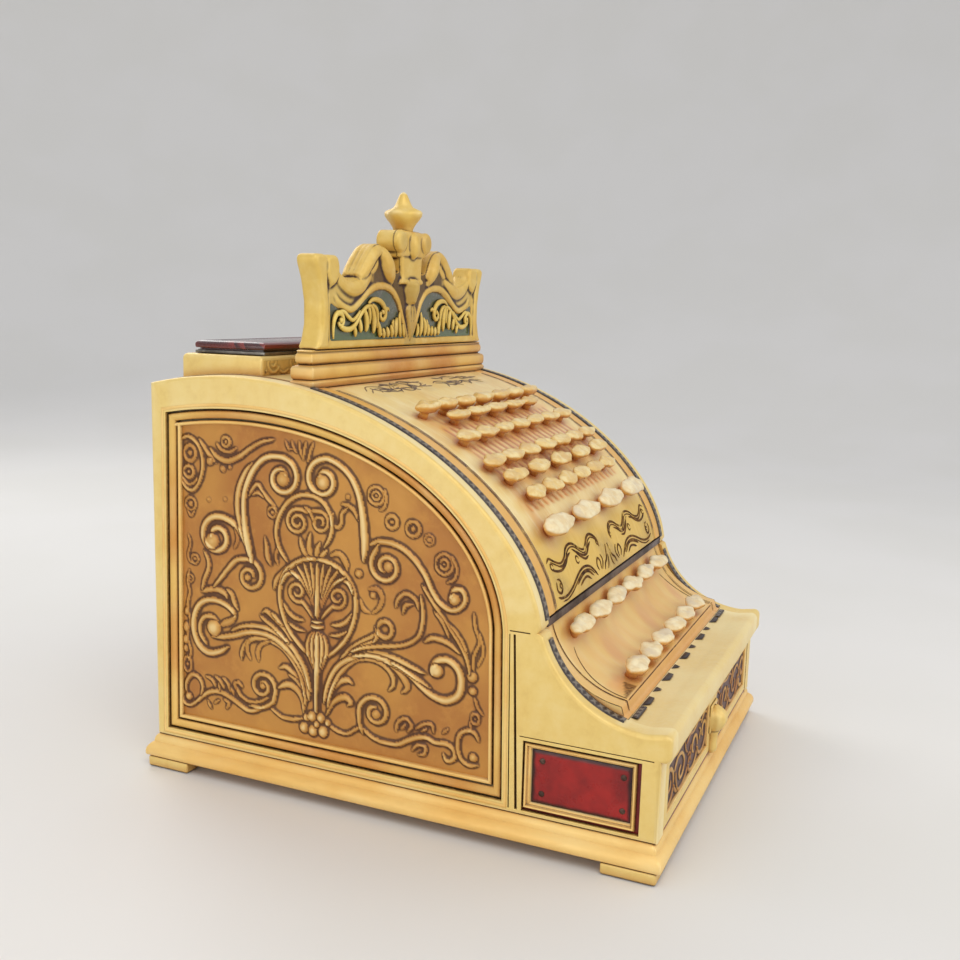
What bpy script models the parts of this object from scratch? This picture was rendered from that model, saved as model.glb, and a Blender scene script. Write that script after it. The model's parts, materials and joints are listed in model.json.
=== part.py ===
"""Antique gilt cash register with drawer, keys, bell, pop-up flags and a crown top.

Frame: metres, +Z up, +X to the right of a person standing at the drawer, who looks along +Y.
The origin is on the table, under the centre of the register.
"""
import math

import bmesh
import bpy
from mathutils import Matrix, Vector

# ---------------------------------------------------------------- driving dimensions
GAP = 0.0003                  # clearance between pieces that touch

FOOT_HEIGHT = 0.0104
FOOT_LENGTH = 0.048
FOOT_WIDTH = 0.044
FOOT_INSET = 0.0040           # from the front and rear edge of the plinth

PLINTH_HALF_WIDTH = 0.2197
PLINTH_FRONT = -0.2605
PLINTH_REAR = 0.2685
PLINTH_BOTTOM = 0.0107
PLINTH_TOP = 0.0318

CASE_HALF_WIDTH = 0.2110
CASE_FRONT = -0.2537
CASE_REAR = 0.2587
FRAME_THICKNESS = 0.0210
INNER_HALF_WIDTH = CASE_HALF_WIDTH - FRAME_THICKNESS - 0.0004

# the arch over the keyboard, a cubic curve in the side view, rear end first: (y, z)
ARCH = ((CASE_REAR, 0.3845), (0.0492, 0.4324), (-0.1303, 0.3050), (-0.1456, 0.2000))
# the edge of the window in each side, under the arch
WINDOW_ARCH = ((0.2410, 0.3570), (0.0635, 0.3904), (-0.1020, 0.3119), (-0.1120, 0.1935))
WINDOW_BOTTOM = 0.0407
WINDOW_BOTTOM_FRONT = -0.1155

# the hollow curve of the cheeks in front of the arch, an arc in the side view
COVE_CENTRE = (-0.2410, 0.2225)
COVE_RADIUS = 0.0980
COVE_TOP_ANGLE = -17.4        # degrees from +Y

SHELF_FRONT = -0.2621
SHELF_HALF_WIDTH = 0.2119
SHELF_BOTTOM = 0.1030
SHELF_TOP = 0.1245
SHELF_REAR = -0.2195

PLATE_POCKET = ((-0.2345, 0.0390), (-0.1365, 0.0985))
POCKET_DEPTH = 0.0040
PLATE = ((-0.2300, 0.0450), (-0.1420, 0.0930))
PLATE_THICKNESS = 0.0022

SIDE_PANEL_FACE = 0.2055
SIDE_PANEL_BACK = 0.1960

SHEET = 0.0030                # thickness of the keyboard sheets
SHEET_INSET = 0.0008          # how far they lie below the arch
TOP_SPLIT = 0.0900            # y of the joint under the crown
PANEL_LOW_END = 0.985         # where the upper sheet ends, as a fraction of the arch curve

LOWER_ARC_START = (-0.1425, 0.1955)
LOWER_ARC_END = (-0.2125, 0.1365)
LOWER_ARC_SAG = 0.0140
LOWER_RISER_FOOT = (-0.2150, 0.1275)

DECK_BOTTOM = 0.0990
DECK_TOP = 0.1025
CROSS_RAIL = ((-0.1452, 0.1962), (-0.1360, 0.2030))
BACK_FACE = 0.2515
BACK_TOP = 0.3780

DRAWER_HALF_WIDTH = 0.1835
DRAWER_REAR = 0.1350
DRAWER_BOTTOM = 0.0350
DRAWER_TOP = 0.0950
DRAWER_WALL = 0.0060
DRAWER_FLOOR = 0.0050
DRAWER_FRONT_THICKNESS = 0.0080
TRAY_REAR = 0.0600
TRAY_TOP = 0.0880
TRAY_WALL = 0.0030
TRAY_SPLIT = -0.1250          # y of the wall between coin cups and note bays
COIN_CUPS = 5
NOTE_BAYS = 4

CROWN_HALF_WIDTH = 0.1939
CROWN_FRONT = 0.0869
CROWN_REAR = 0.1127
CROWN_STEP = 0.4070
CROWN_BASE_TOP = 0.4212
CROWN_TIP = 0.5798
FLAG_X = 0.0750
FLAG_Y = 0.0990
FLAG_SIZE = (0.0400, 0.0030, 0.0340)
FLAG_TOP = 0.4262
FLAG_RISE = 0.0360
GLASS_Y = (0.0885, 0.0910)

BOX_HALF_WIDTH = 0.1755
BOX_FRONT = 0.1552
BOX_REAR = 0.2487
BOX_TOP = 0.4121
BOX_WALL = 0.0080
LID_HALF_WIDTH = 0.1640
LID_FRONT = 0.1600
LID_REAR = 0.2420
LID_THICKNESS = 0.0122
PIN_Y = 0.2450
PIN_Z = 0.4152
PIN_RADIUS = 0.0020

SHAFT_Y = 0.2150
SHAFT_Z = 0.2000
SHAFT_RADIUS = 0.0050
BELL_X = 0.1000
BELL_Z = 0.3000
BELL_RADIUS = 0.0350
BOLT_Y = 0.1180
BOLT_SIZE = 0.0120

# keys on the arch: name, y of the row's foot, height, number, spacing, cap half sizes
KEY_ROWS = (
    ("key_row_1", 0.0075, 0.0150, 7, 0.0433, (0.0195, 0.0078)),
    ("key_row_2", -0.0085, 0.0125, 5, 0.0470, (0.0195, 0.0078)),
    ("key_row_3", -0.0343, 0.0125, 7, 0.0433, (0.0195, 0.0085)),
    ("key_row_4", -0.0622, 0.0125, 7, 0.0450, (0.0200, 0.0085)),
    ("key_row_5", -0.0783, 0.0130, 5, 0.0615, (0.0205, 0.0088)),
    ("key_row_6", -0.0940, 0.0120, 6, 0.0440, (0.0200, 0.0085)),
)
BIG_KEY_Y = -0.1174
BIG_KEY_HEIGHT = 0.0165
BIG_KEY_SPACING = 0.0800
BIG_KEYS = 4
BIG_KEY_CAP = (0.0260, 0.0120)
# keys on the lower sheet: name, cap top (y, z), tilt from level, number, spacing, cap half sizes
LOWER_KEYS = (
    ("upper_total_key", (-0.1600, 0.1895), 50.0, 6, 0.0540, (0.0235, 0.0085)),
    ("front_total_key", (-0.2070, 0.1536), 65.0, 6, 0.0466, (0.0205, 0.0095)),
)
STEM_HALF = (0.0025, 0.0035)
STEM_DEPTH = 0.0200           # length of a stem below the sheet
SLOT_MARGIN = 0.0010
CAP_THICKNESS = 0.0055

# material: base colour, roughness, metallic
MATERIALS = {
    "body_gilt": ((0.80, 0.63, 0.22), 0.42, 0.35),
    "moulding_gilt": ((0.85, 0.58, 0.21), 0.40, 0.35),
    "plinth_wood": ((0.85, 0.58, 0.21), 0.45, 0.30),
    "panel_bronze": ((0.50, 0.27, 0.07), 0.45, 0.50),
    "keyboard_cream": ((0.82, 0.66, 0.36), 0.50, 0.20),
    "key_ivory": ((0.86, 0.76, 0.50), 0.35, 0.00),
    "enamel_red": ((0.25, 0.012, 0.012), 0.30, 0.00),
    "drawer_relief": ((0.12, 0.05, 0.05), 0.40, 0.40),
    "drawer_wood": ((0.36, 0.20, 0.09), 0.60, 0.00),
    "lid_wood": ((0.13, 0.03, 0.025), 0.30, 0.00),
    "window_glass": ((0.10, 0.12, 0.10), 0.10, 0.00),
    "flag_white": ((0.85, 0.83, 0.76), 0.50, 0.00),
    "steel": ((0.45, 0.45, 0.46), 0.35, 1.00),
    "bell_brass": ((0.75, 0.55, 0.20), 0.25, 1.00),
}


# ---------------------------------------------------------------- helpers
def clear_scene():
    """Remove what a new file starts with."""
    for item in list(bpy.data.objects):
        bpy.data.objects.remove(item, do_unlink=True)


def make_material(name):
    """A Principled material from the table above."""
    colour, roughness, metallic = MATERIALS[name]
    material = bpy.data.materials.new(name)
    material.use_nodes = True
    shader = material.node_tree.nodes["Principled BSDF"]
    shader.inputs["Base Color"].default_value = (*colour, 1.0)
    shader.inputs["Roughness"].default_value = roughness
    shader.inputs["Metallic"].default_value = metallic
    return material


def add_object(name, bm, material):
    """Turn a bmesh into an object with outward normals."""
    bmesh.ops.recalc_face_normals(bm, faces=bm.faces)
    mesh = bpy.data.meshes.new(name)
    bm.to_mesh(mesh)
    bm.free()
    obj = bpy.data.objects.new(name, mesh)
    bpy.context.scene.collection.objects.link(obj)
    if material:
        mesh.materials.append(bpy.data.materials[material])
    return obj


def fill_prism(bm, outline, place, low, high):
    """Add a prism to bm: place(a, b, h) gives the point of outline (a, b) at height h."""
    bottom = [bm.verts.new(place(a, b, low)) for a, b in outline]
    top = [bm.verts.new(place(a, b, high)) for a, b in outline]
    bm.faces.new(bottom)
    bm.faces.new(top)
    for i in range(len(outline)):
        j = (i + 1) % len(outline)
        bm.faces.new((bottom[i], bottom[j], top[j], top[i]))


def along_x(y, z, x):
    return Vector((x, y, z))


def along_y(x, z, y):
    return Vector((x, y, z))


def along_z(x, y, z):
    return Vector((x, y, z))


def prism(name, outline, place, low, high, material):
    """A plate or bar: a closed outline given a thickness along one axis."""
    bm = bmesh.new()
    fill_prism(bm, outline, place, low, high)
    return add_object(name, bm, material)


def fill_box(bm, low, high):
    """Add the box between two corners to bm."""
    outline = ((low[0], low[1]), (high[0], low[1]), (high[0], high[1]), (low[0], high[1]))
    fill_prism(bm, outline, along_z, low[2], high[2])


def box(name, low, high, material):
    bm = bmesh.new()
    fill_box(bm, low, high)
    return add_object(name, bm, material)


def fill_loft(bm, rings):
    """Join a stack of closed rings, each a list of points, and cap both ends."""
    loops = [[bm.verts.new(point) for point in ring] for ring in rings]
    count = len(loops[0])
    for lower, upper in zip(loops, loops[1:]):
        for i in range(count):
            j = (i + 1) % count
            bm.faces.new((lower[i], lower[j], upper[j], upper[i]))
    bm.faces.new(loops[0])
    bm.faces.new(loops[-1])


def ellipse(half_x, half_y, z, sides):
    """A ring round the local z axis."""
    turns = [2.0 * math.pi * i / sides for i in range(sides)]
    return [Vector((half_x * math.cos(t), half_y * math.sin(t), z)) for t in turns]


def turned(name, profile, sides, material):
    """Revolve a closed (radius, height) outline round the local z axis."""
    bm = bmesh.new()
    rings = []
    for radius, height in profile:
        if radius == 0.0:
            rings.append([bm.verts.new((0.0, 0.0, height))] * sides)
        else:
            rings.append([bm.verts.new(p) for p in ellipse(radius, radius, height, sides)])
    for k in range(len(rings)):
        first, second = rings[k], rings[(k + 1) % len(rings)]
        for i in range(sides):
            j = (i + 1) % sides
            corners = list(dict.fromkeys((first[i], first[j], second[j], second[i])))
            if len(corners) > 2:
                bm.faces.new(corners)
    return add_object(name, bm, material)


def cutter(name, bm):
    """A hidden shape that a Boolean uses."""
    obj = add_object(name, bm, None)
    obj.hide_render = True
    obj.display_type = "WIRE"
    return obj


def boolean(obj, other, operation):
    """Combine obj with a hidden shape."""
    modifier = obj.modifiers.new(operation.lower(), "BOOLEAN")
    modifier.operation = operation
    modifier.solver = "EXACT"
    modifier.object = other


# ---------------------------------------------------------------- curves in the side view
def cubic(points, t):
    """A point on a cubic curve."""
    a, b, c, d = (Vector(p) for p in points)
    s = 1.0 - t
    return a * s ** 3 + b * 3.0 * s * s * t + c * 3.0 * s * t * t + d * t ** 3


def cubic_normal(points, t):
    """The unit normal that points out of the case."""
    ahead = cubic(points, min(t + 0.001, 1.0))
    behind = cubic(points, max(t - 0.001, 0.0))
    tangent = (ahead - behind).normalized()
    return Vector((tangent.y, -tangent.x))


def cubic_path(points, start, end, steps, offset):
    """Points along a cubic curve, moved inwards by offset."""
    path = []
    for i in range(steps + 1):
        t = start + (end - start) * i / steps
        path.append(cubic(points, t) - cubic_normal(points, t) * offset)
    return path


def arch_at(y):
    """The curve parameter where the arch has this y."""
    low, high = 0.0, 1.0
    for _ in range(40):
        middle = (low + high) / 2.0
        if cubic(ARCH, middle).x > y:
            low = middle
        else:
            high = middle
    return low


def arc_path(centre, radius, start, end, steps):
    """Points on an arc, angles in degrees from +Y."""
    path = []
    for i in range(steps + 1):
        angle = math.radians(start + (end - start) * i / steps)
        path.append(Vector((centre[0] + radius * math.cos(angle), centre[1] + radius * math.sin(angle))))
    return path


def cove_angle(y):
    """The angle at which the hollow curve of the cheeks has this y."""
    return -math.degrees(math.acos((y - COVE_CENTRE[0]) / COVE_RADIUS))


def sagging_path(start, end, sag, steps):
    """An arc between two points that sags below its chord."""
    start, end = Vector(start), Vector(end)
    chord = end - start
    down = Vector((-chord.y, chord.x)).normalized()
    radius = ((chord.length / 2.0) ** 2 + sag ** 2) / (2.0 * sag)
    path = []
    for i in range(steps + 1):
        across = chord.length * (i / steps - 0.5)
        depth = math.sqrt(radius ** 2 - across ** 2) - (radius - sag)
        path.append(start + chord * (i / steps) + down * depth)
    return path


# ---------------------------------------------------------------- base and sides
def make_plinth():
    """The moulded base, a stack of rectangles that step in towards the case."""
    profile = (
        (PLINTH_BOTTOM, 0.0006),
        (PLINTH_BOTTOM + 0.0010, 0.0),
        (0.0180, 0.0),
        (0.0225, 0.0014),
        (0.0255, 0.0042),
        (0.0280, 0.0060),
        (PLINTH_TOP, 0.0068),
    )
    rings = []
    for z, inset in profile:
        x = PLINTH_HALF_WIDTH - inset
        front = PLINTH_FRONT + inset
        rear = PLINTH_REAR - inset
        rings.append([Vector(p) for p in ((-x, front, z), (x, front, z), (x, rear, z), (-x, rear, z))])
    bm = bmesh.new()
    fill_loft(bm, rings)
    add_object("base_plinth", bm, "plinth_wood")


def make_feet():
    """Four flat pads under the corners of the plinth."""
    for side_name, side in (("left", -1.0), ("right", 1.0)):
        outer = side * (PLINTH_HALF_WIDTH - 0.0006)
        inner = outer - side * FOOT_WIDTH
        front_edge = PLINTH_FRONT + FOOT_INSET
        rear_edge = PLINTH_REAR - FOOT_INSET
        for end_name, y0, y1 in (
            ("front", front_edge, front_edge + FOOT_LENGTH),
            ("rear", rear_edge - FOOT_LENGTH, rear_edge),
        ):
            low = (min(outer, inner), y0, 0.0)
            high = (max(outer, inner), y1, FOOT_HEIGHT)
            box(f"foot_{end_name}_{side_name}", low, high, "body_gilt")


def side_outline():
    """The side frame seen from the side: rear stile, arch, cheek and front post."""
    bottom = PLINTH_TOP + GAP
    arch = cubic_path(ARCH, 0.0, 1.0, 28, 0.0)
    front = SHELF_REAR + GAP
    cove = arc_path(COVE_CENTRE, COVE_RADIUS, COVE_TOP_ANGLE, cove_angle(front), 10)
    outline = [Vector((CASE_REAR, bottom))] + arch + [Vector((-0.1425, 0.1950))] + cove
    outline += [
        Vector((front, SHELF_BOTTOM - GAP)),
        Vector((CASE_FRONT, SHELF_BOTTOM - GAP)),
        Vector((CASE_FRONT, bottom)),
    ]
    return outline


def window_outline(shrink):
    """The window in the side frame, made smaller by shrink on every side."""
    arch = cubic_path(WINDOW_ARCH, 0.0, 1.0, 24, shrink)
    arch[0].x -= shrink
    bottom = WINDOW_BOTTOM + shrink
    rear = Vector((WINDOW_ARCH[0][0] - shrink, bottom))
    return [rear] + arch + [Vector((WINDOW_BOTTOM_FRONT + shrink, bottom))]


def make_sides():
    """Cast side frames, their ornament panels, and the enamel plates near the drawer."""
    for side_name, side in (("left", -1.0), ("right", 1.0)):
        face = side * CASE_HALF_WIDTH
        inner = side * (CASE_HALF_WIDTH - FRAME_THICKNESS)
        frame = prism(f"side_frame_{side_name}", side_outline(), along_x, inner, face, "body_gilt")

        bm = bmesh.new()
        fill_prism(bm, window_outline(0.0), along_x, inner - side * 0.01, face + side * 0.01)
        boolean(frame, cutter(f"window_cutter_{side_name}", bm), "DIFFERENCE")

        (y0, z0), (y1, z1) = PLATE_POCKET
        floor = face - side * POCKET_DEPTH
        outside = face + side * 0.01
        bm = bmesh.new()
        fill_box(bm, (min(floor, outside), y0, z0), (max(floor, outside), y1, z1))
        boolean(frame, cutter(f"pocket_cutter_{side_name}", bm), "DIFFERENCE")

        prism(
            f"side_panel_{side_name}", window_outline(GAP), along_x,
            side * SIDE_PANEL_BACK, side * SIDE_PANEL_FACE, "panel_bronze",
        )

        (y0, z0), (y1, z1) = PLATE
        back = floor + side * GAP
        front = back + side * PLATE_THICKNESS
        low = (min(back, front), y0, z0)
        high = (max(back, front), y1, z1)
        box(f"enamel_plate_{side_name}", low, high, "enamel_red")


def make_shell():
    """The back panel, deck over the drawer, rail between the sheets, front shelf and top plate."""
    x = INNER_HALF_WIDTH
    box("back_panel", (-x, BACK_FACE, PLINTH_TOP + GAP), (x, CASE_REAR - 0.0004, BACK_TOP), "body_gilt")

    deck = box("deck_plate", (-x, -0.2450, DECK_BOTTOM), (x, BACK_FACE - GAP, DECK_TOP), "steel")
    reach = BOLT_SIZE / 2.0 + SLOT_MARGIN
    bm = bmesh.new()
    fill_box(bm, (-reach, BOLT_Y - reach, DECK_BOTTOM - 0.01), (reach, BOLT_Y + reach, DECK_TOP + 0.01))
    boolean(deck, cutter("bolt_hole_cutter", bm), "DIFFERENCE")

    (y0, z0), (y1, z1) = CROSS_RAIL
    box("cross_rail", (-x, y0, z0), (x, y1, z1), "steel")

    cove = arc_path(COVE_CENTRE, COVE_RADIUS, cove_angle(SHELF_REAR), -90.0, 3)
    outline = [Vector((SHELF_REAR, SHELF_BOTTOM))] + cove
    outline += [Vector(p) for p in (
        (-0.2560, SHELF_TOP), (-0.2600, 0.1228), (SHELF_FRONT, 0.1190),
        (SHELF_FRONT, 0.1080), (-0.2606, 0.1040), (-0.2570, SHELF_BOTTOM),
    )]
    prism("front_shelf", outline, along_x, -SHELF_HALF_WIDTH, SHELF_HALF_WIDTH, "body_gilt")

    split = arch_at(TOP_SPLIT)
    outer = cubic_path(ARCH, 0.0, split, 12, SHEET_INSET)
    inner = cubic_path(ARCH, 0.0, split, 12, SHEET_INSET + SHEET + 0.001)
    top = prism("top_plate", outer + inner[::-1], along_x, -x, x, "body_gilt")
    boolean(top, flag_slot("top_slot_cutter"), "DIFFERENCE")


# ---------------------------------------------------------------- keyboard
def key_mesh(name, cap, height, stem_bottom, sides):
    """A key round the local z axis: flat stem, swelling cap with a softly domed top."""
    a, b = cap
    rings = (
        (STEM_HALF[0], STEM_HALF[1], stem_bottom),
        (STEM_HALF[0], STEM_HALF[1], height - CAP_THICKNESS - 0.0008),
        (a * 0.55, b * 0.55, height - CAP_THICKNESS),
        (a, b, height - CAP_THICKNESS * 0.5),
        (a * 0.86, b * 0.84, height - 0.0007),
        (a * 0.45, b * 0.45, height),
    )
    bm = bmesh.new()
    fill_loft(bm, [ellipse(x, y, z, sides) for x, y, z in rings])
    return bm


def frame_at(foot, normal):
    """A matrix with its origin at foot (y, z), z along the normal and x along the row."""
    z_axis = Vector((0.0, normal.x, normal.y)).normalized()
    x_axis = Vector((1.0, 0.0, 0.0))
    y_axis = z_axis.cross(x_axis)
    matrix = Matrix((x_axis, y_axis, z_axis)).transposed().to_4x4()
    matrix.translation = Vector((0.0, foot.x, foot.y))
    return matrix


def row_places(count, spacing):
    """The x of each key in a row centred on the register."""
    return [(i - (count - 1) / 2.0) * spacing for i in range(count)]


def slot_box(bm, matrix, x, depth):
    """Add the hole for a stem, along the key's own direction, to a cutter."""
    reach_x = STEM_HALF[0] + SLOT_MARGIN
    reach_y = STEM_HALF[1] + SLOT_MARGIN
    before = len(bm.verts)
    fill_box(bm, (x - reach_x, -reach_y, -depth), (x + reach_x, reach_y, depth))
    bm.verts.ensure_lookup_table()
    bmesh.ops.transform(bm, matrix=matrix, verts=bm.verts[before:])


def make_key_row(row, slots):
    """A row of keys carried by one bar under the sheet, so that it moves as one piece."""
    name, y, height, count, spacing, cap = row
    t = arch_at(y)
    matrix = frame_at(cubic(ARCH, t), cubic_normal(ARCH, t))
    bar_half = spacing * (count - 1) / 2.0 + 0.006
    bar = box(name, (-bar_half, -0.0040, -STEM_DEPTH), (bar_half, 0.0040, -STEM_DEPTH + 0.007), "key_ivory")
    bar.matrix_world = matrix
    keys = bmesh.new()
    for x in row_places(count, spacing):
        single = key_mesh(name, cap, height, -STEM_DEPTH + 0.002, 8)
        bmesh.ops.translate(single, vec=(x, 0.0, 0.0), verts=single.verts)
        mesh = bpy.data.meshes.new("key")
        single.to_mesh(mesh)
        single.free()
        keys.from_mesh(mesh)
        bpy.data.meshes.remove(mesh)
        slot_box(slots, matrix, x, 0.006)
    union = cutter(f"{name}_caps", keys)
    union.matrix_world = matrix
    boolean(bar, union, "UNION")


def make_big_keys(slots):
    """The four large keys at the foot of the arch, each on its own stem."""
    t = arch_at(BIG_KEY_Y)
    matrix = frame_at(cubic(ARCH, t), cubic_normal(ARCH, t))
    for i, x in enumerate(row_places(BIG_KEYS, BIG_KEY_SPACING)):
        name = f"big_key_{i + 1}"
        key = add_object(name, key_mesh(name, BIG_KEY_CAP, BIG_KEY_HEIGHT, -STEM_DEPTH, 12), "key_ivory")
        key.matrix_world = matrix @ Matrix.Translation((x, 0.0, 0.0))
        slot_box(slots, matrix, x, 0.006)


def make_upper_sheet(slots):
    """The curved sheet between the side frames, with a slot for each stem."""
    split = arch_at(TOP_SPLIT - 0.0005)
    outer = cubic_path(ARCH, split, PANEL_LOW_END, 22, SHEET_INSET)
    inner = cubic_path(ARCH, split, PANEL_LOW_END, 22, SHEET_INSET + SHEET)
    x = INNER_HALF_WIDTH
    sheet = prism("upper_key_panel", outer + inner[::-1], along_x, -x, x, "keyboard_cream")
    boolean(sheet, cutter("upper_slot_cutter", slots), "DIFFERENCE")


def make_lower_sheet_and_keys():
    """The hollow lower sheet and the two rows of keys that stand on it."""
    outer = sagging_path(LOWER_ARC_START, LOWER_ARC_END, LOWER_ARC_SAG, 12)
    ledge = Vector((SHELF_REAR + GAP, LOWER_RISER_FOOT[1] - 0.0005))
    inner = []
    for i, point in enumerate(outer):
        ahead = outer[min(i + 1, len(outer) - 1)]
        behind = outer[max(i - 1, 0)]
        tangent = (ahead - behind).normalized()
        inner.append(point - Vector((tangent.y, -tangent.x)) * SHEET)
    inner[-1] = Vector((LOWER_ARC_END[0] + SHEET, LOWER_ARC_END[1] - SHEET - 0.0010))
    outline = outer + [Vector(LOWER_RISER_FOOT), ledge]
    outline += [Vector((ledge.x, ledge.y - SHEET)), Vector((LOWER_RISER_FOOT[0] + SHEET, ledge.y - SHEET))]
    outline += inner[::-1]
    x = INNER_HALF_WIDTH
    sheet = prism("lower_key_panel", outline, along_x, -x, x, "keyboard_cream")

    slots = bmesh.new()
    for name, (y, z), tilt, count, spacing, cap in LOWER_KEYS:
        axis = Vector((-math.cos(math.radians(tilt)), math.sin(math.radians(tilt))))
        foot = Vector((y, z)) - axis * BIG_KEY_HEIGHT
        matrix = frame_at(foot, axis)
        for i, place in enumerate(row_places(count, spacing)):
            full_name = f"{name}_{i + 1}"
            bm = key_mesh(full_name, cap, BIG_KEY_HEIGHT, -STEM_DEPTH + 0.004, 10)
            key = add_object(full_name, bm, "key_ivory")
            key.matrix_world = matrix @ Matrix.Translation((place, 0.0, 0.0))
            slot_box(slots, matrix, place, 0.012)
    boolean(sheet, cutter("lower_slot_cutter", slots), "DIFFERENCE")


# ---------------------------------------------------------------- drawer
def make_drawer():
    """Drawer box, its front and pull, the till tray in it, and the two runners under it."""
    x = DRAWER_HALF_WIDTH
    front_back = CASE_FRONT + 0.0002 + DRAWER_FRONT_THICKNESS
    box_front = front_back + GAP
    drawer = box("drawer_box", (-x, box_front, DRAWER_BOTTOM), (x, DRAWER_REAR, DRAWER_TOP), "drawer_wood")
    wall = DRAWER_WALL
    low = (-x + wall, box_front + wall, DRAWER_BOTTOM + DRAWER_FLOOR)
    high = (x - wall, DRAWER_REAR - wall, DRAWER_TOP + 0.01)
    bm = bmesh.new()
    fill_box(bm, low, high)
    boolean(drawer, cutter("drawer_hollow_cutter", bm), "DIFFERENCE")

    front_x = INNER_HALF_WIDTH - 0.0011
    box(
        "drawer_front", (-front_x, CASE_FRONT + 0.0002, 0.0340),
        (front_x, front_back, 0.1015), "drawer_relief",
    )

    tray_low = Vector((-x + wall + 0.0005, box_front + wall + 0.0005, DRAWER_BOTTOM + DRAWER_FLOOR + GAP))
    tray = box("till_tray", tray_low, (x - wall - 0.0005, TRAY_REAR, TRAY_TOP), "drawer_wood")
    cups = bmesh.new()
    inner_x = -tray_low.x - TRAY_WALL
    floor = tray_low.z + TRAY_WALL
    for count, y0, y1 in (
        (COIN_CUPS, tray_low.y + TRAY_WALL, TRAY_SPLIT),
        (NOTE_BAYS, TRAY_SPLIT + TRAY_WALL, TRAY_REAR - TRAY_WALL),
    ):
        pitch = (2.0 * inner_x + TRAY_WALL) / count
        for i in range(count):
            left = -inner_x + i * pitch
            fill_box(cups, (left, y0, floor), (left + pitch - TRAY_WALL, y1, TRAY_TOP + 0.01))
    boolean(tray, cutter("till_cups_cutter", cups), "DIFFERENCE")

    for side_name, side in (("left", -1.0), ("right", 1.0)):
        inner, outer = sorted((side * 0.120, side * 0.136))
        low = (inner, -0.2400, PLINTH_TOP + GAP)
        box(f"drawer_runner_{side_name}", low, (outer, 0.2400, DRAWER_BOTTOM - GAP), "steel")


def make_pull():
    """A cast drop pull with a round knob, flat against the drawer front."""
    back = CASE_FRONT - GAP
    profile = (
        (0.0325, 0.0045, 0.0035),
        (0.0365, 0.0078, 0.0060),
        (0.0440, 0.0066, 0.0058),
        (0.0540, 0.0075, 0.0072),
        (0.0610, 0.0125, 0.0118),
        (0.0690, 0.0148, 0.0145),
        (0.0760, 0.0125, 0.0120),
        (0.0820, 0.0055, 0.0060),
    )
    rings = []
    for z, half_width, depth in profile:
        turns = [math.pi * i / 8 for i in range(9)]
        rings.append([Vector((half_width * math.cos(t), back - depth * math.sin(t), z)) for t in turns])
    bm = bmesh.new()
    fill_loft(bm, rings)
    add_object("drawer_pull", bm, "body_gilt")


# ---------------------------------------------------------------- crown
def flag_slot(name):
    """The cutter for the slots that the two flags rise through."""
    reach_x = FLAG_SIZE[0] / 2.0 + 0.002
    reach_y = FLAG_SIZE[1] / 2.0 + 0.001
    bm = bmesh.new()
    for side in (-1.0, 1.0):
        x = side * FLAG_X
        fill_box(bm, (x - reach_x, FLAG_Y - reach_y, 0.36), (x + reach_x, FLAG_Y + reach_y, 0.434))
    return cutter(name, bm)


def mirrored(right_half):
    """Close an outline from its right half, listed bottom centre to top centre."""
    left = [(-x, z) for x, z in reversed(right_half) if x > 0.0]
    return list(right_half) + left


def window_half(shrink):
    """One crown window: flat sill, upright jamb, and a leaning arch."""
    return [
        (0.0085 + shrink, 0.4290 + shrink),
        (0.1580 - shrink, 0.4290 + shrink),
        (0.1580 - shrink, 0.4640 - shrink),
        (0.1440, 0.4580 - shrink),
        (0.1200, 0.4550 - shrink),
        (0.1030, 0.4620 - shrink),
        (0.0850, 0.4715 - shrink),
        (0.0700, 0.4765 - shrink),
        (0.0550, 0.4775 - shrink),
        (0.0400, 0.4730 - shrink),
        (0.0280 + shrink, 0.4620),
        (0.0200 + shrink, 0.4470),
    ]


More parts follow.
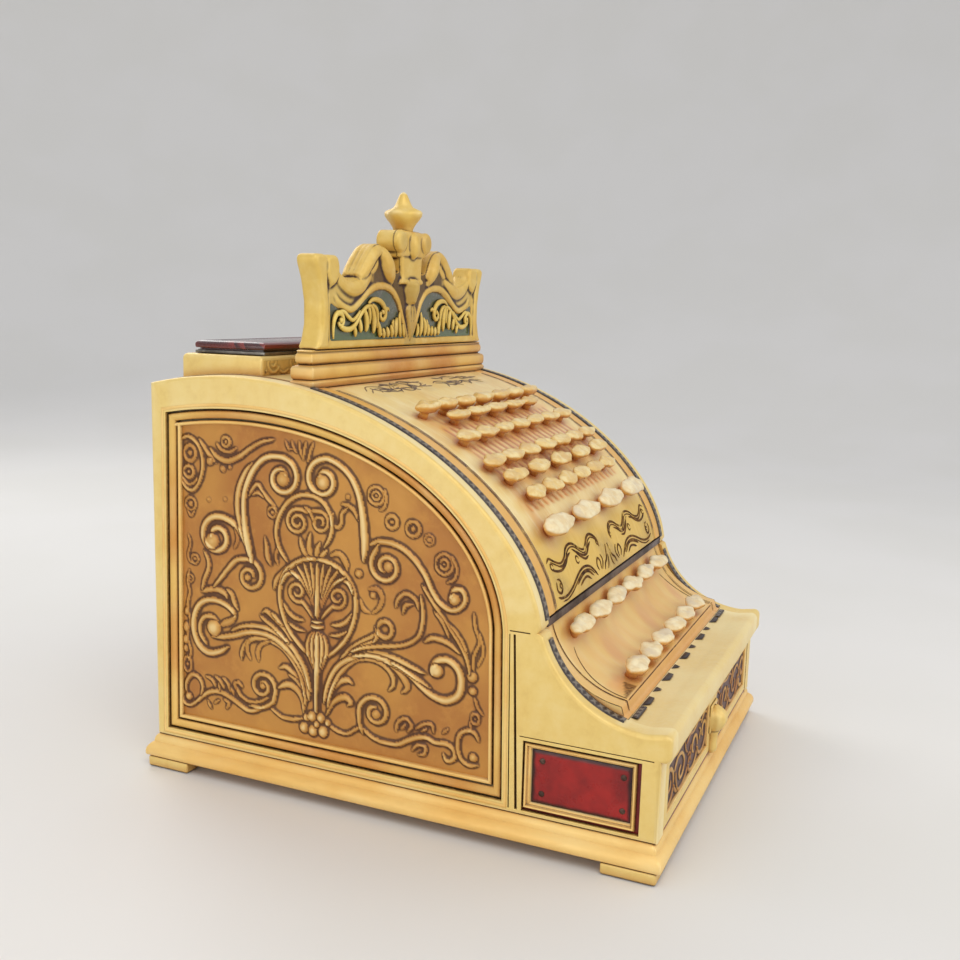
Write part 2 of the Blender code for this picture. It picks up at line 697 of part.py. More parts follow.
def make_crown():
    """Moulded crown base, pierced pediment, glass, finial and the two pop-up flags."""
    middle = (CROWN_FRONT + CROWN_REAR) / 2.0
    under = [cubic(ARCH, arch_at(y)) + Vector((0.0, GAP)) for y in (CROWN_FRONT, middle, CROWN_REAR)]
    outline = under + [Vector(p) for p in (
        (CROWN_REAR, CROWN_STEP), (CROWN_REAR - 0.0020, CROWN_STEP + 0.0012),
        (CROWN_REAR - 0.0020, CROWN_BASE_TOP), (CROWN_FRONT + 0.0020, CROWN_BASE_TOP),
        (CROWN_FRONT + 0.0020, CROWN_STEP + 0.0012), (CROWN_FRONT, CROWN_STEP),
    )]
    base = prism("crown_base", outline, along_x, -CROWN_HALF_WIDTH, CROWN_HALF_WIDTH, "moulding_gilt")
    boolean(base, flag_slot("crown_base_slot_cutter"), "DIFFERENCE")

    low = CROWN_BASE_TOP + GAP
    half = [
        (0.0, low), (0.1860, low), (0.1780, 0.4290), (0.1735, 0.4450), (0.1740, 0.4700),
        (0.1800, 0.4880), (0.1865, 0.5020), (0.1850, 0.5080), (0.1500, 0.5080), (0.1460, 0.5020),
        (0.1440, 0.4920), (0.1250, 0.4850), (0.1080, 0.4860), (0.1000, 0.4920), (0.0880, 0.5060),
        (0.0720, 0.5210), (0.0600, 0.5230), (0.0460, 0.5200), (0.0400, 0.5300), (0.0340, 0.5380),
        (0.0230, 0.5410), (0.0140, 0.5380), (0.0132, 0.5340),
    ]
    pediment = prism(
        "crown_pediment", mirrored(half), along_y,
        CROWN_FRONT + 0.0015, CROWN_REAR - 0.0015, "body_gilt",
    )
    windows = bmesh.new()
    for side in (-1.0, 1.0):
        outline = [(side * x, z) for x, z in window_half(0.0)]
        fill_prism(windows, outline, along_y, CROWN_FRONT - 0.01, CROWN_REAR + 0.01)
    boolean(pediment, cutter("crown_window_cutter", windows), "DIFFERENCE")
    boolean(pediment, flag_slot("pediment_slot_cutter"), "DIFFERENCE")

    for side_name, side in (("left", -1.0), ("right", 1.0)):
        outline = [(side * x, z) for x, z in window_half(GAP)]
        prism(f"crown_glass_{side_name}", outline, along_y, GLASS_Y[0] + 0.0005, GLASS_Y[1], "window_glass")

        x = side * FLAG_X
        width, depth, height = FLAG_SIZE
        plate_low = FLAG_TOP - height
        flag = [
            (x - 0.004, plate_low - 0.045), (x + 0.004, plate_low - 0.045), (x + 0.004, plate_low),
            (x + width / 2.0, plate_low), (x + width / 2.0, FLAG_TOP),
            (x - width / 2.0, FLAG_TOP), (x - width / 2.0, plate_low), (x - 0.004, plate_low),
        ]
        front = FLAG_Y - depth / 2.0
        prism(f"price_flag_{side_name}", flag, along_y, front, front + depth, "flag_white")

    foot = 0.5343
    profile = (
        (0.0, foot), (0.0120, foot), (0.0108, 0.5400), (0.0125, 0.5440), (0.0180, 0.5500), (0.0208, 0.5560),
        (0.0196, 0.5600), (0.0120, 0.5630), (0.0080, 0.5680), (0.0060, 0.5740), (0.0035, 0.5785),
        (0.0, CROWN_TIP),
    )
    finial = turned("crown_finial", profile, 14, "body_gilt")
    finial.location = (0.0, middle, 0.0)


# ---------------------------------------------------------------- receipt box
def make_receipt_box():
    """The shallow paper box behind the crown, its hinged wooden lid and the hinge pin."""
    ys = [BOX_FRONT + (BOX_REAR - BOX_FRONT) * i / 4.0 for i in range(5)]
    bottom = [cubic(ARCH, arch_at(y)) + Vector((0.0, GAP)) for y in ys]
    outline = bottom + [Vector((BOX_REAR, BOX_TOP)), Vector((BOX_FRONT, BOX_TOP))]
    tray = prism("receipt_box", outline, along_x, -BOX_HALF_WIDTH, BOX_HALF_WIDTH, "body_gilt")
    bm = bmesh.new()
    low = (-BOX_HALF_WIDTH + 0.0200, BOX_FRONT + BOX_WALL, 0.3960)
    high = (BOX_HALF_WIDTH - 0.0200, BOX_REAR - BOX_WALL - 0.004, BOX_TOP + 0.01)
    fill_box(bm, low, high)
    boolean(tray, cutter("receipt_hollow_cutter", bm), "DIFFERENCE")

    pin = turned(
        "lid_hinge_pin",
        ((0.0, -0.150), (PIN_RADIUS, -0.150), (PIN_RADIUS, 0.150), (0.0, 0.150)), 12, "steel",
    )
    pin.rotation_euler = (0.0, math.radians(90.0), 0.0)
    pin.location = (0.0, PIN_Y, PIN_Z)

    bottom_z = BOX_TOP + GAP - PIN_Z
    top_z = bottom_z + LID_THICKNESS
    front = LID_FRONT - PIN_Y
    rear = LID_REAR - PIN_Y
    outline = (
        (rear, bottom_z), (rear, top_z - 0.003), (rear - 0.002, top_z), (front + 0.003, top_z),
        (front, top_z - 0.003), (front, top_z - 0.006), (front + 0.002, top_z - 0.0075),
        (front + 0.002, bottom_z),
    )
    lid = prism("box_lid", outline, along_x, -LID_HALF_WIDTH, LID_HALF_WIDTH, "lid_wood")
    lid.location = (0.0, PIN_Y, PIN_Z)


# ---------------------------------------------------------------- mechanism
def make_mechanism():
    """The cross shaft, the bell and its hammer, and the bolt that holds the drawer shut."""
    x = INNER_HALF_WIDTH
    shaft = turned(
        "mechanism_shaft",
        ((0.0, -x), (SHAFT_RADIUS, -x), (SHAFT_RADIUS, x), (0.0, x)), 16, "steel",
    )
    shaft.rotation_euler = (0.0, math.radians(90.0), 0.0)
    shaft.location = (0.0, SHAFT_Y, SHAFT_Z)

    # the gong: its stud meets the back panel, its rim faces the panel
    rim = 0.0040
    profile = (
        (0.0, 0.0), (0.0045, 0.0), (0.0045, 0.0160), (0.0170, 0.0150), (0.0270, 0.0110), (0.0325, rim),
        (BELL_RADIUS, rim), (0.0300, 0.0130), (0.0190, 0.0185), (0.0, 0.0210),
    )
    bell = turned("bell", profile, 18, "bell_brass")
    bell.rotation_euler = (math.radians(90.0), 0.0, 0.0)
    bell.location = (BELL_X, BACK_FACE - GAP, BELL_Z)

    # the hammer turns on the cross shaft, its origin is on the shaft
    arm = box("bell_hammer", (-0.0030, -0.0030, 0.0060), (0.0030, 0.0030, 0.0960), "steel")
    hub = bmesh.new()
    fill_loft(hub, [
        [Vector((h, p.x, p.y)) for p in ellipse(0.0095, 0.0095, 0.0, 16)] for h in (-0.0060, 0.0060)
    ])
    head = ((0.003, 0.0915), (0.0078, 0.0955), (0.0078, 0.1045), (0.003, 0.1085))
    fill_loft(hub, [ellipse(r, r, z, 12) for r, z in head])
    boolean(arm, cutter("hammer_hub", hub), "UNION")
    bore = bmesh.new()
    fill_loft(bore, [
        [Vector((h, p.x, p.y)) for p in ellipse(0.0056, 0.0056, 0.0, 16)] for h in (-0.0100, 0.0100)
    ])
    boolean(arm, cutter("hammer_bore", bore), "DIFFERENCE")
    arm.location = (BELL_X, SHAFT_Y, SHAFT_Z)
    for name in ("hammer_hub", "hammer_bore"):
        bpy.data.objects[name].location = arm.location

    half = BOLT_SIZE / 2.0
    outline = (
        (-half, DECK_BOTTOM - 0.0004), (half, DECK_BOTTOM - 0.0004), (half, 0.1750), (0.0120, 0.1800),
        (0.0120, 0.1900), (-0.0120, 0.1900), (-0.0120, 0.1800), (-half, 0.1750),
    )
    prism("drawer_bolt", outline, along_y, BOLT_Y - half, BOLT_Y + half, "steel")


def main():
    clear_scene()
    for name in MATERIALS:
        make_material(name)
    make_plinth()
    make_feet()
    make_sides()
    make_shell()
    slots = bmesh.new()
    for row in KEY_ROWS:
        make_key_row(row, slots)
    make_big_keys(slots)
    make_upper_sheet(slots)
    make_lower_sheet_and_keys()
    make_drawer()
    make_pull()
    make_crown()
    make_receipt_box()
    make_mechanism()


main()
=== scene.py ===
"""Looks of the antique gilt cash register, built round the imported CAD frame.

Metres, +Z up, +X to the right of a person standing at the drawer, who looks along +Y.
"""
import json
import math

import bpy
import numpy as np
from mathutils import Matrix, Vector, geometry, noise

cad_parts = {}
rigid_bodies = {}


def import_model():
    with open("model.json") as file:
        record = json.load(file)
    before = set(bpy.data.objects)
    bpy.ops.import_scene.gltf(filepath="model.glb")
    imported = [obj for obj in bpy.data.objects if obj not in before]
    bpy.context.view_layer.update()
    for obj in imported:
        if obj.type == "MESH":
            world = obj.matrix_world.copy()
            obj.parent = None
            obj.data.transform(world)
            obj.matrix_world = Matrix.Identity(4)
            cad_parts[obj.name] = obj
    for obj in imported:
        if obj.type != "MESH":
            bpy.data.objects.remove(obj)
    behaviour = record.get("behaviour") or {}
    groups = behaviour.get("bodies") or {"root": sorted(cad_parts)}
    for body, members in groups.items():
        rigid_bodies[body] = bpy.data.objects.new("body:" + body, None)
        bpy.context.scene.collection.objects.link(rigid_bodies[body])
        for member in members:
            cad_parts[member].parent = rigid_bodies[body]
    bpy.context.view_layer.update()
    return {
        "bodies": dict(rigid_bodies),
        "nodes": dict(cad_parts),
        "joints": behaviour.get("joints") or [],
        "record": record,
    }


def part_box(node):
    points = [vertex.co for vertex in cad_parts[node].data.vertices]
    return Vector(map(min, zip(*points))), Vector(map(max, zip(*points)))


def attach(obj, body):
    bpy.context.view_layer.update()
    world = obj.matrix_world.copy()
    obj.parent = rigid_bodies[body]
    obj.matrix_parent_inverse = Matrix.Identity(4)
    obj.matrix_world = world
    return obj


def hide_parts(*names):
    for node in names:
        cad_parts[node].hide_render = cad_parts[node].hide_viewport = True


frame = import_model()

NODES = frame["nodes"]
SIDES = (("left", -1.0), ("right", 1.0))


def low(node):
    """The lowest corner of a CAD node."""
    return Vector(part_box(node)[0])


def high(node):
    """The highest corner of a CAD node."""
    return Vector(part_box(node)[1])


# ---------------------------------------------------------------- measures from the frame
CASE = high("side_frame_right").x            # outer face of the side frames
INNER = low("side_frame_right").x            # their inner face
CASE_REAR = high("side_frame_right").y
CASE_FRONT = low("side_frame_right").y
CASE_BOTTOM = low("side_frame_right").z
PANEL_FACE = high("side_panel_right").x
SHELF_LOW, SHELF_HIGH = low("front_shelf"), high("front_shelf")
PLINTH_LOW, PLINTH_HIGH = low("base_plinth"), high("base_plinth")
CROWN_LOW, CROWN_HIGH = low("crown_base"), high("crown_base")
PEDIMENT_LOW, PEDIMENT_HIGH = low("crown_pediment"), high("crown_pediment")
PLATE_LOW, PLATE_HIGH = low("enamel_plate_right"), high("enamel_plate_right")

# curves in the side view, as in the CAD: (y, z), rear end first
ARCH = ((0.2587, 0.3845), (0.0492, 0.4324), (-0.1303, 0.3050), (-0.1456, 0.2000))
WINDOW_ARCH = ((0.2410, 0.3570), (0.0635, 0.3904), (-0.1020, 0.3119), (-0.1120, 0.1935))
WINDOW_BOTTOM = 0.0407
WINDOW_FOOT = -0.1155
COVE_CENTRE = (-0.2410, 0.2225)
COVE_RADIUS = 0.0980
COVE_START = -17.4                           # degrees, where the cove begins under the arch
ARCH_FOOT = (-0.1432, 0.1955)

TENTHS = 10000.0                             # tenths of a millimetre in a metre, for tables


# ---------------------------------------------------------------- mesh helpers
def link_object(name, data):
    """A new object in the scene."""
    obj = bpy.data.objects.new(name, data)
    bpy.context.scene.collection.objects.link(obj)
    return obj


def finish_mesh(name, verts, faces, material, body, replaces=(), angle=40.0,
                attributes=None, flip=False):
    """Make an object from vertices and faces, shade it, and put it on its body."""
    mesh = bpy.data.meshes.new(name)
    mesh.from_pydata([tuple(v) for v in verts], [], [tuple(f) for f in faces])
    if flip:
        mesh.flip_normals()
    for key, values in (attributes or {}).items():
        layer = mesh.attributes.new(key, "FLOAT", "POINT")
        layer.data.foreach_set("value", np.asarray(values, dtype=np.float32))
    return place_mesh(name, mesh, material, body, replaces, angle)


def place_mesh(name, mesh, material, body, replaces=(), angle=40.0):
    """Shade a mesh, give it its material, put it on its body and hide the CAD nodes it replaces."""
    mesh.validate()
    mesh.polygons.foreach_set("use_smooth", [True] * len(mesh.polygons))
    if angle:
        mesh.set_sharp_from_angle(angle=math.radians(angle))
    mesh.materials.clear()
    mesh.materials.append(material)
    obj = link_object(name, mesh)
    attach(obj, body)
    if replaces:
        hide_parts(*replaces)
    return obj


class Shape:
    """Vertices and faces that grow part by part, with one float layer for paint."""

    def __init__(self):
        self.verts, self.faces, self.tone = [], [], []

    def add(self, verts, faces, tone=0.0):
        base = len(self.verts)
        self.verts += [tuple(v) for v in verts]
        self.faces += [tuple(i + base for i in f) for f in faces]
        self.tone += list(tone) if hasattr(tone, "__len__") else [tone] * len(verts)
        return self

    def build(self, name, material, slot, body, replaces=(), angle=40.0):
        """Turn the shape into an object of the scene."""
        return finish_mesh(name, self.verts, self.faces, material, body, replaces, angle,
                           {"tone": self.tone})


def net(rows, columns, wrap_columns=False):
    """Quads over a grid of points listed row by row."""
    faces = []
    for i in range(rows - 1):
        for j in range(columns if wrap_columns else columns - 1):
            here, above, ahead = i * columns, (i + 1) * columns, (j + 1) % columns
            faces.append((here + j, here + ahead, above + ahead, above + j))
    return faces


def capped_net(rows, columns):
    """A closed skin over stacked rings, with a face at both ends."""
    last = (rows - 1) * columns
    return net(rows, columns, wrap_columns=True) + [tuple(range(columns))[::-1],
                                                    tuple(range(last, last + columns))]


def rings(profile, place, sides):
    """Circles round an axis: profile is (height, radius), place(height, a, b) sets each point."""
    turns = np.linspace(0.0, 2.0 * math.pi, sides, endpoint=False)
    return [place(h, r * math.cos(t), r * math.sin(t)) for h, r in profile for t in turns]


def cubic(points, t):
    """Points on a cubic Bezier curve."""
    a, b, c, d = (np.array(p) for p in points)
    t = np.asarray(t, dtype=float)[..., None]
    s = 1.0 - t
    return a * s ** 3 + 3 * b * s * s * t + 3 * c * s * t * t + d * t ** 3


def resample(points, step):
    """Points a step apart along a path."""
    points = np.asarray(points, dtype=float)
    lengths = np.r_[0.0, np.cumsum(np.linalg.norm(np.diff(points, axis=0), axis=1))]
    count = max(2, int(round(lengths[-1] / step)) + 1)
    at = np.linspace(0.0, lengths[-1], count)
    return np.stack([np.interp(at, lengths, points[:, k]) for k in range(points.shape[1])], 1)


def dense(ring, step):
    """A closed outline with extra points on its long sides; the corners stay."""
    out = []
    for p, q in zip(ring, np.roll(ring, -1, 0)):
        p, q = np.asarray(p, dtype=float), np.asarray(q, dtype=float)
        count = max(1, int(np.linalg.norm(q - p) / step))
        out += [p + (q - p) * k / count for k in range(count)]
    return np.array(out)


def smooth_path(points, step):
    """A Catmull-Rom curve through points, with any number of columns, resampled."""
    p = np.asarray(points, dtype=float)
    p = np.vstack([2 * p[0] - p[1], p, 2 * p[-1] - p[-2]])
    out = []
    for i in range(1, len(p) - 2):
        t = np.linspace(0.0, 1.0, 9)[:-1, None]
        a, b, c, d = p[i - 1], p[i], p[i + 1], p[i + 2]
        out.append(0.5 * (2 * b + (c - a) * t + (2 * a - 5 * b + 4 * c - d) * t ** 2
                          + (3 * b - a - 3 * c + d) * t ** 3))
    out.append(p[-2][None, :])
    return resample(np.vstack(out), step)


def offset_ring(ring, inset):
    """Move a closed counter-clockwise outline inwards, with mitred corners."""
    ring = np.asarray(ring, dtype=float)
    before, after = np.roll(ring, 1, 0), np.roll(ring, -1, 0)
    d0, d1 = ring - before, after - ring
    d0 /= np.linalg.norm(d0, axis=1)[:, None]
    d1 /= np.linalg.norm(d1, axis=1)[:, None]
    n0 = np.stack([-d0[:, 1], d0[:, 0]], 1)
    n1 = np.stack([-d1[:, 1], d1[:, 0]], 1)
    mitre = (n0 + n1) / np.maximum(1.0 + (n0 * n1).sum(1), 0.35)[:, None]
    return ring + mitre * inset


def counter_clockwise(ring):
    """The outline, turned round if it runs clockwise."""
    ring = np.asarray(ring, dtype=float)
    area = (ring[:, 0] * np.roll(ring[:, 1], -1) - np.roll(ring[:, 0], -1) * ring[:, 1]).sum()
    return ring if area > 0 else ring[::-1]


def fill(rings):
    """Triangles over an outline with holes; the indices run through all the rings."""
    points, edges = [], []
    for ring in rings:
        base = len(points)
        points += [Vector((a, b)) for a, b in ring]
        edges += [(base + i, base + (i + 1) % len(ring)) for i in range(len(ring))]
    made, _, faces, origin, _, _ = geometry.delaunay_2d_cdt(points, edges, [], 1, 1e-7)
    middle = np.array([np.mean([made[i] for i in f], axis=0) for f in faces])
    keep = inside(np.asarray(rings[0]), middle[:, 0], middle[:, 1])
    for hole in rings[1:]:
        keep &= ~inside(np.asarray(hole), middle[:, 0], middle[:, 1])
    flat = np.array([tuple(p) for p in points])
    index = [o[0] if o else int(np.argmin(np.linalg.norm(flat - np.array(tuple(m)), axis=1)))
             for o, m in zip(origin, made)]
    faces = [tuple(index[i] for i in f) for f, k in zip(faces, keep) if k]
    return [f for f in faces if len(set(f)) == 3]


def inside(ring, A, B):
    """Whether each point lies in a closed outline."""
    result = np.zeros(A.shape, dtype=bool)
    for (x0, y0), (x1, y1) in zip(ring, np.roll(ring, -1, 0)):
        crosses = (y0 > B) != (y1 > B)
        with np.errstate(divide="ignore", invalid="ignore"):
            at = x0 + (B - y0) * (x1 - x0) / (y1 - y0)
        result ^= crosses & (A < at)
    return result


def slab(shape, outline, holes, place, edge, hole_edge, front, back, tone=0.0):
    """A plate with worked edges: edge is a list of (inset, depth below the front face)."""
    outline = counter_clockwise(outline)
    holes = [counter_clockwise(h)[::-1] for h in holes]
    caps = []
    for ring, profile in [(outline, edge)] + [(h, hole_edge) for h in holes]:
        rows = [(offset_ring(ring, inset), front - depth) for inset, depth in profile]
        rows.append((rows[-1][0], back))
        verts = [place(a, b, h) for points, h in rows for a, b in points]
        shape.add(verts, net(len(rows), len(ring), wrap_columns=True), tone)
        caps.append((rows[0][0], rows[-1][0]))
    for k, height in ((0, front - edge[0][1]), (1, back)):
        rings = [c[k] for c in caps]
        verts = [place(a, b, height) for ring in rings for a, b in ring]
        shape.add(verts, fill(rings), tone)
    return shape


def moulding(shape, ring, profile, place, tone=0.0):
    """A strip that follows a closed outline: profile is a list of (inset, height)."""
    ring = counter_clockwise(ring)
    rows = [(offset_ring(ring, inset), height) for inset, height in profile]
    verts = [place(a, b, h) for points, h in rows for a, b in points]
    return shape.add(verts, net(len(rows), len(ring), wrap_columns=True), tone)


def tube(shape, path, radii, sides=8, flat=1.0, tone=0.0):
    """A round or flattened tube along a path, with its own radius at each point."""
    path = np.asarray(path, dtype=float)
    radii = np.broadcast_to(np.asarray(radii, dtype=float), (len(path),))
    tangent = np.gradient(path, axis=0)
    tangent /= np.linalg.norm(tangent, axis=1)[:, None]
    side = np.cross(tangent, (0.0, 1.0, 0.0))
    side /= np.maximum(np.linalg.norm(side, axis=1), 1e-9)[:, None]
    top = np.cross(side, tangent)
    turns = np.linspace(0.0, 2.0 * math.pi, sides, endpoint=False)
    skin = (path[:, None, :] + radii[:, None, None] * (np.cos(turns)[None, :, None] * side[:, None, :]
            + flat * np.sin(turns)[None, :, None] * top[:, None, :]))
    return shape.add(skin.reshape(-1, 3), capped_net(len(path), sides), tone)


def ball(shape, centre, radii, rows=8, sides=12, tone=0.0):
    """An ellipsoid."""
    verts = []
    for i in range(rows + 1):
        lat = math.pi * i / rows
        for k in range(sides):
            lon = 2.0 * math.pi * k / sides
            verts.append(Vector(centre) + Vector((radii[0] * math.sin(lat) * math.cos(lon),
                                                  radii[1] * math.sin(lat) * math.sin(lon),
                                                  radii[2] * math.cos(lat))))
    return shape.add(verts, net(rows + 1, sides, wrap_columns=True), tone)


def lathe(shape, profile, centre, sides, lobes, depth):
    """Revolve (radius, height) round a vertical axis, with soft lobes."""
    verts = []
    for radius, height in profile:
        for k in range(sides):
            turn = 2.0 * math.pi * k / sides
            r = radius * (1.0 + depth * math.cos(lobes * turn))
            verts.append((centre[0] + r * math.cos(turn), centre[1] + r * math.sin(turn), height))
    return shape.add(verts, net(len(profile), sides, wrap_columns=True))


def rounded_box(shape, lo, hi, radius, tone=0.0):
    """A block whose edges are all rounded."""
    segments = 3
    lo, hi = np.array(lo, dtype=float), np.array(hi, dtype=float)
    centre, half = (lo + hi) / 2.0, (hi - lo) / 2.0
    core = np.maximum(half - radius, 0.0)
    steps = [np.unique(np.r_[np.linspace(-h, -c, segments + 1), np.linspace(c, h, segments + 1)])
             for h, c in zip(half, core)]
    verts, index, faces = [], {}, []

    def vertex(i, j, k):
        key = (i, j, k)
        if key not in index:
            p = np.array([steps[0][i], steps[1][j], steps[2][k]])
            inner = np.clip(p, -core, core)
            d = p - inner
            n = np.linalg.norm(d)
            reach = np.abs(d).max()
            if n > 1e-9 and reach > 0:
                p = inner + d / n * min(radius, reach)
            index[key] = len(verts)
            verts.append(centre + p)
        return index[key]

    sizes = [len(s) for s in steps]
    for axis in range(3):
        u, v = [a for a in range(3) if a != axis]
        for end in (0, sizes[axis] - 1):
            for i in range(sizes[u] - 1):
                for j in range(sizes[v] - 1):
                    quad = []
                    for du, dv in ((0, 0), (1, 0), (1, 1), (0, 1)):
                        key = [0, 0, 0]
                        key[axis], key[u], key[v] = end, i + du, j + dv
                        quad.append(vertex(*key))
                    flip = (end == 0) == (axis != 1)
                    faces.append(tuple(quad[::-1] if flip else quad))
    return shape.add(verts, faces, tone)


# ---------------------------------------------------------------- materials
def rgb(code):
    """Linear colour from a hex code."""
    parts = [int(code[i:i + 2], 16) / 255.0 for i in (0, 2, 4)]
    return tuple(c / 12.92 if c < 0.04045 else ((c + 0.055) / 1.055) ** 2.4 for c in parts) + (1.0,)


class Tree:
    """A small helper that adds shader nodes and links them."""

    def __init__(self, name):
        self.material = bpy.data.materials.new(name)
        self.material.use_nodes = True
        self.tree = self.material.node_tree
        self.tree.nodes.clear()
        self.coordinates = self.node("ShaderNodeTexCoord").outputs["Object"]

    def node(self, kind, values=None, **settings):
        """A shader node with its settings and its input values or links."""
        made = self.tree.nodes.new(kind)
        for key, value in settings.items():
            setattr(made, key, value)
        for key, value in (values or {}).items():
            self.set(made.inputs[key], value)
        return made

    def set(self, socket, value):
        """Link an output to a socket, or give the socket a value."""
        if hasattr(value, "is_output"):
            self.tree.links.new(value, socket)
        else:
            socket.default_value = value

    def math(self, operation, a, b=0.0):
        made = self.node("ShaderNodeMath", operation=operation)
        self.set(made.inputs[0], a)
        self.set(made.inputs[1], b)
        return made.outputs[0]

    def noise(self, scale, detail=3.0, roughness=0.55, stretch=None, distortion=0.0):
        vector = self.coordinates
        if stretch:
            vector = self.node("ShaderNodeMapping", {"Vector": vector, "Scale": stretch}).outputs[0]
        return self.node("ShaderNodeTexNoise", {
            "Vector": vector, "Scale": scale, "Detail": detail, "Roughness": roughness,
            "Distortion": distortion,
        }).outputs["Fac"]

    def ramp(self, value, start, end, low_value=0.0, high_value=1.0):
        return self.node("ShaderNodeMapRange", {
            "Value": value, "From Min": start, "From Max": end, "To Min": low_value, "To Max": high_value,
        }, clamp=True, interpolation_type="SMOOTHSTEP").outputs[0]

    def mix(self, factor, a, b):
        made = self.node("ShaderNodeMix", data_type="RGBA", blend_type="MIX", clamp_factor=True)
        self.set(made.inputs[0], factor)
        self.set(made.inputs[6], a)
        self.set(made.inputs[7], b)
        return made.outputs[2]

    def wash(self, colour, code, value, start, end, low_value=0.0, high_value=1.0):
        """Lay a colour over another where a value passes from start to end."""
        return self.mix(self.ramp(value, start, end, low_value, high_value), colour, rgb(code))

    def attribute(self, name):
        return self.node("ShaderNodeAttribute", attribute_name=name).outputs["Fac"]

    def occlusion(self, distance):
        return self.node("ShaderNodeAmbientOcclusion", {"Distance": distance}, samples=6).outputs["AO"]

    def pointiness(self):
        return self.node("ShaderNodeNewGeometry").outputs["Pointiness"]

    def bump(self, height, distance, strength=1.0, normal=None):
        values = {"Height": height, "Distance": distance, "Strength": strength}
        if normal is not None:
            values["Normal"] = normal
        return self.node("ShaderNodeBump", values).outputs[0]

    def surface(self, colour, roughness, metallic=0.0, normal=None, coat=0.0, coat_roughness=0.2,
                specular=0.5):
        shader = self.node("ShaderNodeBsdfPrincipled", {
            "Base Color": colour, "Roughness": roughness, "Metallic": metallic,
            "Coat Weight": coat, "Coat Roughness": coat_roughness, "Specular IOR Level": specular,
        })
        if normal is not None:
            self.set(shader.inputs["Normal"], normal)
        output = self.node("ShaderNodeOutputMaterial")
        self.tree.links.new(shader.outputs[0], output.inputs[0])
        return self.material


def gilt(name, light, warm, ink, recess="8A4A14", reach=0.006, metallic=0.22, roughness=0.44, streak=None,
         ink_amount=0.9, mottle=0.16):
    """Aged gilding: two golds that drift into each other, orange painted shade in hollows, dark patina and
    painted shade in seams, pale edges of rubbed wear and painted highlight.
    """
    t = Tree(name)
    broad = t.ramp(t.noise(9.0, 2.0), 0.35, 0.68)
    colour = t.mix(broad, rgb(light), rgb(warm))
    fine = t.noise(70.0, 4.0, 0.6, streak)
    colour = t.wash(colour, "FBEBB4", fine, 0.42, 0.75, 0.0, mottle)
    colour = t.wash(colour, "B9822E", fine, 0.50, 0.25, 0.0, mottle * 0.9)
    # painted shade: orange where nearby parts hide the surface, in hollows and under overhangs
    hollow = t.occlusion(reach * 2.6)
    grain = t.noise(240.0, 3.0)
    colour = t.mix(t.math("MULTIPLY", t.ramp(hollow, 0.92, 0.45), 0.62), colour, rgb(recess))
    # dark patina and painted shade in tight seams and between parts
    seam = t.ramp(t.math("ADD", t.occlusion(reach), t.ramp(grain, 0.3, 0.7, -0.08, 0.08)), 0.62, 0.30)
    colour = t.mix(t.math("MULTIPLY", seam, ink_amount), colour, rgb(ink))
    colour = t.mix(t.attribute("tone"), colour, rgb(ink))
    # pale sharp edges: rubbed wear and painted highlight
    edge = t.ramp(t.pointiness(), 0.53, 0.62, 0.0, 0.55)
    colour = t.mix(edge, colour, rgb("FFF2C2"))
    rough = t.ramp(grain, 0.3, 0.7, roughness - 0.06, roughness + 0.12)
    normal = t.bump(fine, 0.00010, 0.4)
    normal = t.bump(grain, 0.00008, 0.5, normal)
    return t.surface(colour, rough, metallic, normal, coat=0.15, coat_roughness=0.35)


def bronze_relief():
    """Cast bronze panel: brown ground, pale gold ridges with a painted highlight on their tops, dark
    outlines of patina and painted shade in the hollows.
    """
    t = Tree("relief_bronze")
    broad = t.ramp(t.noise(11.0, 2.0), 0.35, 0.65)
    colour = t.mix(broad, rgb("C58C3E"), rgb("B17432"))
    mottle = t.noise(45.0, 5.0, 0.65)
    colour = t.wash(colour, "D49B48", mottle, 0.45, 0.75, 0.0, 0.5)
    ridge = t.ramp(t.attribute("ridge"), 0.30, 0.85)
    tip = t.mix(t.ramp(t.noise(30.0, 3.0), 0.35, 0.7), rgb("E0B56A"), rgb("CB9749"))
    colour = t.mix(ridge, colour, tip)
    grain = t.noise(260.0, 3.0)
    # patina and painted shade: dark in the hollows and in a line round every ridge
    dark = t.math("ADD", t.attribute("ink"), t.ramp(grain, 0.3, 0.7, -0.06, 0.06))
    colour = t.wash(colour, "3E1C0A", dark, 0.18, 0.90, 0.0, 0.86)
    # painted highlight on the tops of the ridges
    colour = t.wash(colour, "F8DFA2", t.attribute("ridge"), 0.74, 1.0, 0.0, 0.58)
    rough = t.ramp(mottle, 0.3, 0.7, 0.36, 0.52)
    normal = t.bump(mottle, 0.0006, 0.6)
    normal = t.bump(grain, 0.00015, 0.6, normal)
    return t.surface(colour, rough, 0.25, normal, coat=0.1, coat_roughness=0.35)


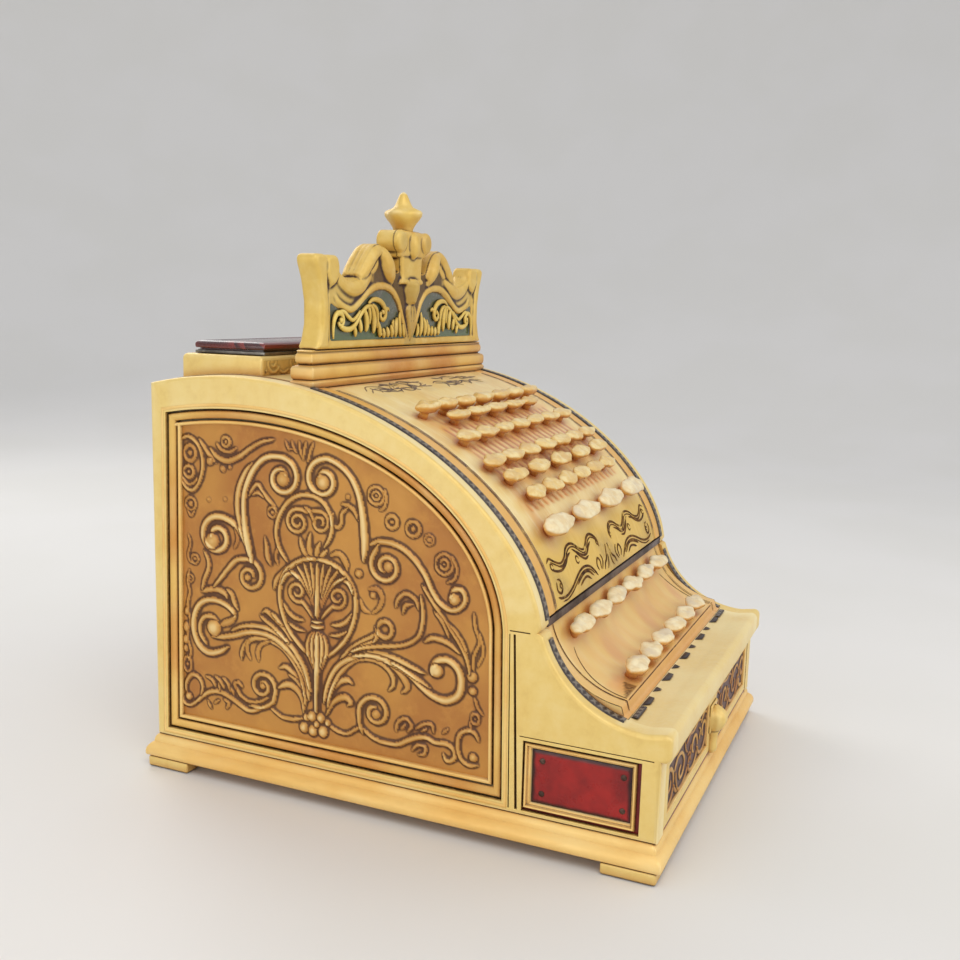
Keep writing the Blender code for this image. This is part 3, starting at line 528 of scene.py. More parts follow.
def painted_sheet():
    """Cream enamelled sheet with warm blushes, painted scrolls, rubbed grey lines, and painted shade,
    orange and brown, under the keys and in corners.
    """
    t = Tree("painted_cream")
    colour = t.mix(t.ramp(t.noise(14.0, 3.0), 0.35, 0.65), rgb("F0D894"), rgb("E6C277"))
    streak = t.noise(60.0, 4.0, 0.6, (3.0, 0.6, 0.6))
    colour = t.wash(colour, "F8ECC4", streak, 0.40, 0.72, 0.0, 0.45)
    colour = t.mix(t.attribute("gold"), colour, t.mix(streak, rgb("E5C25C"), rgb("D9AE4A")))
    colour = t.mix(t.attribute("blush"), colour, rgb("E0954A"))
    colour = t.mix(t.attribute("rose"), colour, t.mix(streak, rgb("DE9F78"), rgb("C4835C")))
    grain = t.noise(300.0, 3.0)
    worn = t.ramp(grain, 0.30, 0.62, 0.55, 1.0)
    ink = t.mix(t.ramp(t.noise(40.0), 0.4, 0.6), rgb("472A12"), rgb("6B4A2A"))
    colour = t.mix(t.math("MULTIPLY", t.attribute("ink"), worn), colour, ink)
    colour = t.mix(t.math("MULTIPLY", t.attribute("blue"), worn), colour, rgb("837670"))
    # painted shade: orange where keys and edges hang over the sheet, dark brown in tight corners
    colour = t.wash(colour, "C26A22", t.occlusion(0.009), 0.85, 0.40, 0.0, 0.75)
    colour = t.wash(colour, "5A2B12", t.occlusion(0.0035), 0.50, 0.22, 0.0, 0.85)
    rough = t.ramp(streak, 0.3, 0.7, 0.36, 0.5)
    normal = t.bump(streak, 0.0004, 0.5)
    normal = t.bump(grain, 0.0001, 0.6, normal)
    return t.surface(colour, rough, 0.06, normal, coat=0.2, coat_roughness=0.3)


def ivory_keys(name, pale, warm, patch):
    """Worn ivory caps: cream tops, with painted shade that turns the sides honey and the underside brown,
    darkest under the rim.
    """
    t = Tree(name)
    mottle = t.noise(90.0, 4.0, 0.6)
    colour = t.mix(t.ramp(mottle, 0.35, 0.65), rgb(pale), rgb(warm))
    colour = t.wash(colour, patch, t.noise(38.0, 3.0), 0.48, 0.66, 0.0, 0.75)
    # painted shade from the tone layer: honey on the sides, brown under the rim and on the stem
    side = t.attribute("tone")
    colour = t.wash(colour, "DD9E42", side, 0.10, 0.50, 0.0, 0.88)
    colour = t.wash(colour, "A9571C", side, 0.50, 1.0, 0.0, 0.9)
    # more painted shade where the cap hangs over the sheet
    colour = t.wash(colour, "6B2F10", t.occlusion(0.006), 0.55, 0.20, 0.0, 0.8)
    grain = t.noise(300.0, 2.0)
    rough = t.ramp(grain, 0.3, 0.7, 0.30, 0.46)
    normal = t.bump(mottle, 0.0007, 0.7)
    normal = t.bump(grain, 0.0001, 0.5, normal)
    return t.surface(colour, rough, 0.0, normal, coat=0.3, coat_roughness=0.2)


def red_enamel():
    """Fired red enamel, brighter in the middle, dark and chipped towards its rim."""
    t = Tree("red_enamel")
    colour = t.mix(t.ramp(t.noise(28.0, 3.0, 0.6), 0.35, 0.68), rgb("7E1414"), rgb("A21C18"))
    cloud = t.noise(75.0, 5.0, 0.65)
    colour = t.wash(colour, "B42A20", cloud, 0.5, 0.8, 0.0, 0.5)
    colour = t.wash(colour, "1E0706", t.attribute("tone"), 0.15, 1.0, 0.0, 0.96)
    normal = t.bump(cloud, 0.0004, 0.5)
    return t.surface(colour, t.ramp(cloud, 0.3, 0.7, 0.24, 0.42), 0.0, normal, coat=0.25,
                     coat_roughness=0.2, specular=0.3)


def wood(name, pale, dark, stretch, coat=0.1, roughness=0.5, pore=0.5):
    """Wood grain that runs along the axis with the smallest stretch."""
    t = Tree(name)
    bend = t.noise(7.0, 2.0, 0.5, stretch, 0.6)
    ring = t.math("FRACT", t.math("MULTIPLY", bend, 14.0))
    colour = t.mix(t.ramp(ring, 0.15, 0.85), rgb(pale), rgb(dark))
    fibre = t.noise(120.0, 4.0, 0.6, stretch)
    colour = t.wash(colour, dark, fibre, 0.45, 0.75, 0.0, pore)
    # painted shade in corners and under overhangs
    colour = t.wash(colour, "120705", t.occlusion(0.006), 0.6, 0.25, 0.0, 0.7)
    # pale sharp edges: rubbed wear and painted highlight
    edge = t.ramp(t.pointiness(), 0.53, 0.62, 0.0, 0.5)
    colour = t.mix(edge, colour, rgb(pale))
    normal = t.bump(fibre, 0.0003, 0.5)
    return t.surface(colour, t.ramp(fibre, 0.3, 0.7, roughness - 0.08, roughness + 0.1), 0.0, normal,
                     coat=coat, coat_roughness=0.18)


def metal(name, pale, dark, roughness, stretch=(1.0, 1.0, 1.0), metallic=0.9):
    """Bare metal with brushing, oxide in patches and painted shade in corners."""
    t = Tree(name)
    patch = t.noise(22.0, 4.0, 0.6)
    colour = t.mix(t.ramp(patch, 0.40, 0.68), rgb(pale), rgb(dark))
    brush = t.noise(180.0, 3.0, 0.5, stretch)
    colour = t.wash(colour, dark, brush, 0.4, 0.7, 0.0, 0.25)
    # painted shade in corners
    colour = t.wash(colour, "1A130D", t.occlusion(0.006), 0.6, 0.2, 0.0, 0.6)
    normal = t.bump(brush, 0.0002, 0.4)
    return t.surface(colour, t.ramp(patch, 0.3, 0.7, roughness - 0.06, roughness + 0.14), metallic, normal)


def glass():
    """Old grey-green pane, clouded with dust, greener towards its foot, with painted shade near its edges.
    """
    t = Tree("old_green_glass")
    dust = t.noise(45.0, 4.0, 0.6)
    colour = t.mix(t.ramp(dust, 0.35, 0.7), rgb("4A5138"), rgb("5E5E52"))
    height = t.node("ShaderNodeSeparateXYZ", {"Vector": t.coordinates}).outputs[2]
    colour = t.wash(colour, "50663A", height, 0.446, 0.429, 0.0, 0.75)
    # painted shade near the edges of the pane
    colour = t.wash(colour, "241A0E", t.occlusion(0.006), 0.6, 0.2, 0.0, 0.6)
    normal = t.bump(dust, 0.0003, 0.4)
    return t.surface(colour, t.ramp(dust, 0.3, 0.7, 0.14, 0.3), 0.0, normal, coat=0.4, coat_roughness=0.08)


def rope_metal():
    """Dark gunmetal cord moulding: strand crowns paler silver from rubbed wear and painted highlight,
    painted shade between the strands.
    """
    t = Tree("rope_gunmetal")
    patch = t.noise(60.0, 4.0, 0.6)
    colour = t.mix(t.ramp(patch, 0.35, 0.7), rgb("3A3130"), rgb("5A524E"))
    # paler silver on the strand crowns: rubbed wear and painted highlight
    colour = t.wash(colour, "9B9284", t.attribute("tone"), 0.45, 0.95, 0.0, 0.75)
    # painted shade between the strands
    colour = t.wash(colour, "1D1412", t.occlusion(0.004), 0.7, 0.3, 0.0, 0.7)
    normal = t.bump(patch, 0.0004, 0.5)
    return t.surface(colour, t.ramp(patch, 0.3, 0.7, 0.36, 0.55), 0.45, normal)


def drawer_paint():
    """Plum enamel field with gilded swirls, dark in their hollows and round their edges with patina and
    painted shade.
    """
    t = Tree("drawer_plum_gilt")
    mottle = t.noise(50.0, 4.0, 0.6)
    colour = t.mix(t.ramp(mottle, 0.35, 0.68), rgb("54302F"), rgb("64403A"))
    ridge = t.ramp(t.attribute("ridge"), 0.18, 0.75)
    tip = t.mix(t.ramp(t.noise(30.0, 3.0), 0.35, 0.7), rgb("D2A352"), rgb("A97034"))
    colour = t.mix(ridge, colour, tip)
    # patina and painted shade in the hollows and round the swirls
    colour = t.wash(colour, "2A120D", t.attribute("ink"), 0.2, 0.85, 0.0, 0.9)
    normal = t.bump(mottle, 0.0005, 0.5)
    return t.surface(colour, t.ramp(mottle, 0.3, 0.7, 0.40, 0.55), 0.2, normal, coat=0.05,
                     coat_roughness=0.4)


def floor_material():
    """Pale studio floor with a faint cloud in it."""
    t = Tree("studio_floor")
    cloud = t.noise(2.5, 2.0)
    colour = t.mix(t.ramp(cloud, 0.35, 0.65), rgb("E0DED9"), rgb("E2E0DC"))
    return t.surface(colour, t.ramp(cloud, 0.3, 0.7, 0.6, 0.7), 0.0)


BODY = gilt("gilt_body", "ECCF7E", "E9C873", "3A1C0A", recess="C07F34")
SHELF = gilt("gilt_shelf", "F0DB9E", "EBCF8A", "3A1C0A", recess="C98A44", mottle=0.06)
MOULD = gilt("gilt_moulding", "F6D080", "EEBC64", "35180B", recess="A65C1E", streak=(0.25, 0.25, 1.0))
BAND = gilt("gilt_band", "E9BE64", "D08E3C", "301408", recess="9A4F16", streak=(0.3, 0.3, 0.3))
CROWN = gilt("gilt_crown", "DFBD60", "D3A74A", "33160A", recess="B87E2E", reach=0.005)
TRACERY = gilt("gilt_tracery", "E8CB66", "D2AC48", "2A1E0C", recess="7A5216", reach=0.004)
BRONZE = bronze_relief()
CREAM = painted_sheet()
IVORY = ivory_keys("key_ivory_worn", "F4E4B8", "E8CE98", "D6C4A4")
HONEY = ivory_keys("key_ivory_honey", "EFD898", "E2BE70", "D9AE60")
ENAMEL = red_enamel()
LID = wood("lid_mahogany", "7A2A22", "3A100E", (0.12, 1.0, 1.0), coat=0.6, roughness=0.28, pore=0.6)
DRAWER_WOOD = wood("drawer_oak", "B98A52", "7A4E28", (1.0, 0.10, 1.0))
STEEL = metal("machine_steel", "9A9893", "56504A", 0.36, (0.1, 1.0, 1.0))
DARK_STEEL = metal("dark_rail", "6A5C58", "40322E", 0.42, (0.1, 1.0, 1.0), 0.6)
BRASS = metal("bell_brass_worn", "D9B15A", "8E6A2C", 0.24)
SCREW = metal("screw_iron", "5E4A40", "2A1A16", 0.38, (1.0, 1.0, 1.0), 0.8)
GLASS = glass()
ROPE = rope_metal()
PLUM = drawer_paint()
FLAG = metal("flag_enamel", "E8E2D2", "CFC6B0", 0.42, (1.0, 1.0, 1.0), 0.0)
FLOOR = floor_material()


# ---------------------------------------------------------------- relief work
def spiral(centre, start, end, angle, turns, width, last=None, count=None):
    """Points (a, b, half width) of a scroll that winds from radius start to radius end."""
    count = count or max(8, int(abs(turns) * 16))
    out = []
    for i in range(count + 1):
        f = i / count
        r = start + (end - start) * f ** 0.8
        turn = math.radians(angle) + 2.0 * math.pi * turns * f
        w = width + ((last or width) - width) * f
        out.append((centre[0] + r * math.cos(turn), centre[1] + r * math.sin(turn), w))
    return out


class Relief:
    """A height field in millimetres that strokes, rings and beads are laid on."""

    def __init__(self, a0, a1, b0, b1, step):
        self.step = step
        self.a = np.arange(a0, a1 + step * 0.5, step)
        self.b = np.arange(b0, b1 + step * 0.5, step)
        self.A, self.B = np.meshgrid(self.a, self.b)
        self.height = np.zeros_like(self.A)
        self.distance = np.full_like(self.A, 9.0)

    def stroke(self, points, rise=2.6, half=None):
        """A rounded ridge along a smooth curve; points are (a, b) or (a, b, half width)."""
        pts = [p if len(p) == 3 else (p[0], p[1], half) for p in points]
        path = smooth_path(pts, 1.6)
        path[:, 2] *= 0.92
        ends = np.minimum(np.arange(len(path)), np.arange(len(path))[::-1]) * 1.6
        path[:, 2] *= np.clip(0.45 + ends / (path[:, 2] * 2.4 + 0.1) * 0.55, 0.45, 1.0)
        margin = path[:, 2].max() + 3.5
        i0, i1 = np.searchsorted(self.a, [path[:, 0].min() - margin, path[:, 0].max() + margin])
        j0, j1 = np.searchsorted(self.b, [path[:, 1].min() - margin, path[:, 1].max() + margin])
        if i1 <= i0 or j1 <= j0:
            return
        A, B = self.A[j0:j1, i0:i1], self.B[j0:j1, i0:i1]
        best = np.full(A.shape, 99.0)
        width = np.full(A.shape, 1.0)
        for k in range(len(path) - 1):
            p, q = path[k], path[k + 1]
            d = q[:2] - p[:2]
            t = np.clip(((A - p[0]) * d[0] + (B - p[1]) * d[1]) / (d @ d + 1e-9), 0.0, 1.0)
            r = np.hypot(A - p[0] - t * d[0], B - p[1] - t * d[1])
            w = p[2] + (q[2] - p[2]) * t
            nearer = r - w < best
            best = np.where(nearer, r - w, best)
            width = np.where(nearer, w, width)
        self.lay(slice(j0, j1), slice(i0, i1), best, width, rise)

    def lay(self, rows, cols, signed, width, rise):
        """Raise the surface inside a signed distance; a shallow moat keeps the edge crisp."""
        inside = np.clip(-signed / width, 0.0, 1.0)
        dome = rise * (1.0 - (1.0 - inside) ** 2) ** 0.5
        here = self.height[rows, cols]
        moat = np.exp(-((signed - 0.5) / 0.9) ** 2)
        here = np.where(signed > -0.2, here * (1.0 - 0.75 * moat), here)
        self.height[rows, cols] = np.where(signed < 0.0, np.maximum(here * 0.55, 0.0) + dome * 0.92, here)
        self.distance[rows, cols] = np.where(signed < 0.0, -inside * width,
                                             np.minimum(self.distance[rows, cols], signed))

    def bead(self, a, b, radius, rise=2.4, stretch=1.0):
        """A round or oval boss."""
        margin = radius * max(stretch, 1.0) + 3.0
        i0, i1 = np.searchsorted(self.a, [a - margin, a + margin])
        j0, j1 = np.searchsorted(self.b, [b - margin, b + margin])
        A, B = self.A[j0:j1, i0:i1], self.B[j0:j1, i0:i1]
        r = np.hypot(A - a, (B - b) / stretch)
        self.lay(slice(j0, j1), slice(i0, i1), r - radius, np.full(A.shape, radius), rise)

    def ring(self, a, b, radius, half=1.4, rise=1.8, stretch=1.0, bead=0.0):
        """A round or oval ridge, with a boss in its middle if asked."""
        turns = np.linspace(0.0, 2.0 * math.pi, 19)
        self.stroke([(a + radius * math.cos(t), b + radius * stretch * math.sin(t)) for t in turns], rise,
                    half)
        if bead:
            self.bead(a, b, bead, rise)

    def blur(self, field, radius):
        """A field softened over a radius in millimetres."""
        count = max(1, int(round(radius / self.step)))
        kernel = np.exp(-0.5 * (np.arange(-2 * count, 2 * count + 1) / count) ** 2)
        kernel /= kernel.sum()
        pad = 2 * count
        out = np.pad(field, pad, mode="edge")
        out = np.apply_along_axis(lambda v: np.convolve(v, kernel, mode="valid"), 0, out)
        return np.apply_along_axis(lambda v: np.convolve(v, kernel, mode="valid"), 1, out)

    def attributes(self, peak):
        """Ridge and ink layers from the finished height field."""
        # ink: dark in the hollows and in a line round every ridge, patina and painted shade; ridge: the
        # raised parts
        hollow = np.clip((self.blur(self.height, 2.0) - self.height) / 0.55, 0.0, 1.0)
        line = np.exp(-((self.distance - 0.8) / 0.9) ** 2)
        ink = np.clip(hollow * 0.85 + line * 0.40, 0.0, 1.0) * np.clip(1.25 - self.height / peak, 0.0, 1.0)
        ridge = np.clip(self.height / peak, 0.0, 1.0)
        return ridge, ink

    def mesh(self, place, keep, base=0.0, scale=1.0, peak=3.0):
        """Vertices, faces and layers of the part of the field where keep is true."""
        ridge, ink = self.attributes(peak)
        cols = self.A.shape[1]
        use = keep(self.A, self.B)
        whole = use[:-1, :-1] & use[1:, :-1] & use[:-1, 1:] & use[1:, 1:]
        j, i = np.nonzero(whole)
        quads = np.stack([j * cols + i, j * cols + i + 1, (j + 1) * cols + i + 1, (j + 1) * cols + i], 1)
        used, index = np.unique(quads, return_inverse=True)
        quads = index.reshape(quads.shape)
        lift = base + self.height * 0.001 * scale
        points = place(self.A.ravel()[used] * 0.001, self.B.ravel()[used] * 0.001, lift.ravel()[used])
        return points, quads, {"ridge": ridge.ravel()[used], "ink": ink.ravel()[used]}


def mirrored_strokes(centre, strokes):
    """Each stroke and its reflection in the line a = centre."""
    for points in strokes:
        yield points
        yield [(2 * centre - p[0], *p[1:]) for p in points]


def side_ornament():
    """Scrolling acanthus round a palmette vase, on a field 350 mm high; (y, z) in mm."""
    f = Relief(-116.0, 242.0, 38.0, 372.0, 1.25)
    # the plain swell of the ground
    f.height += 0.25 * np.sin(f.A * 0.05 + 1.0) * np.cos(f.B * 0.043)
    axis = 75.5

    # small work in the corners first, so that the large scrolls lie over it
    for a, b, r, h, bead in ((-1, 275, 5.5, 2.0, 1.6), (-22, 271, 6.5, 1.8, 2.2), (-38, 263, 4.2, 1.2, 2.4),
                             (218, 270, 6.0, 1.3, 2.8), (214, 216, 4.2, 1.2, 1.6),
                             (220, 196, 3.6, 1.1, 1.2)):
        f.ring(a, b, r, h, 1.7, 1.0, bead)
    for a, b, r, k in ((15, 297, 7.8, 1.0), (-53, 243, 8.2, 1.1)):
        f.ring(a, b, r, 1.6, 1.7, k)
        f.ring(a, b, r * 0.48, 1.3, 1.9, k, 1.2)
    f.stroke([(6, 303), (5, 294), (7, 287), (11, 284)], 1.5, 1.5)
    f.stroke([(-60, 251), (-65, 241), (-63, 231), (-56, 227)], 1.7, 1.5)
    f.stroke([(228, 332, 1.2), (229, 312, 2), (228, 294, 2), (222, 285, 2), (214, 284, 2), (207, 293, 2),
              (203, 306, 2), (204, 319, 2), (209, 329, 2), (219, 335, 2), (228, 332, 1.2)], 2.4)
    f.ring(219.5, 301, 5.6, 1.8, 2.0, 1.0, 1.8)
    f.stroke([(227, 296), (221, 289), (213, 291), (210, 296)], 1.8, 1.4)
    f.ring(218, 319, 6.5, 2.0, 1.5, 1.15, 2.4)
    f.stroke([(222, 264), (218, 258), (214, 263)], 1.6, 1.3)
    f.stroke([(222, 240), (219, 231), (222, 220), (220, 213), (212, 211)], 1.5, 1.3)
    f.stroke([(221, 204), (223, 192), (221, 182), (224, 168), (221, 152), (225, 137),
              (221, 122), (224, 112)],
             1.6, 1.6)
    for a, b, r in ((226, 146, 3.4), (227, 133, 3.2), (227, 124, 2.4), (225, 162, 2.6)):
        f.bead(a, b, r, 2.0, 1.5)
    f.ring(225, 108, 4.5, 1.4, 1.8, 1.7, 1.6)
    f.stroke([(207, 334, 1.2), (200, 325, 2.2), (193, 317, 2.6), (188, 312, 1.2)], 2.2)
    for a, b, r in ((195, 313, 3.8), (180, 307, 3.0), (197, 276, 1.9), (178, 278, 1.7), (172, 309, 2.0)):
        f.bead(a, b, r, 1.8)
    f.stroke([(194, 326, 1.2), (186, 318, 2.6), (174, 315, 3.0), (161, 320, 2.8), (148, 329, 2.4),
              (135, 336, 2.0), (122, 339, 1.2)], 2.4)
    f.stroke([(187, 331), (181, 325), (171, 324), (164, 328)], 1.8, 1.7)
    f.ring(176, 333, 4.4, 1.7, 2.0, 1.0, 1.6)
    for a0, a1, b1 in ((88, 91, 323), (95, 93, 326), (103, 98, 329), (80, 86, 321), (110, 103, 332)):
        f.stroke([(a0, 339), ((a0 + a1) / 2, 332), (a1, b1)], 1.6, 1.5)
    for a, b, r in ((-82, 146, 5.0), (-83, 133, 3.8)):
        f.bead(a, b, r, 2.6)
    f.stroke([(-85, 127), (-88, 119), (-93, 113)], 1.6, 1.5)
    f.ring(-86, 108, 3.8, 1.3, 1.8, 1.3, 1.2)
    f.stroke([(-82, 203), (-84, 190), (-88, 178), (-83, 164), (-83, 152)], 1.7, 1.5)
    f.stroke([(-88, 186), (-92, 170), (-87, 156)], 1.5, 1.3)
    f.stroke([(-81, 104), (-82, 98), (-79, 94)], 1.5, 1.4)

    # friezes along the foot
    f.stroke([(92, 76, 2), (103, 73, 2.2), (114, 73, 1.8), (122, 77, 1.6), (127, 80, 1.2)], 2.2)
    f.stroke([(134, 80, 1.6), (144, 75, 2.4), (153, 73, 2.6), (163, 77, 2.6), (173, 82, 2.6),
              (186, 86, 2.8),
              (198, 84, 2.6), (207, 78, 2.2), (216, 70, 1.8), (223, 66, 1.8), (230, 68, 1.8),
              (230, 74, 1.2)], 2.6)
    f.stroke([(226, 78, 1.4), (227, 88, 2), (220, 98, 2.4), (211, 96, 2.2), (207, 88, 2),
              (209, 79, 1.3)], 2.2)
    f.bead(224, 75, 4.0, 2.6)
    for pts in (((161, 84), (166, 91), (169, 97), (164, 99), (160, 95)), ((174, 88), (177, 96), (183, 101)),
                ((181, 90), (186, 97), (192, 101)), ((191, 90), (196, 97), (203, 99)),
                ((179, 70), (176, 76), (182, 79)),
                ((197, 67), (201, 74)), ((193, 73), (188, 77)), ((170, 86), (173, 92)),
                ((186, 88), (188, 94))):
        f.stroke(pts, 1.9, 1.8)
    f.stroke([(64, 76, 2), (54, 71, 2.2), (43, 70, 1.8), (34, 76, 1.8), (28, 79, 1.2)], 2.2)
    f.stroke([(27, 79, 1.6), (17, 72, 2), (4, 69, 2.2), (-10, 70, 2.4), (-19, 75, 2.6), (-29, 80, 2.8),
              (-39, 82, 2.6), (-48, 79, 2.4), (-58, 80, 2.6), (-66, 76, 2.4), (-67, 68, 2.2), (-60, 64, 2),
              (-56, 70, 1.4)], 2.6)
    for pts in (((-8, 82), (-10, 91), (-18, 96), (-24, 90), (-20, 84)), ((-13, 85), (-17, 90)),
                ((-28, 88), (-36, 94), (-44, 95), (-46, 88)), ((-34, 87), (-39, 90)),
                ((-25, 67), (-30, 73), (-38, 73), (-37, 66), (-31, 64)), ((-55, 89), (-60, 94))):
        f.stroke(pts, 1.9, 1.8)
    f.stroke([(-90, 88, 1.3), (-86, 95, 2), (-78, 96, 2.2), (-71, 90, 2.2), (-70, 78, 2.2), (-74, 68, 2.2),
              (-82, 64, 1.8), (-90, 66, 1.3)], 2.2)
    f.bead(-85, 72, 4.0, 2.6)

    # spirals above the friezes
    f.stroke([(166, 94, 1.2), (161, 86, 1.6), (152, 82, 1.8), (140, 84, 1.6), (130, 90, 1.2)], 1.8)
    f.stroke([(152, 78, 1.4), (136, 79, 2), (125, 86, 2.3)]
             + spiral((136.5, 100), 16, 4, 215, -1.45, 2.5, 1.8), 2.6)
    f.bead(136.5, 100, 3.2, 2.2)
    f.stroke([(26, 73, 1.6), (30, 84, 2.2)] + spiral((13.5, 96), 17, 5, 2, 1.25, 2.5, 2.4), 2.6)
    f.bead(13, 94, 4.4, 2.4)

    # low leaves by the stem
    f.stroke([(90, 82, 1.4), (91, 93, 2.2), (96, 102, 3.2), (105, 107, 3.8), (113, 105, 3.0),
              (119, 101, 1.2)], 2.6)
    f.stroke([(88, 98, 1.6), (93, 110, 2.4), (102, 119, 2.8), (110, 124, 2.6), (118, 121, 1.2)], 2.4)
    f.stroke([(91, 104, 1.3), (98, 112, 2.0), (107, 117, 1.3)], 2.2)
    f.stroke([(65, 84, 1.4), (60, 95, 2.4), (53, 102, 3.2), (45, 105, 3.6), (39, 101, 2.6),
              (43, 97, 1.2)], 2.6)
    f.stroke([(63, 98, 1.6), (58, 111, 2.6), (51, 119, 3.2), (43, 122, 3.0), (37, 119, 1.2)], 2.6)

    # the hooks and strands of the two side branches
    f.stroke([(88, 90, 2), (89, 104, 2.4), (94, 119, 2.6), (103, 132, 2.6), (114, 142, 2.6),
              (128, 147, 2.6), (143, 147, 2.6), (154, 141, 2.6), (160, 131, 2.0), (160, 123, 1.2)], 2.4)
    f.stroke([(128, 146, 1.4), (138, 141, 2.2), (142, 133, 2.4), (141, 124, 1.3)], 1.3)
    f.stroke([(152, 143, 1.4), (154, 133, 2.2), (150, 124, 1.3)], 1.2)
    f.stroke([(64, 92, 2), (61, 107, 2.4), (55, 121, 2.6), (46, 133, 2.6), (34, 143, 2.6), (19, 146, 2.6),
              (6, 143, 2.6), (-3, 135, 2.4), (-5, 126, 2), (0, 119, 1.2)], 2.4)
    f.stroke([(4, 146, 1.6), (-8, 140, 2.8), (-16, 132, 3.4), (-19, 125, 2.8), (-13, 119, 1.2)], 1.8)
    f.stroke([(84, 96, 2.2), (87, 114, 2.6), (96, 130, 2.8), (108, 142, 3.0), (122, 150, 3.2),
              (138, 153, 3.2), (154, 151, 3.2), (168, 146, 3.2), (184, 142, 2.6), (196, 141, 1.3)], 2.8)
    f.stroke([(82, 104, 1.8), (88, 124, 2.4), (99, 140, 2.6), (113, 152, 2.8), (128, 158, 2.8),
              (144, 159, 2.6), (160, 156, 2.0), (172, 150, 1.2)], 2.8)
    f.stroke([(68, 96, 2.2), (64, 114, 2.6), (56, 130, 2.8), (44, 141, 3.0), (28, 149, 3.2), (10, 152, 3.2),
              (-8, 150, 3.0), (-24, 145, 2.4), (-37, 141, 1.2)], 2.8)
    f.stroke([(38, 146, 1.4), (22, 149, 2.0), (6, 148, 2.6), (-8, 144, 2.8), (-22, 137, 2.8),
              (-34, 128, 3.0),
              (-45, 122, 3.6), (-58, 120, 4.0), (-69, 127, 4.0), (-72, 139, 4.0), (-69, 150, 3.8),
              (-60, 157, 3.6), (-50, 156, 3.6), (-44, 149, 3.4), (-44, 142, 2.6)], 3.0)
    f.bead(-47.5, 146, 6.4, 3.2)
    f.stroke([(-3, 147, 1.2), (-18, 141, 1.8), (-32, 134, 1.8), (-42, 129, 1.2)], 2.4)

    # double scroll low on the left
    f.stroke([(176, 133, 2.2), (186, 127, 3.2), (199, 124, 3.8), (210, 130, 3.8), (216, 143, 3.6),
              (216, 157, 3.4),
              (211, 169, 3.4), (202, 176, 3.2), (190, 178, 3.0), (178, 175, 2.8), (169, 169, 2.6),
              (167, 163, 1.4)], 3.0)
    f.stroke([(166, 166, 1.4), (172, 160, 3.2), (180, 156, 3.6), (186, 153, 1.6)], 1.8)
    f.stroke([(201, 132, 1.6), (208, 141, 2.2), (209, 151, 2.4), (204, 159, 2.4), (196, 161, 2.4),
              (188, 158, 2.2)],
             2.6)
    f.bead(192.5, 150, 8.2, 3.2)
    f.stroke([(207, 184, 2.0), (199, 187, 3.0), (189, 189, 3.2), (179, 186, 3.0), (176, 181, 1.6)], 2.4)
    f.stroke([(177, 191, 1.6), (171, 186, 2.6), (168, 178, 2.8), (164, 172, 1.4)], 2.2)

    # leaves that rise from the branches
    for pts in (((103, 150, 1.4), (111, 160, 2.0), (121, 168, 2.2), (131, 175, 2.4), (136, 173, 1.4)),
                ((106, 148, 1.2), (119, 158, 1.8), (131, 165, 2.0), (139, 170, 1.3)),
                ((113, 164, 1.2), (121, 171, 1.8), (126, 175, 1.2)),
                ((50, 142, 1.4), (39, 153, 2.2), (28, 161, 2.4), (18, 167, 2.2), (12, 172, 1.4)),
                ((42, 146, 1.2), (31, 155, 1.8), (20, 161, 1.8), (13, 164, 1.2)),
                ((15, 177, 1.2), (12, 170, 2.2), (16, 162, 1.4))):
        f.stroke(pts, 2.5)
    f.ring(4.5, 176, 7.2, 2.4, 2.4, 1.05)
    f.stroke([(40, 150, 1.4), (24, 156, 2.0), (6, 160, 2.2), (-10, 163, 2.2), (-22, 168, 2.2),
              (-30, 176, 2.2), (-33, 188, 2.2), (-33, 200, 2.0), (-31, 212, 1.3)], 2.4)
    f.stroke([(-35, 170, 1.4), (-42, 175, 2.6), (-50, 175, 2.8), (-60, 172, 2.4), (-70, 165, 1.3)], 2.3)
    f.stroke([(-32, 222, 1.6), (-42, 209, 2.2), (-52, 196, 2.2), (-62, 184, 2.2), (-71, 172, 2.2),
              (-77, 160, 2.0), (-80, 148, 1.3)], 2.3)
    f.stroke([(-44, 200, 1.2), (-53, 190, 1.8), (-59, 178, 1.2)], 2.0)
    f.stroke([(-60, 190, 1.2), (-70, 179, 1.6), (-77, 167, 1.2)], 1.8)
    f.stroke([(-6, 198, 1.4), (-9, 207, 2.0), (-17, 212, 2.2), (-26, 207, 2.0), (-29, 199, 1.3)], 2.1)
    f.stroke([(-13, 193, 1.6), (-16, 201, 2.2), (-23, 203, 1.3)], 2.2)
    f.stroke([(22, 211, 1.4), (13, 212, 2.4), (8, 205, 2.4), (11, 195, 2.0), (18, 189, 1.3)], 1.3)
    f.stroke([(30, 200, 1.4), (27, 192, 2.4), (20, 189, 1.4)], 1.2)
    f.bead(17, 206, 3.0, 2.0)

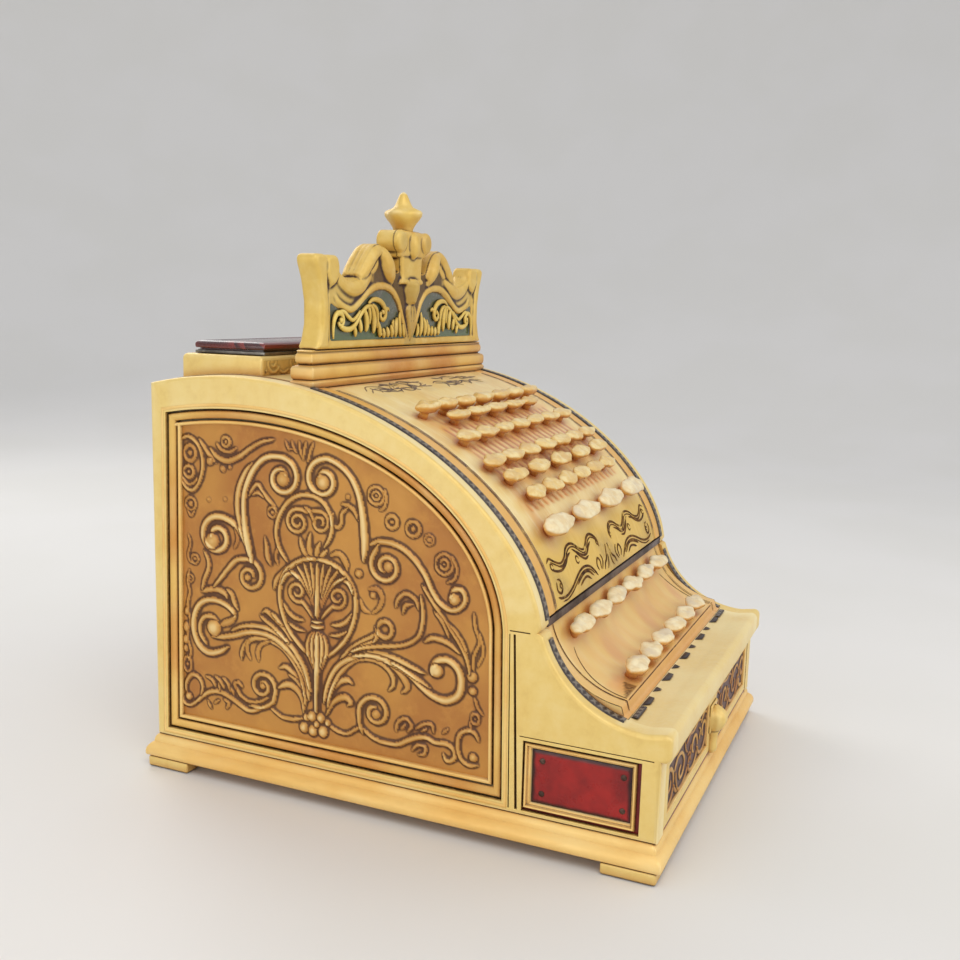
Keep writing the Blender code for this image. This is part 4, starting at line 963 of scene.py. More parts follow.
    # spirals in the middle height
    f.stroke([(206, 186, 1.6), (203, 197, 2.4), (198, 208, 2.6), (198, 217, 2.4), (203, 226, 1.6)], 2.2)
    f.stroke([(147, 226, 2.0), (155, 241, 3.0), (167, 255, 3.6)]
             + spiral((187, 241), 21.5, 6, 122, -1.35, 3.6, 3.0), 3.0)
    f.bead(193, 236, 8.0, 2.6)
    f.stroke([(167, 251, 1.2), (164, 241, 1.8), (168, 231, 1.2)], 1.2)
    f.stroke([(192, 191, 1.6), (184, 200, 2.4), (175, 211, 2.6), (166, 220, 2.8)]
             + spiral((150.5, 206.5), 17.5, 4.5, 66, 1.3, 2.7, 2.2), 2.7)
    f.bead(153, 205, 3.4, 2.2)
    f.stroke([(21, 252, 2.0), (11, 256, 2.8), (0, 256, 3.0), (-13, 252, 3.0), (-25, 243, 3.0),
              (-35, 231, 2.8),
              (-42, 218, 2.8), (-50, 208, 2.8), (-60, 203, 2.8), (-69, 206, 2.8), (-74, 214, 2.6),
              (-71, 222, 2.6), (-64, 222, 3.0), (-60, 215, 3.4)], 2.8)
    f.bead(-63.5, 213, 5.6, 2.8)
    f.stroke([(12, 253, 1.6)] + spiral((4, 234), 17, 5, 48, -1.35, 2.7, 2.5), 2.8)
    f.bead(2, 234, 5.0, 2.2)

    # the great scrolls at the top
    f.stroke([(150, 226, 2.0), (154, 240, 3.2), (160, 257, 3.8), (163, 273, 4.0), (161, 290, 3.8),
              (154, 305, 3.4), (146, 315, 2.4)], 2.8)
    f.stroke([(147, 220, 2.0), (150, 235, 3.0), (154, 252, 3.4), (156, 269, 3.4), (155, 286, 3.4),
              (149, 302, 3.4),
              (140, 315, 3.4), (130, 322, 3.2)] + spiral((113.5, 304), 20.5, 6, 76, 1.2, 3.1, 3.0), 3.2)
    f.bead(113, 303, 7.0, 2.6)
    f.stroke([(27, 236, 2.2), (26, 250, 4.2), (27, 266, 4.4), (29, 282, 3.8), (33, 298, 3.4),
              (41, 312, 3.2), (52, 321, 3.0)] + spiral((69, 306), 20.5, 6, 106, -1.2, 3.0, 3.0), 3.2)
    f.bead(70, 304, 7.4, 3.0)
    f.stroke([(150, 284, 1.4), (146, 291, 2.0), (140, 296, 2.2), (135, 290, 2.0), (129, 283, 2.2),
              (120, 275, 1.3)], 2.2)
    f.stroke([(147, 285, 1.2), (140, 288, 1.8), (134, 284, 1.2)], 2.0)
    f.ring(124.5, 271, 4.6, 1.4, 1.9, 1.0, 2.0)
    f.stroke([(33, 273, 1.2), (37, 281, 2.0), (43, 285, 2.2), (51, 286, 1.3)], 2.2)
    f.stroke([(44, 283, 1.2), (50, 277, 1.8), (50, 269, 2.0), (55, 264, 2.2), (60, 269, 2.0),
              (59, 277, 1.2)], 2.2)
    f.bead(44, 293, 2.2, 1.6)
    f.stroke([(133, 247, 1.3), (131, 238, 2.4), (130, 228, 3.0), (126, 220, 1.6)], 2.1)
    f.stroke([(118, 240, 1.2), (121, 230, 1.8), (119, 222, 1.2)], 1.4)
    f.stroke([(62, 237, 1.6), (53, 240, 2.8), (46, 233, 3.2), (44, 225, 1.6)], 1.5)
    f.bead(32, 224, 3.6, 2.2)

    # the upper ring and its two small scrolls
    f.stroke([(108, 226, 1.6), (116, 237, 2.2), (120, 250, 2.4), (118, 265, 2.4), (110, 279, 2.4),
              (99, 288, 2.4),
              (86, 291, 2.4), (73, 288, 2.4), (64, 279, 2.4), (60, 267, 2.4), (62, 254, 2.2),
              (68, 244, 1.4)], 2.6)
    f.stroke([(86, 274, 1.2)] + spiral((97, 264.5), 13, 3, 112, -1.8, 2.1, 1.6), 2.4)
    f.stroke([(86, 276, 1.4)] + spiral((73, 266.5), 11, 3, 72, 1.5, 1.9, 1.5), 2.2)
    f.stroke([(90, 280, 1.2), (84, 276, 1.8), (80, 268, 1.4)], 1.8)
    for pts in (((82, 231, 2.2), (89, 237, 3.0), (93, 245, 2.4), (94, 251, 1.2)),
                ((80, 232, 2.4), (84, 240, 3.2), (84, 249, 2.6), (83, 256, 1.2)),
                ((77, 232, 2.2), (76, 240, 3.0), (73, 248, 1.4)),
                ((74, 232, 2.0), (69, 238, 2.6), (65, 242, 1.3))):
        f.stroke(pts, 2.2)

    # heart, fan and reeded vase on the axis
    f.stroke([(123, 198, 2.0), (120, 207, 2.8), (113, 215, 2.8), (106, 223, 1.8)], 2.4)
    for pts in mirrored_strokes(axis, (
            [(84, 139, 1.8), (96, 149, 2.2), (107, 162, 2.4), (114, 178, 2.5), (116.5, 194, 2.5),
             (114, 208, 2.5), (107, 219, 2.5), (97, 227, 2.5), (86, 231, 2.5), (75.5, 232, 2.5)],
            [(114, 204, 1.2), (109, 213, 2.0), (101, 216, 2.0), (94, 210, 1.4)])):
        f.stroke(pts, 2.8)
    for pts in mirrored_strokes(axis, (
            [(80, 176, 1.4), (86, 184, 1.9), (92, 190, 2.0)]
            + spiral((97, 199), 10.5, 3.4, 248, 1.25, 2.0, 1.7),
            [(112, 186, 1.2), (107, 178, 2.2), (99, 173, 2.4), (90, 172, 1.3)],
            [(107, 168, 1.2), (98, 163, 2.0), (89, 162, 1.2)])):
        f.stroke(pts, 2.4)
    for reach, top in ((30, 219), (22, 224), (14.5, 227), (7, 228)):
        for sign in (-1, 1):
            f.stroke([(axis + sign * 1.5, 178, 1.4), (axis + sign * reach * 0.22, 194, 1.7),
                      (axis + sign * reach * 0.55, 210, 2.1), (axis + sign * reach, top, 1.4)], 2.4)
    f.stroke([(axis, 176, 1.6), (axis, 200, 2.0), (axis, 228, 1.8)], 2.6)
    for k in (-2, 2, -1, 1, 0):
        f.stroke([(axis + k * 0.9, 84, 1.5), (axis + k * 1.0, 105, 1.7), (axis + k * 1.2, 124, 1.9),
                  (axis + k * 3.4, 136, 2.5), (axis + k * 5.0, 148, 2.9), (axis + k * 3.6, 158, 2.5),
                  (axis + k * 1.4, 163, 1.4)], 3.4 - 0.35 * abs(k))
    f.stroke([(axis - 6, 168.5), (axis, 167.5), (axis + 6, 168.5)], 3.4, 2.2)
    f.stroke([(axis - 5, 173), (axis, 172.5), (axis + 5, 173)], 3.4, 1.8)
    for a, b, r in ((64, 77, 3.0), (87, 78, 3.4), (90, 67.5, 4.8), (80, 66, 5.0), (69, 67, 5.2),
                    (81, 80, 4.6), (71.5, 80, 4.4), (76, 73, 3.0)):
        f.bead(a, b, r, 3.0, 1.12)
    # hammered ground
    rng = np.random.default_rng(7)
    rough = f.blur(rng.standard_normal(f.A.shape), 2.2)
    f.height += rough * 0.38 * np.clip(1.0 - f.height / 1.2, 0.0, 1.0)
    return f


def window_ring(inset=0.0):
    """The edge of the side window in (y, z), moved inwards by inset."""
    arch = resample(cubic(WINDOW_ARCH, np.linspace(0.0, 1.0, 72)), 0.006)
    ring = np.vstack([[(WINDOW_ARCH[0][0] + 0.0045, WINDOW_BOTTOM)], arch, [(WINDOW_FOOT, WINDOW_BOTTOM)]])
    return offset_ring(counter_clockwise(ring), inset)


ORNAMENT = side_ornament()


def side_panels():
    """The two ornament panels and the nested mouldings round them."""
    keep_ring = window_ring(0.011) * 1000.0
    ground = PANEL_FACE - 0.0016
    bead_profile = ((0.0012, ground - 0.001), (0.0014, CASE - 0.0038), (0.0024, CASE - 0.0022),
                    (0.0042, CASE - 0.0014),
                    (0.0062, CASE - 0.0018), (0.0080, CASE - 0.0030), (0.0092, CASE - 0.0042),
                    (0.0096, ground - 0.0004))
    lip_profile = ((0.0108, ground - 0.0006), (0.0110, CASE - 0.0046), (0.0118, CASE - 0.0034),
                   (0.0132, CASE - 0.0032), (0.0144, CASE - 0.0042), (0.0148, ground - 0.0008))
    for name, side in SIDES:
        points, quads, layers = ORNAMENT.mesh(
            lambda a, b, h: np.stack([side * h, a, b], 1),
            lambda A, B: inside(keep_ring, A, B), ground)
        finish_mesh(f"ornament_panel_{name}", points, quads, BRONZE, "root",
                    [f"side_panel_{name}"], 0, layers, flip=side > 0)
        place = lambda a, b, h: (side * h, a, b)
        moulding(Shape(), window_ring(), bead_profile, place).build(
            f"window_band_{name}", BAND, "moulding_gilt", "root", angle=50)
        moulding(Shape(), window_ring(), lip_profile, place).build(
            f"window_lip_{name}", MOULD, "moulding_gilt", "root", angle=50)
        slab(Shape(), window_ring(-0.001), [], place, [(0.0, 0.0)], [], ground - 0.0030, INNER + 0.0005,
             tone=0.85).build(f"window_backing_{name}", BAND, "panel_bronze", "root")


side_panels()


# ---------------------------------------------------------------- side frames, plinth, shelf
def cove_angle(y):
    """The angle, in degrees round the cove's centre, at which the cove has this y."""
    return -math.degrees(math.acos((y - COVE_CENTRE[0]) / COVE_RADIUS))


def shelf_profile():
    """The shelf in (y, z), from its rear foot over the cove and round the nose."""
    front = SHELF_HIGH.y
    turns = np.radians(np.linspace(cove_angle(front), -90.0, 6))
    cove = [(COVE_CENTRE[0] + COVE_RADIUS * math.cos(t), COVE_CENTRE[1] + COVE_RADIUS * math.sin(t))
            for t in turns]
    y0, top, bottom = SHELF_LOW.y, SHELF_HIGH.z, SHELF_LOW.z
    return [(front, bottom)] + cove + [
        (y0 + 0.0062, top), (y0 + 0.0040, top - 0.0004), (y0 + 0.0020, top - 0.0014),
        (y0 + 0.0006, top - 0.0032),
        (y0, top - 0.0056), (y0, bottom + 0.0058), (y0 + 0.0006, bottom + 0.0032),
        (y0 + 0.0020, bottom + 0.0014), (y0 + 0.0046, bottom)]


def frame_ring():
    """The outline of a side frame in (y, z)."""
    arch = resample(cubic(ARCH, np.linspace(0.0, 1.0, 90)), 0.006)
    turns = np.radians(np.linspace(COVE_START, cove_angle(SHELF_HIGH.y), 24))
    cove = np.stack([COVE_CENTRE[0] + COVE_RADIUS * np.cos(turns),
                     COVE_CENTRE[1] + COVE_RADIUS * np.sin(turns)], 1)
    ring = [[(CASE_REAR, CASE_BOTTOM)], arch, [ARCH_FOOT], cove[:-1], shelf_profile()[1:],
            [(CASE_FRONT, SHELF_LOW.z), (CASE_FRONT, CASE_BOTTOM)]]
    return np.vstack(ring)


def plate_ring(front, rear, below, above):
    """An upright rectangle round the enamel plate, in (y, z)."""
    y0, y1 = PLATE_LOW.y - front, PLATE_HIGH.y + rear
    z0, z1 = PLATE_LOW.z - below, PLATE_HIGH.z + above
    return np.array([(y0, z0), (y1, z0), (y1, z1), (y0, z1)])


POCKET = plate_ring(0.0080, 0.0080, 0.0086, 0.0068)
TRIM = plate_ring(0.0050, 0.0078, 0.0068, 0.0062)


SCREW_HEAD = ((0.0, 0.0027), (0.0006, 0.0027), (0.0011, 0.0022), (0.0013, 0.0012), (0.0013, 0.0))


def side_frames():
    """Cast frames with soft outer edges, the incised post line and the framed pocket."""
    ends = 0.1920, CASE_BOTTOM + 0.0044
    grooves = [np.array([(a, ends[0]), (b, ends[0]), (c, ends[1]), (d, ends[1])]) for a, b, c, d in
               ((-0.1222, -0.1238, -0.1300, -0.1278), (-0.1184, -0.1188, -0.1224, -0.1216))]
    foot = SHELF_LOW.z
    seam = np.array([(-0.1306, foot), (-0.2480, foot), (-0.2480, foot + 0.0005), (-0.1306, foot + 0.0005)])
    joint = np.array([(-0.1186, 0.1946), (-0.1368, 0.1946), (-0.1368, 0.1953), (-0.1186, 0.1953)])
    corner = [(0.0034, 0.0), (0.0021, 0.0002), (0.0010, 0.0008), (0.0003, 0.0017), (0.0, 0.0031)]
    hole = [(0.0007, 0.0), (0.0002, 0.0002), (0.0, 0.0008)]
    for name, side in SIDES:
        place = lambda a, b, h: (side * h, a, b)
        shape = slab(Shape(), frame_ring(), [window_ring(), POCKET, seam, joint] + grooves,
                     place, corner, hole, CASE, CASE - 0.0048)
        slab(shape, frame_ring(), [window_ring(-0.0002)], place, [(0.0, 0.0)], [(0.0, 0.0)],
             CASE - 0.0048, INNER)
        shape.build(f"cast_side_{name}", BODY, "body_gilt", "root", [f"side_frame_{name}"], 42)
        # a thin bright bead beside the window, and the strip that the post line leaves
        moulding(Shape(), window_ring(-0.0052),
                 ((0.0, CASE - 0.0006), (0.0004, CASE + 0.0003), (0.0016, CASE + 0.0006),
                 (0.0030, CASE + 0.0003), (0.0034, CASE - 0.0006)), place).build(
            f"window_edge_bead_{name}", MOULD, "moulding_gilt", "root", angle=60)
        # frames round the enamel plate
        trim = Shape()
        face = CASE - 0.0046
        moulding(trim, TRIM, ((0.0008, face), (0.0010, CASE - 0.0014), (0.0020, CASE - 0.0002),
                              (0.0032, CASE - 0.0006), (0.0038, CASE - 0.0022), (0.0040, face)), place)
        inner = offset_ring(TRIM, 0.0040)
        rims = [(inner, CASE - 0.0026), (plate_ring(0.0004, 0.0016, 0.0020, 0.0012), CASE - 0.0022),
                (plate_ring(0.0002, 0.0010, 0.0012, 0.0008), CASE - 0.0028), (plate_ring(0, 0, 0, 0), face)]
        trim.add([place(a, b, h) for ring, h in rims for a, b in ring], net(4, 4, wrap_columns=True), 0.0)
        trim.build(f"plate_frame_{name}", MOULD, "moulding_gilt", "root", angle=50)
        slab(Shape(), POCKET, [], place, [(-0.0002, 0.0)], [], face + 0.0001, face - 0.0004,
             tone=0.55).build(
            f"plate_bed_{name}", ENAMEL, "moulding_gilt", "root")
        # the red plate, softly crowned, darker to its rim
        rows, cols = 25, 45
        y0, y1, z0, z1 = PLATE_LOW.y, PLATE_HIGH.y, PLATE_LOW.z, PLATE_HIGH.z
        verts, tone = [], []
        top = CASE - 0.0021
        for i in range(rows):
            for j in range(cols):
                u, v = j / (cols - 1), i / (rows - 1)
                edge = min(u * (y1 - y0), (1 - u) * (y1 - y0), v * (z1 - z0), (1 - v) * (z1 - z0))
                fall = 0.0012 * math.exp(-edge / 0.0012)
                verts.append((side * (top - fall), y0 + u * (y1 - y0), z0 + v * (z1 - z0)))
                wave = 0.0012 * noise.noise((u * 9.0, v * 5.0, 3.0))
                tone.append(min(1.0, max(0.0, 1.15 - (edge + wave) / 0.0042) + 0.10 * abs(2 * u - 1)))
        plate = Shape().add(verts, net(rows, cols), tone)
        rim = [(y0, z0), (y1, z0), (y1, z1), (y0, z1)]
        moulding(plate, rim, ((0.0, top - 0.0012), (0.0, face + 0.0002)), place, tone=1.0)
        plate.build(f"enamel_face_{name}", ENAMEL, "enamel_red", "root", [f"enamel_plate_{name}"], 60)
        screws = Shape()
        for y in (y0 + 0.0070, y1 - 0.0095):
            for z in (z0 + 0.0095, z1 - 0.0090):
                screws.add(rings(SCREW_HEAD, lambda h, a, b: (side * (top + h - 0.0004), y + a, z + b), 16),
                           net(len(SCREW_HEAD), 16, wrap_columns=True), 0.2)
                tube(screws, [(side * (top + 0.0007), y - 0.0018, z - 0.0013),
                              (side * (top + 0.0007), y + 0.0018, z + 0.0013)],
                     0.00042, 4, tone=1.0)
        screws.build(f"plate_screws_{name}", SCREW, "steel", "root", angle=35)


side_frames()


def rectangle_rings(shape, profile, x, y0, y1, radius):
    """A stack of rounded rectangles; profile is (height, inset)."""
    rows = []
    spans = (1, max(1, int((y1 - y0) / 0.035)), max(1, int(2 * x / 0.035)))
    for z, inset in profile:
        hx, front, rear = x - inset, y0 + inset, y1 - inset
        row = []
        for cx, cy, start in ((hx, front, -90), (hx, rear, 0), (-hx, rear, 90), (-hx, front, 180)):
            sx, sy = (1 if cx > 0 else -1), (1 if cy == rear else -1)
            for k in range(4):
                t = math.radians(start + 30 * k)
                row.append((cx - sx * radius + radius * math.cos(t),
                            cy - sy * radius + radius * math.sin(t), z))
        ring = []
        for p, q in zip(row, row[1:] + row[:1]):
            across, along = abs(p[0] - q[0]), abs(p[1] - q[1])
            count = spans[2] if across > 0.01 else spans[1] if along > 0.01 else 1
            ring += [tuple(np.array(p) + (np.array(q) - np.array(p)) * k / count) for k in range(count)]
        rows.append(ring)
    return stacked(shape, rows)


def stacked(shape, rows):
    """A skin over stacked outlines, closed by a face of its own at both ends."""
    n = len(rows[0])
    shape.add([p for r in rows for p in r], net(len(rows), n, wrap_columns=True))
    shape.add(rows[0], [tuple(range(n))[::-1]])
    return shape.add(rows[-1], [tuple(range(n))])


def base():
    """Plinth with a torus and a fillet, and the four pads."""
    top, bottom = PLINTH_HIGH.z, PLINTH_LOW.z
    profile = ((bottom, 0.0016), (bottom + 0.0006, 0.0006), (bottom + 0.0018, 0.0), (bottom + 0.0050, 0.0),
               (bottom + 0.0078, 0.0008), (bottom + 0.0102, 0.0024), (bottom + 0.0120, 0.0044),
               (bottom + 0.0132, 0.0062),
               (bottom + 0.0160, 0.0066), (bottom + 0.0178, 0.0072), (bottom + 0.0196, 0.0084),
               (top - 0.0004, 0.0096), (top, 0.0104))
    rectangle_rings(Shape(), profile, PLINTH_HIGH.x, PLINTH_LOW.y, PLINTH_HIGH.y, radius=0.0022).build(
        "moulded_plinth", MOULD, "plinth_wood", "root", ["base_plinth"], 38)
    for corner in ("front_left", "front_right", "rear_left", "rear_right"):
        lo, hi = low(f"foot_{corner}"), high(f"foot_{corner}")
        rounded_box(Shape(), lo, hi, 0.0022).build(f"pad_{corner}", BODY, "body_gilt", "root",
                                                   [f"foot_{corner}"], 45)


base()


def shelf():
    """The front shelf with its soft nose."""
    shape = Shape()
    ring = counter_clockwise(shelf_profile())
    rows = [[(s, a, b) for a, b in ring] for s in np.linspace(-INNER, INNER, 14)]
    n = len(ring)
    shape.add([p for r in rows for p in r], net(len(rows), n, wrap_columns=True))
    shape.add(rows[0], fill([[(p[1], p[2]) for p in rows[0]]]))
    shape.add(rows[-1], fill([[(p[1], p[2]) for p in rows[-1]]]))
    shape.build("nosed_shelf", SHELF, "body_gilt", "root", ["front_shelf"], 42)


shelf()


# ---------------------------------------------------------------- keyboard
ARC_T = np.linspace(0.0, 1.0, 1201)
ARC_POINTS = cubic(ARCH, ARC_T)
ARC_LENGTH = np.r_[0.0, np.cumsum(np.linalg.norm(np.diff(ARC_POINTS, axis=0), axis=1))]
ARC_TOTAL = ARC_LENGTH[-1]


def arch_length_at(y):
    """Distance along the arch from its front foot to where it has this y."""
    return ARC_TOTAL - float(np.interp(-y, -ARC_POINTS[:, 0], ARC_LENGTH))


def on_arch(x, s, lift):
    """Points on the arch: x, distance s from the front foot, and height above the curve."""
    t = np.interp(ARC_TOTAL - np.asarray(s, dtype=float), ARC_LENGTH, ARC_T)
    ahead = cubic(ARCH, np.minimum(t + 0.002, 1.0)) - cubic(ARCH, np.maximum(t - 0.002, 0.0))
    ahead /= np.linalg.norm(ahead, axis=-1)[..., None]
    point = cubic(ARCH, t)
    normal = np.stack([ahead[..., 1], -ahead[..., 0]], -1)
    point = point + normal * np.asarray(lift)[..., None]
    return np.stack([np.broadcast_to(x, point[..., 0].shape), point[..., 0], point[..., 1]], -1)


def sag_path():
    """The lower sheet in (y, z): a sagging arc, the riser, and the ledge behind the shelf."""
    start, end, sag = np.array((-0.1425, 0.1955)), np.array((-0.2125, 0.1365)), 0.0140
    chord = end - start
    length = np.linalg.norm(chord)
    down = np.array((-chord[1], chord[0])) / length
    radius = ((length / 2) ** 2 + sag ** 2) / (2 * sag)
    across = length * (np.linspace(0.0, 1.0, 40) - 0.5)
    depth = np.sqrt(radius ** 2 - across ** 2) - (radius - sag)
    arc = start + chord * np.linspace(0.0, 1.0, 40)[:, None] + down * depth[:, None]
    return np.vstack([arc, [(-0.2150, 0.1275)], [(SHELF_HIGH.y + 0.0003, 0.1270)]])


LOWER = resample(sag_path(), 0.0012)
LOWER_LENGTH = np.r_[0.0, np.cumsum(np.linalg.norm(np.diff(LOWER, axis=0), axis=1))]


def on_lower(x, s, lift):
    """Points on the lower sheet: s runs from its top edge down to the ledge."""
    s = np.asarray(s, dtype=float)
    point = np.stack([np.interp(s, LOWER_LENGTH, LOWER[:, k]) for k in (0, 1)], -1)
    ahead = np.stack([np.interp(s + 0.003, LOWER_LENGTH, LOWER[:, k])
                      - np.interp(s - 0.003, LOWER_LENGTH, LOWER[:, k])
                      for k in (0, 1)], -1)
    ahead /= np.linalg.norm(ahead, axis=-1)[..., None]
    normal = np.stack([ahead[..., 1], -ahead[..., 0]], -1)
    point = point + normal * np.asarray(lift)[..., None]
    return np.stack([np.broadcast_to(x, point[..., 0].shape), point[..., 0], point[..., 1]], -1)


def ribbon(shape, points, place, lift=0.00035, half=0.0008, tone=0.0):
    """A thin painted line that lies on a curved sheet; points are (x, s) or (x, s, half width)."""
    pts = [p if len(p) == 3 else (p[0], p[1], half) for p in points]
    path = smooth_path(pts, 0.0022)
    d = np.gradient(path[:, :2], axis=0)
    d /= np.maximum(np.linalg.norm(d, axis=1), 1e-9)[:, None]
    n = np.stack([-d[:, 1], d[:, 0]], 1)
    fade = np.clip(np.minimum(np.arange(len(path)), np.arange(len(path))[::-1]) / 3.0 + 0.25, 0.25, 1.0)
    rows = []
    for k, rise in ((-1.0, 0.0), (0.0, lift), (1.0, 0.0)):
        offset = path[:, :2] + n * (path[:, 2] * fade * k)[:, None]
        rows.append(place(offset[:, 0], offset[:, 1], np.full(len(path), rise + 0.0001)))
    verts = np.concatenate(rows)
    shape.add(verts, net(3, len(path)), tone)
    return shape


def both_sides(points):
    """A painted line and its reflection."""
    return points, [(-p[0], *p[1:]) for p in points]


def ink_paint():
    """Dark varnish lines, rubbed through in places."""
    t = Tree("ink_lines")
    rub = t.noise(120.0, 4.0, 0.65)
    colour = t.mix(t.ramp(rub, 0.35, 0.62), rgb("351A06"), rgb("745024"))
    colour = t.mix(t.attribute("tone"), colour, t.mix(t.ramp(rub, 0.4, 0.6), rgb("6E625C"), rgb("A8957A")))
    colour = t.wash(colour, "D9B966", t.noise(60.0, 3.0), 0.56, 0.72, 0.0, 0.8)
    return t.surface(colour, t.ramp(rub, 0.3, 0.7, 0.55, 0.7), 0.0, t.bump(rub, 0.0002, 0.4), specular=0.12)


INK = ink_paint()


def sheet_mesh(name, place, s0, s1, half, step, paint, node, lift):
    """A curved sheet with its paint layers."""
    xs = np.linspace(-half, half, int(2 * half / step) + 1)
    ss = np.linspace(s0, s1, int((s1 - s0) / step) + 1)
    X, S = np.meshgrid(xs, ss)
    layers, height = paint(X, S)
    points = place(X, S, lift + height).reshape(-1, 3)
    quads = net(len(ss), len(xs))
    layers = {k: v.ravel() for k, v in layers.items()}
    return finish_mesh(name, points, quads, CREAM, "root", [node], 0, layers)


def soft(value, edge, width):
    """A smooth step up at edge."""
    return np.clip((value - edge) / width + 0.5, 0.0, 1.0)


def band(value, a, b, width):
    """One between two edges and zero outside them, with soft steps."""
    return soft(value, a, width) * (1.0 - soft(value, b, width))


# key rows on the arch, as in the CAD: name, y, height, count, spacing, half the depth of a cap
KEY_ROWS = (
    ("key_row_1", 0.0075, 0.0150, 7, 0.0433, 0.0078), ("key_row_2", -0.0085, 0.0125, 5, 0.0470, 0.0078),
    ("key_row_3", -0.0343, 0.0125, 7, 0.0433, 0.0085), ("key_row_4", -0.0622, 0.0125, 7, 0.0450, 0.0085),
    ("key_row_5", -0.0783, 0.0130, 5, 0.0615, 0.0088), ("key_row_6", -0.0940, 0.0120, 6, 0.0440, 0.0085),
)
BIG_KEY_Y, BIG_KEY_HEIGHT, BIG_KEY_SPACING, BIG_KEY_DEPTH = -0.1174, 0.0165, 0.0800, 0.0120
# rows on the lower sheet: name, place in (y, z), tilt, count, spacing, half the cap's depth, first seed
LOWER_KEYS = (
    ("upper_total_key", (-0.1600, 0.1895), 50.0, 6, 0.0540, 0.0085, 80),
    ("front_total_key", (-0.2070, 0.1536), 65.0, 6, 0.0466, 0.0095, 100),
)
ROW_S = [arch_length_at(row[1]) for row in KEY_ROWS]
BIG_S = arch_length_at(BIG_KEY_Y)
SHEET_TOP = arch_length_at(float(high("upper_key_panel").y))


def upper_paint(X, S):
    """Paint layers and height of the upper sheet: gilt foot, rose combs under the key rows, washes."""
    side = np.abs(X)
    wobble = 0.004 * np.sin(X * 90.0) + 0.003 * np.sin(X * 37.0 + 1.0)
    gold = np.maximum(1.0 - soft(S + wobble, BIG_S - 0.006, 0.030),
                      0.75 * band(side, 0.1705, 0.1870, 0.003))
    tan = band(side, 0.1700, 0.1900, 0.002)
    # rose combs: bands of slanting teeth under the rows of keys
    combs = np.zeros_like(X)
    for i, j in ((1, 2), (2, 3), (3, 4), (5, None)):
        upper = ROW_S[i] - 0.004
        lower = (ROW_S[j] if j is not None else BIG_S + 0.018) + 0.004
        combs = np.maximum(combs, band(S, lower, upper, 0.004) * band(X, -0.128, 0.140, 0.010))
    combs = np.maximum(combs, 0.5 * band(S, ROW_S[1], ROW_S[0], 0.004) * band(X, -0.120, 0.130, 0.010))
    teeth = 0.5 + 0.5 * np.cos(2 * math.pi * (X + 0.25 * (S - 0.15) + 0.0005 * np.sin(S * 260.0)) / 0.0138)
    sharp = soft(teeth, 0.50, 0.80)
    rose = combs * (0.12 + 0.80 * sharp) * soft(S, 0.110, 0.03)
    blush = combs * (0.20 + 0.75 * sharp) * (1.0 - soft(S, 0.110, 0.03))
    # a blush along every row of keys, painted shade under the caps; a blush at the left end of the rows,
    # and on the tan border
    field = band(X, -0.135, 0.150, 0.02)
    for s in ROW_S + [BIG_S]:
        blush = np.maximum(blush, 0.42 * np.exp(-((S - s + 0.002) / 0.0075) ** 2) * field)
    blush = np.maximum(blush, 0.35 * np.exp(-((X + 0.128) / 0.008) ** 2) * band(S, 0.06, 0.235, 0.02))
    blush = np.maximum(blush, tan * 0.42)
    # grey-blue clouds near the crown, dark washes round the painted scrolls at the foot
    cloud = np.clip(np.sin(X * 50 + 2) * np.sin(S * 75) * 1.2, 0, 1)
    blue = (0.28 * cloud * band(S, SHEET_TOP - 0.040, SHEET_TOP - 0.004, 0.008)
            * band(side, 0.010, 0.125, 0.02))
    ink = (0.22 * (1.0 - soft(S, 0.020, 0.012)) * band(side, 0.0, 0.155, 0.02)
           * np.clip(np.sin(X * 60) + 0.4, 0, 1))
    # a dark line in the bottom of each comb groove: painted shade
    ink = ink + 0.20 * combs * soft(teeth, 0.93, 0.10)
    wash = np.sin(X * 64.0 + 60.0 * S) * np.sin(X * 23.0 + 1.4) + 0.8 * np.exp(-(X / 0.022) ** 2)
    ink = ink + 0.34 * np.clip(wash, 0.0, 1.0) * band(S, 0.004, 0.042, 0.014) * band(side, -1, 0.160, 0.02)
    height = -0.0008 * combs * teeth - 0.0004 * band(side, 0.1640, 0.1700, 0.0016)
    height = height + 0.0006 * band(side, 0.1715, 0.1880, 0.003)
    return {"gold": gold, "blush": blush, "rose": rose, "blue": blue, "ink": ink}, height


